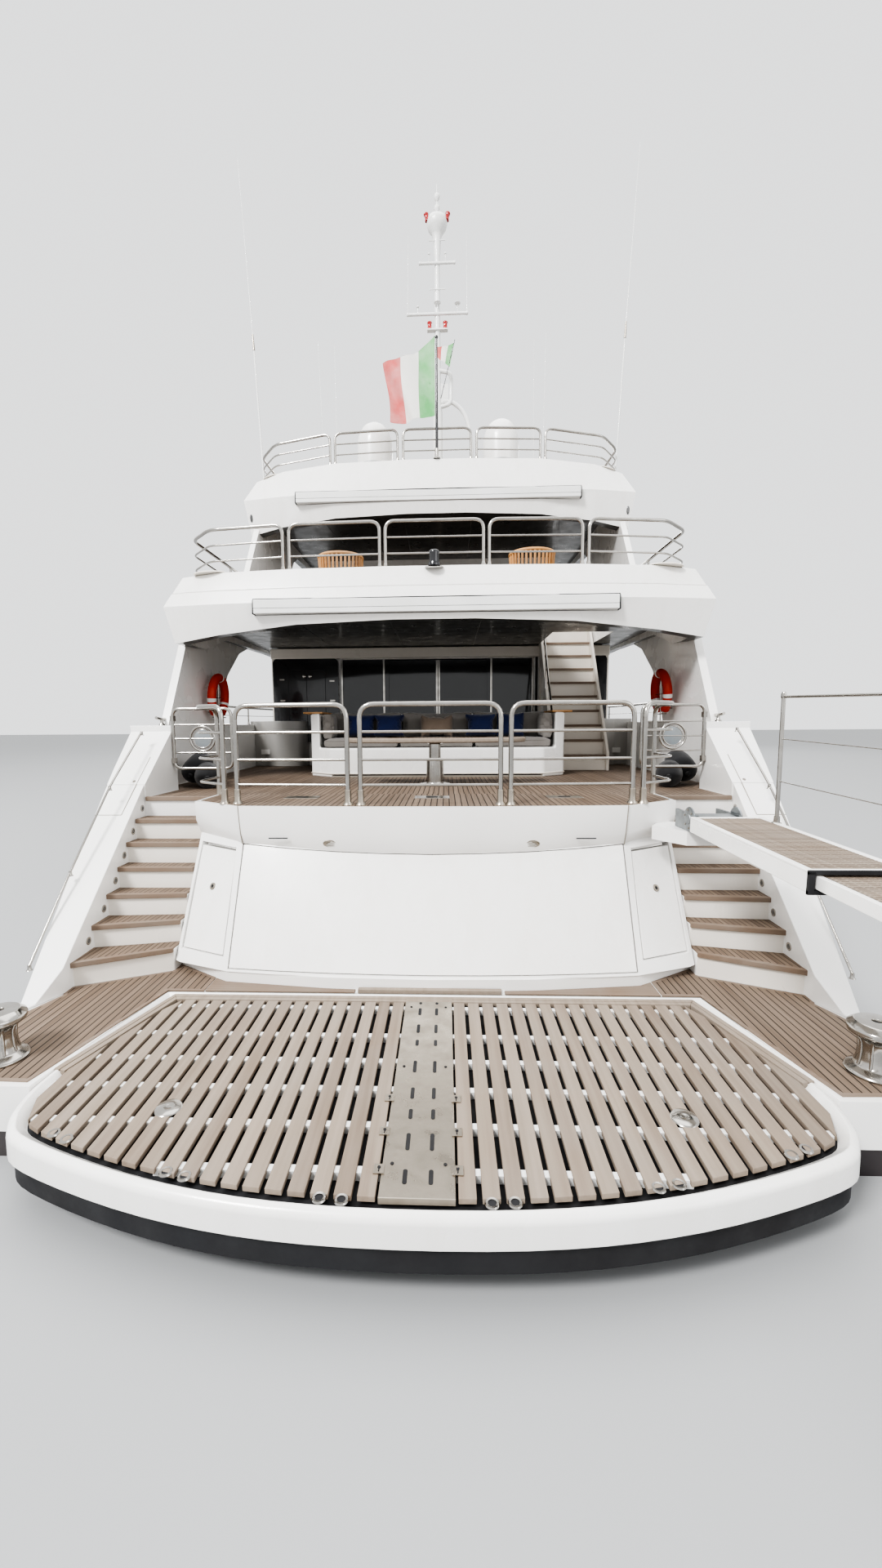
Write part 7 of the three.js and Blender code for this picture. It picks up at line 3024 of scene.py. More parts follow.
    def hand_line(self) -> Object:
        """Two stanchions with a top rail and two wires, along the outboard side.

        Returns:
            The finished piece.
        """
        bm = bmesh.new()
        posts = [(Vector((0.262, y - 0.08, 0.055)), Vector((0.290, y, 1.0))) for y in (-0.36, -1.56)]
        for foot, head in posts:
            add_bar(bm, foot, head, 0.015, 14)
            section = [(0, 0.055), (0.020, 0.055), (0.023, 0.012), (0.034, 0.006), (0.036, 0), (0, 0)]
            add_turned(bm, section, foot, steps=18)
            section = [(0, 0.026), (0.012, 0.022), (0.018, 0.008), (0.018, -0.012), (0, -0.012)]
            add_turned(bm, section, head, steps=16)
        for share, radius in ((0.985, 0.010), (0.66, 0.004), (0.33, 0.004)):
            ends = [foot.lerp(head, share) for foot, head in posts]
            add_bar(bm, ends[0], ends[1], radius, 10)
            for end in ends:
                section = [
                    (0, 0.010), (radius * 1.6, 0.010), (radius * 1.8, 0.0), (radius * 1.6, -0.010),
                    (0, -0.010),
                ]
                add_turned(bm, section, end, (0, 1, 0), 12)
        return self.publish(bm, "gangway_hand_line", Slot.STEEL, [POLISHED], "gangway_inner", False)

    def outer(self) -> Object:
        """The outer stage: slimmer beams, grating, bright edge strips and a rubber roller at its end.

        Returns:
            The finished piece.
        """
        bm = bmesh.new()
        for s in (1, -1):
            add_box(bm, (s * 0.204, -3.79, -0.038), (s * 0.236, -1.45, 0.036))
        add_box(bm, (-0.206, -3.70, -0.038), (0.206, -1.45, -0.028))
        add_box(bm, (-0.206, -3.70, -0.036), (0.206, -3.65, 0.034))
        add_box(bm, (-0.206, -1.49, -0.036), (0.206, -1.45, 0.034))
        round_edges(bm, 0.004, 3)
        for s in (1, -1):
            paint(add_bar(bm, (s * 0.199, -3.65, 0.030), (s * 0.199, -1.72, 0.030), 0.0045, 8), 3)
        paint(add_bar(bm, (-0.20, -3.757, 0.0), (0.20, -3.757, 0.0), 0.036, 24), 2)
        self.grating(bm, 0.193, -3.645, -1.495, 0.030)
        finishes = [GELCOAT, SLAT_TEAK, RUBBER_AND_SHADE, POLISHED]
        return self.publish(bm, "gangway_outer_stage", Slot.GELCOAT, finishes, "gangway_outer", True)


@dataclass
class Capstan:
    """A polished mooring capstan on its wing."""

    side: Side
    place: Point = (2.74, -16.60, 0.45)
    profile: Sequence[tuple[float, float]] = (
        (0, 0.008), (0.150, 0.008), (0.152, 0.020), (0.140, 0.034), (0.108, 0.048), (0.090, 0.064),
        (0.082, 0.100), (0.078, 0.150), (0.082, 0.195), (0.095, 0.228), (0.125, 0.252), (0.147, 0.262),
        (0.152, 0.275), (0.152, 0.292), (0.146, 0.304), (0.118, 0.326), (0.106, 0.333), (0.030, 0.335),
        (0.026, 0.331), (0.024, 0.318), (0, 0.318),
    )
    rib_profile: Sequence[tuple[float, float]] = (
        (0.094, 0.058), (0.083, 0.10), (0.079, 0.15), (0.083, 0.20), (0.098, 0.232)
    )

    def build(self) -> list[Object]:
        """Base, ribbed drum and cap with its socket.

        Returns:
            The finished pieces.
        """
        bm = bmesh.new()
        x, y, z = self.place
        x *= self.side.value
        add_turned(bm, self.profile, (x, y, z), steps=48)
        for k in range(8):
            a = k * math.tau / 8
            c, s = math.cos(a), math.sin(a)
            add_pipe(bm, [Vector((x + c * r, y + s * r, z + h)) for r, h in self.rib_profile], 0.009, 8)
        paint(add_turned(bm, plain_disc(0.0235, 0.319, 0.318), (x, y, z), steps=8), 1)
        node = f"capstan_{self.side.tag}"
        return [publish(bm, f"{node}_drum", Slot.STEEL, [POLISHED, RUBBER_AND_SHADE], node, [node])]


SHEER: Sequence[Point] = (
    (3.47, -14.0, 2.60), (3.57, -9.0, 2.62), (3.60, -3.0, 2.70), (3.60, 0.0, 2.78), (3.60, 1.2, 3.08), (
        3.60, 2.4, 3.90
    ),
    (3.59, 3.4, 4.30), (3.45, 7.0, 4.42), (3.10, 10.0, 4.56), (2.52, 12.5, 4.70), (1.80, 14.5, 4.82), (
        1.28, 15.6, 4.89
    ),
    (0.80, 16.4, 4.93),
)


def sheer_at(y: float) -> Vector:
    """The bulwark's edge at a place along the boat.

    Args:
        y: Place along the boat.

    Returns:
        The point on the starboard edge.
    """
    for low, high in zip(SHEER, SHEER[1:]):
        if low[1] <= y <= high[1]:
            return Vector(low).lerp(Vector(high), (y - low[1]) / (high[1] - low[1]))
    return Vector(SHEER[-1])


@dataclass
class MainRail:
    """The low rail along the bulwark from the aft deck's pillars round the bow."""

    stations: Sequence[float] = (
        -11.2, -9.6, -8.0, -6.4, -4.8, -3.2, -1.6, 0.0, 1.2, 2.4, 3.4, 5.2, 7.0, 8.5, 10.0, 11.3, 12.5, 13.6,
        14.5, 15.6, 16.4,
    )
    inset: float = 0.08
    rise: float = 0.30
    flange_profile: Sequence[tuple[float, float]] = (
        (0, 0.04), (0.018, 0.04), (0.020, 0.012), (0.034, 0.006), (0.036, 0.0), (0, 0)
    )

    def build(self) -> list[Object]:
        """Top rail, wire and posts with their flanges.

        Returns:
            The finished pieces.
        """
        bm = bmesh.new()
        feet = [sheer_at(y) - Vector((self.inset, 0, 0)) for y in self.stations]
        whole = [*feet, *[Vector((-p.x, p.y, p.z)) for p in reversed(feet)]]
        for lift, radius in ((self.rise, 0.019), (self.rise * 0.52, 0.006)):
            add_pipe(bm, [p + Vector((0, 0, lift)) for p in fair_path(whole)], radius, 10)
        for foot in whole:
            add_bar(bm, foot + Vector((0, 0, 0.004)), foot + Vector((0, 0, self.rise)), 0.014, 10)
            add_turned(bm, self.flange_profile, foot, steps=14)
        return [publish(bm, "main_rail_pipes", Slot.STEEL, [POLISHED], BOAT, ["main_rail"])]


@dataclass
class HullTrim:
    """What the topsides carry: a rubbing strake, portlights, mooring cleats and the anchors with their
    shackles.
    """

    strake_z: float = 2.06
    portlights: Sequence[float] = (-10.8, -9.2, -5.4, -3.8, 0.6, 2.2, 5.6, 7.1, 9.3, 10.6)
    portlight_z: float = 1.28
    portlight_stretch: float = 1.9
    portlight_ring: Sequence[tuple[float, float]] = (
        (0.128, 0.0), (0.132, 0.016), (0.150, 0.020), (0.166, 0.012), (0.168, -0.06), (0.128, -0.06),
        (0.128, 0.0),
    )
    cleat_foot: Sequence[tuple[float, float]] = (
        (0, 0.075), (0.018, 0.075), (0.020, 0.03), (0.036, 0.012), (0.040, 0.0), (0, 0.0)
    )

    def build(self) -> list[Object]:
        """Both sides.

        Returns:
            The finished pieces.
        """
        made = []
        for side in Side:
            made += [self.strake(side), self.ports(side), self.cleats(side)]
            node = f"anchor_{side.tag}"
            made += [Dressed(node, Slot.STEEL, [SATIN], BOAT, 0.012, 3).build(), self.shackle(side)]
        return made

    def side_hit(self, side: Side, y: float, z: float) -> tuple[Vector, Vector] | None:
        """Where the topside lies at a place and a height.

        Args:
            side: The side of the boat.
            y: Place along the boat.
            z: Its height.

        Returns:
            The point and the outward normal, or None where there is no topside.
        """
        for node in (f"bulwark_{side.tag}", "hull"):
            found = Probe.hit(node, (side.value * 8, y, z), (-side.value, 0, 0))
            if found and found[0].x * side.value > 0.3:
                return found
        return None

    def strake(self, side: Side) -> Object:
        """The white half-round strake with a bright strip along it.

        Args:
            side: The side of the boat.

        Returns:
            The finished piece.
        """
        bm = bmesh.new()
        line = []
        for k in range(56):
            y = -13.6 + k * 0.475
            found = self.side_hit(side, y, self.strake_z + max(0.0, y - 2.0) * 0.055)
            if found:
                line.append(found[0])
        add_pipe(bm, line, 0.034, 12)
        edge = [p + Vector((side.value * 0.030, 0, 0)) for p in line]
        paint(add_pipe(bm, edge, 0.012, 8), 1)
        return publish(bm, f"rubbing_strake_{side.tag}", Slot.GELCOAT, [GELCOAT, POLISHED])

    def port_plane(self, side: Side, y: float, z: float) -> tuple[Vector, Vector] | None:
        """The plane that lies just outside the topside round one portlight.

        Args:
            side: The side of the boat.
            y: Where the portlight's centre lies along the boat.
            z: Its height.

        Returns:
            The centre and the outward normal, or None where the topside isn't met.
        """
        reach, rise = 0.27, 0.13
        spots = [(reach * k / 6, rise * row) for k in range(-6, 7) for row in (-1, 0, 1)]
        grid = {spot: self.side_hit(side, y + spot[0], z + spot[1]) for spot in spots}
        if not all(grid.values()):
            return None
        met = {spot: found[0] for spot, found in grid.items()}
        along = met[(reach, 0)] - met[(-reach, 0)]
        normal = along.cross(met[(0, rise)] - met[(0, -rise)]).normalized() * side.value
        middle = met[(0, 0)]
        proud = max((spot - middle).dot(normal) for spot in met.values())
        return middle + normal * proud, normal

    def ports(self, side: Side) -> Object:
        """Oval portlights, each a dark pane in a bright ring that follows the topside.

        Args:
            side: The side of the boat.

        Returns:
            The finished piece.
        """
        bm = bmesh.new()
        for y in self.portlights:
            found = self.port_plane(side, y, self.portlight_z + max(0.0, y) * 0.06)
            if not found:
                continue
            spot, normal = found
            pane = add_turned(bm, plain_disc(0.131, 0.011, -0.01), spot, normal, 24)
            paint(pane, 1)
            along = (Vector((0, 1, 0)) - normal * normal.y).normalized()
            local = Matrix((along, normal.cross(along), normal)).to_4x4() @ Matrix.Translation(-spot)
            both = [*add_turned(bm, self.portlight_ring, spot, normal, 24), *pane]
            bmesh.ops.scale(bm, verts=both, vec=(self.portlight_stretch, 1, 1), space=local)
        return publish(bm, f"portlights_{side.tag}", Slot.STEEL, [POLISHED, DARK_GLASS])

    def cleats(self, side: Side) -> Object:
        """Horned mooring cleats on the bulwark's edge.

        Args:
            side: The side of the boat.

        Returns:
            The finished piece.
        """
        bm = bmesh.new()
        s = side.value
        for y in (-12.9, -2.2, 4.4, 13.1):
            foot = sheer_at(y)
            inner = Vector((s * (foot.x - 0.10), y, foot.z - 0.03))
            for step in (-0.085, 0.085):
                add_turned(bm, self.cleat_foot, inner + Vector((0, step, 0.03)), steps=16)
            horn = [
                inner + Vector((0, step, 0.112 + lift))
                for step, lift in ((-0.22, 0.012), (-0.12, 0), (0, -0.004), (0.12, 0), (0.22, 0.012))
            ]
            add_pipe(bm, fair_path(horn), 0.018, 12)
        return publish(bm, f"cleats_{side.tag}", Slot.STEEL, [POLISHED])

    def shackle(self, side: Side) -> Object:
        """The ring at the head of the anchor's shank, and its pin.

        Args:
            side: The side of the boat.

        Returns:
            The finished piece.
        """
        bm = bmesh.new()
        s = side.value
        centre = Vector((s * 1.41, 14.05, 3.30))
        add_pipe(bm, ellipse(centre, (0, 0.055, 0), (0, 0, 0.07), 20), 0.014, 10, closed=True)
        add_bar(bm, centre + Vector((-0.06, 0, -0.062)), centre + Vector((0.06, 0, -0.062)), 0.013, 10)
        return publish(bm, f"anchor_shackle_{side.tag}", Slot.STEEL, [SATIN])


@dataclass
class Foredeck:
    """The foredeck: laid teak, hatch, windlass with its chains, and the sun pad on its moulded base."""

    level: float = 4.0
    edge: Sequence[tuple[float, float]] = (
        (3.24, 6.95), (2.88, 10.0), (2.30, 12.5), (1.58, 14.5), (1.04, 15.6), (0.52, 16.3)
    )
    hatch_gap: tuple[float, float, float] = (0.42, 12.965, 13.80)
    handle_profile: Sequence[tuple[float, float]] = ((0, 0.012), (0.018, 0.010), (0.022, 0), (0, 0))
    drum_profile: Sequence[tuple[float, float]] = (
        (0, 0.05), (0.120, 0.05), (0.120, 0.075), (0.085, 0.090), (0.080, 0.105), (0.115, 0.120),
        (0.118, 0.135), (0.075, 0.150), (0.062, 0.185), (0.072, 0.215), (0.112, 0.230), (0.114, 0.245),
        (0.080, 0.258), (0, 0.260),
    )

    def edge_at(self, y: float) -> float:
        """Half the planking's width at a place along it.

        Args:
            y: Place along the boat.

        Returns:
            The half width.
        """
        for (x0, y0), (x1, y1) in zip(self.edge, self.edge[1:]):
            if y0 <= y <= y1:
                return x0 + (x1 - x0) * (y - y0) / (y1 - y0)
        return self.edge[-1][0]

    def build(self) -> list[Object]:
        """Everything on the foredeck."""
        return [self.teak(), self.hatch(), self.windlass(), self.chains(), self.base(), *self.pads()]

    def teak(self) -> Object:
        """Planking laid in three stretches, so that the hatch's stretch stays open in the middle.

        Returns:
            The finished piece.
        """
        bm = bmesh.new()
        half, y0, y1 = self.hatch_gap
        z0, z1 = self.level - SUNK, self.level + 0.006
        aft = [p for p in self.edge if p[1] < y0] + [(self.edge_at(y0), y0)]
        ahead = [(self.edge_at(y1), y1)] + [p for p in self.edge if p[1] > y1]
        add_slab(bm, mirrored(aft), z0, z1)
        add_slab(bm, mirrored(ahead), z0, z1)
        for s in (1, -1):
            side = [(half, y0), (self.edge_at(y0), y0), (self.edge_at(y1), y1), (half, y1)]
            add_slab(bm, [(s * x, y) for x, y in side], z0, z1)
        return publish(bm, "foredeck_teak", Slot.TEAK, [DECK_TEAK])

    def hatch(self) -> Object:
        """The flush hatch: a white frame round a dark pane, with hinges and handles.

        Returns:
            The finished piece.
        """
        bm = copy_of("foredeck_hatch")
        top = max(bm.faces, key=lambda f: f.calc_area() if f.normal.z > 0.9 else 0)
        bmesh.ops.inset_region(bm, faces=[top], thickness=0.055, use_even_offset=True)
        bmesh.ops.translate(bm, verts=top.verts, vec=(0, 0, -0.004))
        top.material_index = 1
        round_edges(bm, 0.008, 3)
        for x in (-0.24, 0.24):
            paint(add_bar(bm, (x - 0.05, 13.745, 4.012), (x + 0.05, 13.745, 4.012), 0.010, 12), 2)
            paint(add_turned(bm, self.handle_profile, (x, 13.035, 4.011), steps=18), 2)
        return publish(
            bm, "foredeck_hatch_lid", Slot.GLASS, [GELCOAT, DARK_GLASS, SATIN], "foredeck_hatch",
            ["foredeck_hatch"],
        )

    def windlass(self) -> Object:
        """Two gypsies on one bed plate, with brake wheels and foot switches.

        Returns:
            The finished piece.
        """
        bm = bmesh.new()
        z = self.level
        add_box(bm, (-0.42, 14.40, z + 0.002), (0.42, 14.80, z + 0.055))
        round_edges(bm, 0.014, 4)
        for s in (1, -1):
            add_turned(bm, self.drum_profile, (s * 0.26, 14.6, z), steps=36)
            for foot in ellipse((s * 0.26, 14.6, z + 0.088), (0.09, 0, 0), (0, 0.09, 0), 8):
                add_bar(bm, foot, foot + Vector((0, 0, 0.034)), 0.012, 8)
            wheel = ellipse((s * 0.26, 14.6, z + 0.262), (0.06, 0, 0), (0, 0.06, 0), 20)
            add_pipe(bm, wheel, 0.008, 8, closed=True)
            section = [(0, 0.018), (0.030, 0.016), (0.038, 0.0), (0, 0)]
            paint(add_turned(bm, section, (s * 0.10, 14.30, z + 0.004), steps=20), 1)
            section = [(0.045, 0.0), (0.050, 0.018), (0.068, 0.022), (0.078, 0.0), (0.045, 0.0)]
            add_turned(bm, section, (s * 0.24, 15.28, z + 0.004), steps=24)
            paint(add_turned(bm, plain_disc(0.046, 0.006), (s * 0.24, 15.28, z + 0.004), steps=20), 1)
            add_box(bm, (s * 0.24 - 0.045, 15.02, z + 0.004), (s * 0.24 + 0.045, 15.12, z + 0.05))
        return publish(bm, "windlass_works", Slot.STEEL, [POLISHED, RUBBER_AND_SHADE], BOAT, ["windlass"])

    def chains(self) -> Object:
        """A short run of studless chain from each gypsy to its deck pipe.

        Returns:
            The finished piece.
        """
        bm = bmesh.new()
        for s in (1, -1):
            a, b = Vector((s * 0.245, 14.71, self.level + 0.10)), Vector(
                (s * 0.24, 15.26, self.level + 0.045)
            )
            count = 15
            for k in range(count):
                centre = a.lerp(b, (k + 0.5) / count)
                side = Vector((0, 0, 1)) if k % 2 else Vector((1, 0, 0))
                run = (b - a).normalized()
                add_pipe(bm, ellipse(centre, run * 0.028, side * 0.017, 14), 0.006, 6, closed=True)
        return publish(bm, "anchor_chains", Slot.STEEL, [SATIN])

    def base(self) -> Object:
        """The moulded base under the sun pad, with a recessed kick and a bolster's shelf.

        Returns:
            The finished piece.
        """
        bm = bmesh.new()
        add_box(bm, (-1.40, 8.70, self.level + 0.004), (1.40, 11.10, self.level + 0.08))
        add_box(bm, (-1.49, 8.61, self.level + 0.08), (1.49, 11.19, self.level + 0.235))
        round_edges(bm, 0.025, 4)
        for s in (1, -1):
            rail = [
                (s * 1.475, 8.9, self.level + 0.16), (s * 1.505, 8.9, self.level + 0.16),
                (s * 1.505, 10.9, self.level + 0.16), (s * 1.475, 10.9, self.level + 0.16),
            ]
            paint(add_pipe(bm, rounded(rail, 0.012, 3), 0.009, 8), 1)
        return publish(bm, "sunpad_base", Slot.GELCOAT, [GELCOAT, POLISHED])

    def pads(self) -> list[Object]:
        """Three long pads and a head roll across them.

        Returns:
            The finished pieces.
        """
        made = []
        z = self.level
        for k, x in enumerate((-1.47, -0.485, 0.50)):
            name, stands_for = f"sunpad_{k}", ["foredeck_sunpad"] if k == 0 else []
            low, high = (x, 8.63, z + 0.236), (x + 0.97, 10.78, z + 0.405)
            made.append(Pad(name, low, high, CREAM_CANVAS, replaced=stands_for, cap=0.026).build())
            low, high = (x, 10.80, z + 0.236), (x + 0.97, 11.17, z + 0.42)
            made.append(Pad(f"sunpad_head_{k}", low, high, CREAM_CANVAS, cap=0.026).build())
        return made


@dataclass
class FlyDeck:
    """The upper helm: moulded console with screens, wheel and levers, its screen, and the padded bench."""

    level: float = SUN_Z
    desk_profile: Sequence[tuple[float, float]] = (
        (2.20, 0.004), (3.30, 0.004), (3.30, 0.85), (2.90, 1.0), (2.78, 1.0), (2.30, 0.80), (2.20, 0.62)
    )

    def build(self) -> list[Object]:
        """Console, instruments and bench."""
        return [self.console(), self.helm(), self.bench(), *self.pads()]

    def console(self) -> Object:
        """The desk with rounded corners, and the tinted wind screen across the deck.

        Returns:
            The finished piece.
        """
        bm = bmesh.new()
        z = self.level
        add_prism(bm, [(-0.90, y, z + h) for y, h in self.desk_profile], Vector((1.80, 0, 0)))
        round_edges(bm, 0.035, 4)
        pane = [
            (-1.80, 3.245, z + 0.60), (1.80, 3.245, z + 0.60), (1.62, 2.905, z + 1.35),
            (-1.62, 2.905, z + 1.35),
        ]
        tint(add_prism(bm, pane, Vector((0, 0.018, 0.008))), 1)
        edge = [
            (-1.80, 3.256, z + 0.60), (-1.62, 2.916, z + 1.354), (1.62, 2.916, z + 1.354),
            (1.80, 3.256, z + 0.60),
        ]
        paint(add_pipe(bm, rounded(edge, 0.12, 5), 0.013, 10), 2)
        for x in (-1.70, -0.85, 0.85, 1.70):
            paint(add_bar(bm, (x, 3.25, z + 0.62), (x * 0.99, 3.25, z + 0.004), 0.014, 10), 2)
        return publish(
            bm, "fly_console_desk", Slot.GELCOAT, [GELCOAT, SMOKED, POLISHED], BOAT, ["fly_console"]
        )

    def helm(self) -> Object:
        """Two displays, a compass, levers and the wheel.

        Returns:
            The finished piece.
        """
        bm = bmesh.new()
        z = self.level
        out = Vector((0, -0.385, 0.923))
        for x in (-0.48, 0.0, 0.48):
            centre = Vector((x, 2.54, z + 0.905))
            plate = [
                centre + Vector((dx, dy * 0.923, dy * 0.385))
                for dx, dy in ((-0.2, -0.13), (0.2, -0.13), (0.2, 0.13), (-0.2, 0.13))
            ]
            add_prism(bm, plate, out * 0.018)
        for x in (0.32, 0.40):
            paint(add_bar(bm, (x, 2.33, z + 0.80), (x, 2.27, z + 0.93), 0.011, 10), 1)
            section = [(0, 0.02), (0.016, 0.012), (0.018, -0.005), (0, -0.012)]
            paint(add_turned(bm, section, (x, 2.265, z + 0.935), steps=14), 2)
        hub = Vector((-0.05, 2.13, z + 0.70))
        rim = ellipse(hub, (0.19, 0, 0), (0, -0.057, 0.18126), 32)
        paint(add_pipe(bm, rim, 0.014, 12, closed=True), 2)
        for k in (0, 11, 21):
            paint(add_bar(bm, hub, rim[k], 0.009, 8), 1)
        paint(add_bar(bm, hub, hub + Vector((0, 0.12, 0.03)), 0.026, 16), 1)
        section = [(0, 0.09), (0.045, 0.08), (0.06, 0.05), (0.065, 0.0), (0, 0)]
        paint(add_turned(bm, section, (0.0, 2.86, z + 0.995), steps=24), 2)
        return publish(bm, "fly_helm", Slot.DARK_STEEL, [DARK_GLASS, POLISHED, LACQUER])

    def bench(self) -> Object:
        """The moulded bench and its back shell.

        Returns:
            The finished piece.
        """
        bm = bmesh.new()
        z = self.level
        add_box(bm, (-0.86, 0.66, z + 0.004), (0.86, 1.20, z + 0.08))
        add_box(bm, (-0.89, 0.56, z + 0.08), (0.89, 1.24, z + 0.335))
        add_box(bm, (-0.89, 0.455, z + 0.06), (0.89, 0.565, z + 0.93))
        round_edges(bm, 0.022, 4)
        return publish(bm, "fly_bench", Slot.GELCOAT, [GELCOAT])

    def pads(self) -> list[Object]:
        """Two seat pads and two back pads.

        Returns:
            The finished pieces.
        """
        made = []
        z = self.level
        for k, x in enumerate((-0.875, 0.005)):
            own = ["fly_seat"] if k == 0 else []
            made.append(
                Pad(
                    f"fly_seat_{k}",
                    (x, 0.60, z + 0.336),
                    (x + 0.87, 1.235, z + 0.475),
                    CREAM_CANVAS,
                    replaced=own,
                ).build()
            )
            made.append(
                Pad(
                    f"fly_back_{k}",
                    (x, 0.567, z + 0.48),
                    (x + 0.87, 0.69, z + 0.925),
                    CREAM_CANVAS,
                    rests=(1, -1),
                ).build()
            )
        return made


@dataclass
class HouseTrim:
    """What dresses the two houses: gaskets, mullions, door furniture, side lamps and wipers."""

    walls: Sequence[tuple[str, float]] = (
        ("main_house", 0.012), ("upper_house", 0.012), ("upper_house_front", 0.014), ("upper_coaming", 0.02)
    )
    main_panes: Sequence[tuple[float, float]] = (
        (-8.895, -6.30), (-6.30, -3.60), (-3.60, -0.90), (-0.90, 0.995)
    )
    upper_panes: Sequence[tuple[float, float]] = ((-6.095, -3.50), (-3.50, -1.00), (-1.00, 1.90))
    side_pane: tuple[float, float, float, float] = (3.30, 4.10, 5.06, 6.08)

    def build(self) -> list[Object]:
        """Skins, frames and fittings.

        Returns:
            The finished pieces.
        """
        made = [Dressed(node, Slot.GELCOAT, [GELCOAT], BOAT, width, 3).build() for node, width in self.walls]
        made += [self.glass("upper_aft_glass"), self.glass("windshield"), self.wipers(), self.aft_steel()]
        for side in Side:
            made += [self.glass(f"{level}_side_glass_{side.tag}") for level in ("main", "upper")]
            node = f"wheelhouse_door_{side.tag}"
            made.append(Dressed(node, Slot.GELCOAT, [GELCOAT], node, 0.008, 3).build())
            made += [self.gaskets(side), self.door(side), self.side_light(side), self.lamps(side)]
        return made

    def glass(self, node: str) -> Object:
        """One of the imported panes."""
        return Dressed(node, Slot.GLASS, [DARK_GLASS], BOAT, 0.003).build()

    def gaskets(self, side: Side) -> Object:
        """Black gaskets round each pane and a bright strip under each band.

        Args:
            side: The side of the boat.

        Returns:
            The finished piece.
        """
        bm = bmesh.new()
        s = side.value
        for panes, x, z0, z1 in (
            (self.main_panes, 2.951, 2.585, 3.615), (self.upper_panes, 2.543, 5.005, 6.135)
        ):
            for y0, y1 in panes:
                loop = oblong((y0 + 0.006, z0), (y1 - 0.006, z1), 0.05, 4)
                add_pipe(bm, [Vector((s * x, y, z)) for y, z in loop], 0.009, 8, closed=True)
            a, b = panes[0][0] - 0.03, panes[-1][1] + 0.03
            paint(add_bar(bm, (s * x, a, z0 - 0.045), (s * x, b, z0 - 0.045), 0.008, 8), 1)
        return publish(bm, f"window_gaskets_{side.tag}", Slot.DARK_STEEL, [RUBBER_AND_SHADE, POLISHED])

    def aft_steel(self) -> Object:
        """The stiles, head and sill of the upper deck's glass aft wall, with its door pulls.

        Returns:
            The finished piece.
        """
        bm = bmesh.new()
        y = -6.484
        for x in (-2.44, -1.22, -0.02, 0.02, 1.22, 2.44):
            add_box(bm, (x - 0.018, y, 4.33), (x + 0.018, y + 0.02, 6.13))
        for z in (4.335, 6.125):
            add_box(bm, (-2.45, y - 0.002, z - 0.018), (2.45, y + 0.02, z + 0.018))
        round_edges(bm, 0.003, 2)
        for x in (-0.10, 0.10):
            pull = [(x, y + 0.004, 5.0), (x, y - 0.05, 5.0), (x, y - 0.05, 5.45), (x, y + 0.004, 5.45)]
            add_pipe(bm, rounded(pull, 0.03, 4), 0.011, 10)
        return publish(bm, "upper_aft_frame", Slot.STEEL, [POLISHED])

    def door(self, side: Side) -> Object:
        """A dark pane with a bright edge, and a pull, on one sliding wheelhouse door.

        Args:
            side: The side of the boat.

        Returns:
            The finished piece.
        """
        bm = bmesh.new()
        s = side.value
        pane = add_box(bm, (s * 2.596, 2.24, 5.10), (s * 2.6035, 2.86, 6.04))
        long = [
            e
            for e in {e for v in pane for e in v.link_edges} if abs(e.verts[0].co.x - e.verts[1].co.x) > 0.004
        ]
        bevel(bm, long, 0.07, 5)
        loop = [Vector((s * 2.602, y, z)) for y, z in oblong((2.24, 5.10), (2.86, 6.04), 0.07, 5)]
        paint(add_pipe(bm, loop, 0.006, 8, closed=True), 1)
        pull = [
            (s * 2.598, 2.19, 4.85), (s * 2.640, 2.19, 4.85), (s * 2.640, 2.19, 5.15), (s * 2.598, 2.19, 5.15)
        ]
        paint(add_pipe(bm, rounded(pull, 0.018, 4), 0.009, 10), 1)
        node = f"wheelhouse_door_{side.tag}"
        return publish(bm, f"{node}_fittings", Slot.GLASS, [DARK_GLASS, POLISHED], node)

    def side_light(self, side: Side) -> Object:
        """The pane in the opening ahead of the sliding door, with its gasket.

        Args:
            side: The side of the boat.

        Returns:
            The finished piece.
        """
        bm = bmesh.new()
        y0, y1, z0, z1 = self.side_pane
        inner, outer = (side.value * x for x in (2.528, 2.542))
        add_box(bm, (inner, y0 + 0.002, z0 + 0.002), (outer, y1 - 0.002, z1 - 0.002))
        edge = [Vector((side.value * 2.548, y, z)) for y, z in oblong((y0, z0), (y1, z1), 0.05, 4)]
        paint(add_pipe(bm, edge, 0.012, 8, closed=True), 1)
        return publish(bm, f"wheelhouse_pane_{side.tag}", Slot.GLASS, [DARK_GLASS, RUBBER_AND_SHADE])

    def lamps(self, side: Side) -> Object:
        """The side lamp in its screen, on the upper house.

        Args:
            side: The side of the boat.

        Returns:
            The finished piece.
        """
        bm = bmesh.new()
        s = side.value
        add_box(bm, (s * 2.545, 3.42, 6.165), (s * 2.67, 3.80, 6.18))
        section = [(0, 0.075), (0.040, 0.075), (0.046, 0.065), (0.046, 0.01), (0.05, 0.0), (0, 0)]
        add_turned(bm, section, (s * 2.61, 3.60, 6.18), steps=24)
        section = [(0.0465, 0.015), (0.049, 0.02), (0.049, 0.055), (0.0465, 0.06), (0.0465, 0.015)]
        lens = add_turned(bm, section, (s * 2.61, 3.60, 6.18), steps=24)
        paint(lens, 1)
        return publish(
            bm,
            f"side_lamp_{side.tag}",
            Slot.DARK_STEEL,
            [LACQUER, LAMP_RED if side is Side.PORT else LAMP_GREEN],
        )

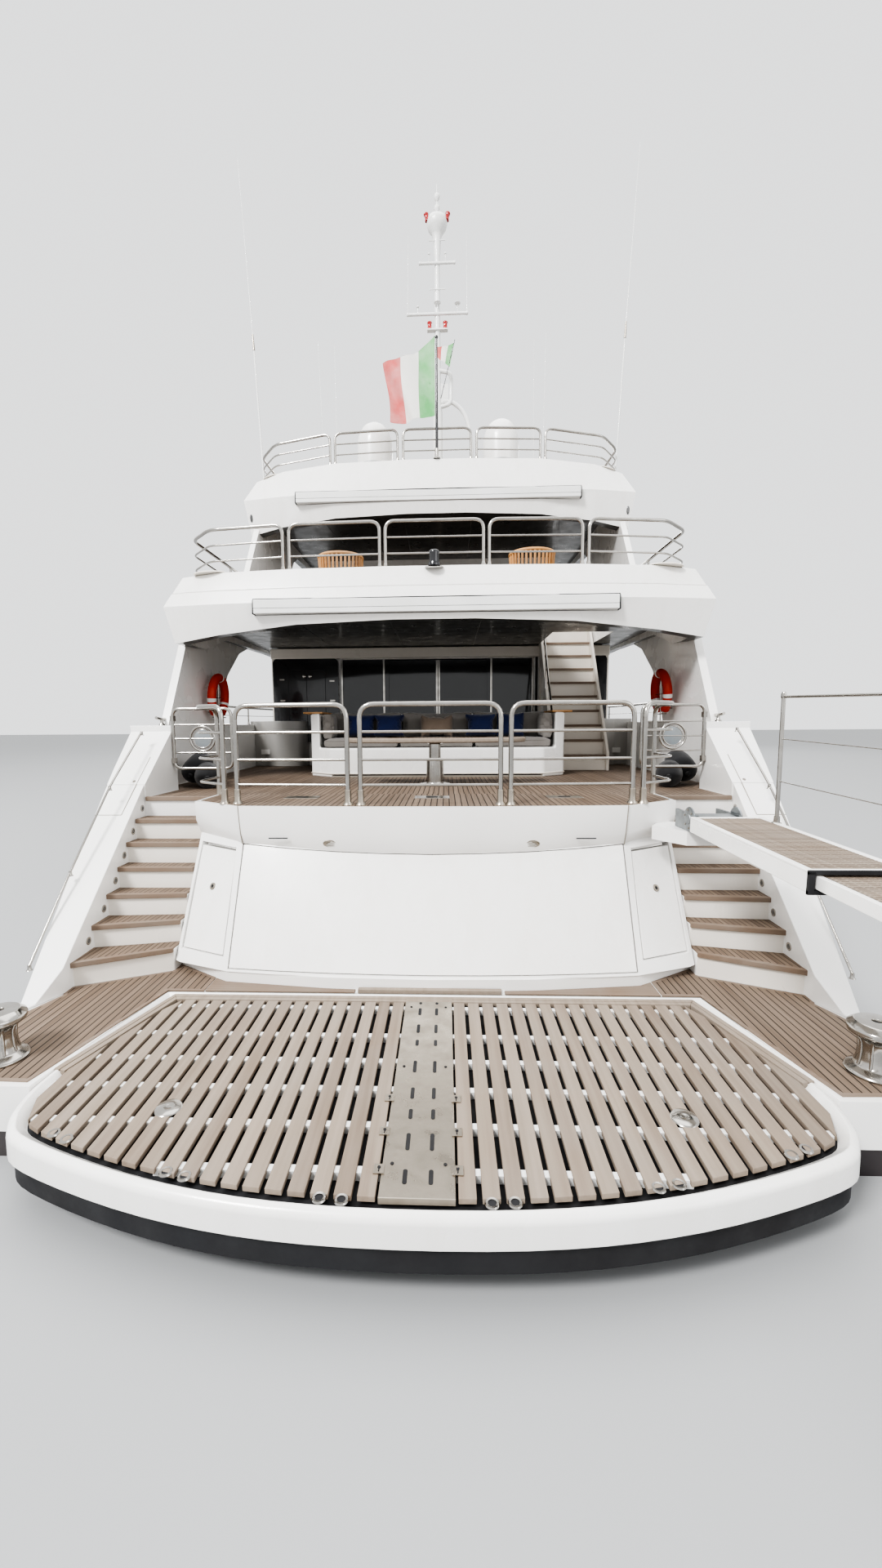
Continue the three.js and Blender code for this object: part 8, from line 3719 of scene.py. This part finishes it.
    def wipers(self) -> Object:
        """Three parallel-arm wipers parked at the foot of the windscreen.

        Returns:
            The finished piece.
        """
        bm = bmesh.new()
        for x in (-1.15, 0.0, 1.15):
            foot = Probe.hit("upper_house_front", (x, 9.0, 5.03), (0, -1, 0))
            if not foot:
                continue
            spot = foot[0] + Vector((0, 0.012, 0))
            top = spot + Vector((0.30, -0.20, 0.42))
            found = Probe.hit("windshield", (top.x, 9.0, top.z), (0, -1, 0))
            if found:
                top = found[0] + Vector((0, 0.02, 0))
            add_bar(bm, spot, top, 0.008, 8, 0.005)
            add_turned(bm, [(0, 0.03), (0.022, 0.028), (0.026, 0), (0, 0)], spot, (0, 1, 0), 14)
        return publish(bm, "wipers", Slot.DARK_STEEL, [RUBBER_AND_SHADE])


@dataclass
class Plain:
    """Pieces whose CAD shape is already right, carried over with rounded edges."""

    widths: Sequence[tuple[str, float]] = (("propeller", 0.002), ("rudder", 0.008))

    def build(self) -> list[Object]:
        """Every such piece."""
        rows = [(f"{kind}_{side.tag}", width) for kind, width in self.widths for side in Side]
        return [Dressed(node, Slot.BRONZE, [BRONZE], node, width).build() for node, width in rows]


@dataclass(frozen=True)
class Viewpoint:
    """The camera: a wide lens on the quay behind the stern."""

    place: Point = (0.141, -20.0, 2.583)
    yaw: float = 2.28
    pitch: float = 5.86
    roll: float = 0.41
    sensor: float = 36.0
    image_height: float = 1920.0
    focal_length: float = 700.0
    middle_x: float = 519.0
    image_width: float = 1080.0

    def build(self) -> Object:
        """The scene's camera, turned to port, down and a little clockwise.

        Returns:
            The finished piece.
        """
        yaw, pitch, roll = (math.radians(a) for a in (self.yaw, self.pitch, self.roll))
        ahead = Vector((-math.sin(yaw) * math.cos(pitch), math.cos(yaw) * math.cos(pitch), -math.sin(pitch)))
        level = Vector((math.cos(yaw), math.sin(yaw), 0))
        down = ahead.cross(level)
        right = math.cos(roll) * level + math.sin(roll) * down
        up = math.sin(roll) * level - math.cos(roll) * down
        data = bpy.data.cameras.new("quay_camera")
        data.sensor_width = self.sensor
        data.lens = self.focal_length * self.sensor / self.image_height
        data.shift_x = (self.image_width / 2 - self.middle_x) / self.image_height
        data.clip_end = 400
        camera = bpy.data.objects.new("quay_camera", data)
        camera.matrix_world = Matrix.Translation(self.place) @ Matrix(
            (right, up, -ahead)
        ).transposed().to_4x4()
        bpy.context.scene.collection.objects.link(camera)
        bpy.context.scene.camera = camera
        return camera


@dataclass(frozen=True)
class Studio:
    """A pale floor at the waterline under soft light."""

    floor_size: float = 400.0
    floor_color: Color = (0.36, 0.365, 0.37, 1)
    floor_shade: Color = (0.32, 0.325, 0.33, 1)
    sky: Color = (0.95, 0.96, 0.965, 1)
    sky_strength: float = 1.12
    # Name, place, target, size and power of each lamp
    lamps: Sequence[tuple[str, Point, Point, float, float]] = (
        ("key", (-18, -36, 30), (0, -10, 2), 9, 16000),
        ("fill", (24, -34, 16), (0, -12, 2), 20, 2200),
        ("top", (0, -4, 40), (0, -4, 0), 36, 7000),
        ("bow", (10, 46, 22), (0, 8, 2), 20, 7000),
    )

    def build(self) -> None:
        """Floor, sky and lamps."""
        self.floor()
        bpy.context.scene.view_settings.look = "AgX - High Contrast"
        world = bpy.data.worlds.new("studio")
        world.use_nodes = True
        world.node_tree.nodes["Background"].inputs[0].default_value = self.sky
        world.node_tree.nodes["Background"].inputs[1].default_value = self.sky_strength
        bpy.context.scene.world = world
        for row in self.lamps:
            self.lamp(*row)

    def floor(self) -> None:
        """The floor, which isn't part of the boat."""
        bm = bmesh.new()
        bmesh.ops.create_grid(bm, x_segments=1, y_segments=1, size=self.floor_size / 2)
        mesh = bpy.data.meshes.new("floor")
        bm.to_mesh(mesh)
        bm.free()
        shader = Shader("studio_floor")
        cloud = shader.spread(shader.noise(0.2, 3), 0.0, 0.12)
        color = shader.mix(cloud, self.floor_color, self.floor_shade)
        mesh.materials.append(shader.done({"Base Color": color, "Roughness": 0.55}))
        floor = bpy.data.objects.new("floor", mesh)
        bpy.context.scene.collection.objects.link(floor)

    def lamp(self, name: str, place: Point, target: Point, size: float, power: float) -> None:
        """One large soft lamp.

        Args:
            name: Its name.
            place: Where it hangs.
            target: What it points at.
            size: Side of its square.
            power: Power in watts.
        """
        data = bpy.data.lights.new(name, "AREA")
        data.shape = "SQUARE"
        data.size = size
        data.energy = power
        lamp = bpy.data.objects.new(name, data)
        aim = (Vector(target) - Vector(place)).to_track_quat("-Z", "Y")
        lamp.matrix_world = Matrix.Translation(place) @ aim.to_matrix().to_4x4()
        bpy.context.scene.collection.objects.link(lamp)


def main() -> None:
    """Builds the yacht piece by piece, then the studio round it."""
    logging.basicConfig(level=logging.INFO, format="%(name)s: %(message)s")
    Viewpoint().build()
    assemblies = [
        Hull(),
        BathingPlatform(),
        WingDecks(),
        MainDeckTeak(),
        SternRail(),
        *[SternGate(side) for side in Side],
        Transom(),
        SternSides(),
        AftSofa(),
        AftTable(),
        SaloonBulkhead(),
        UpperStair(),
        *overhangs(),
        *guard_rails(),
        *[DeckChair(side) for side in Side],
        UpperDetails(),
        Domes(),
        Mast(),
        Aerials(),
        Colours(),
        Gangway(),
        *[Capstan(side) for side in Side],
        MainRail(),
        HullTrim(),
        Foredeck(),
        FlyDeck(),
        HouseTrim(),
        Plain(),
    ]
    for assembly in assemblies:
        made = assembly.build()
        log.info("%s made %d pieces", type(assembly).__name__, len(made))
    Studio().build()


if __name__ == "__main__":
    main()
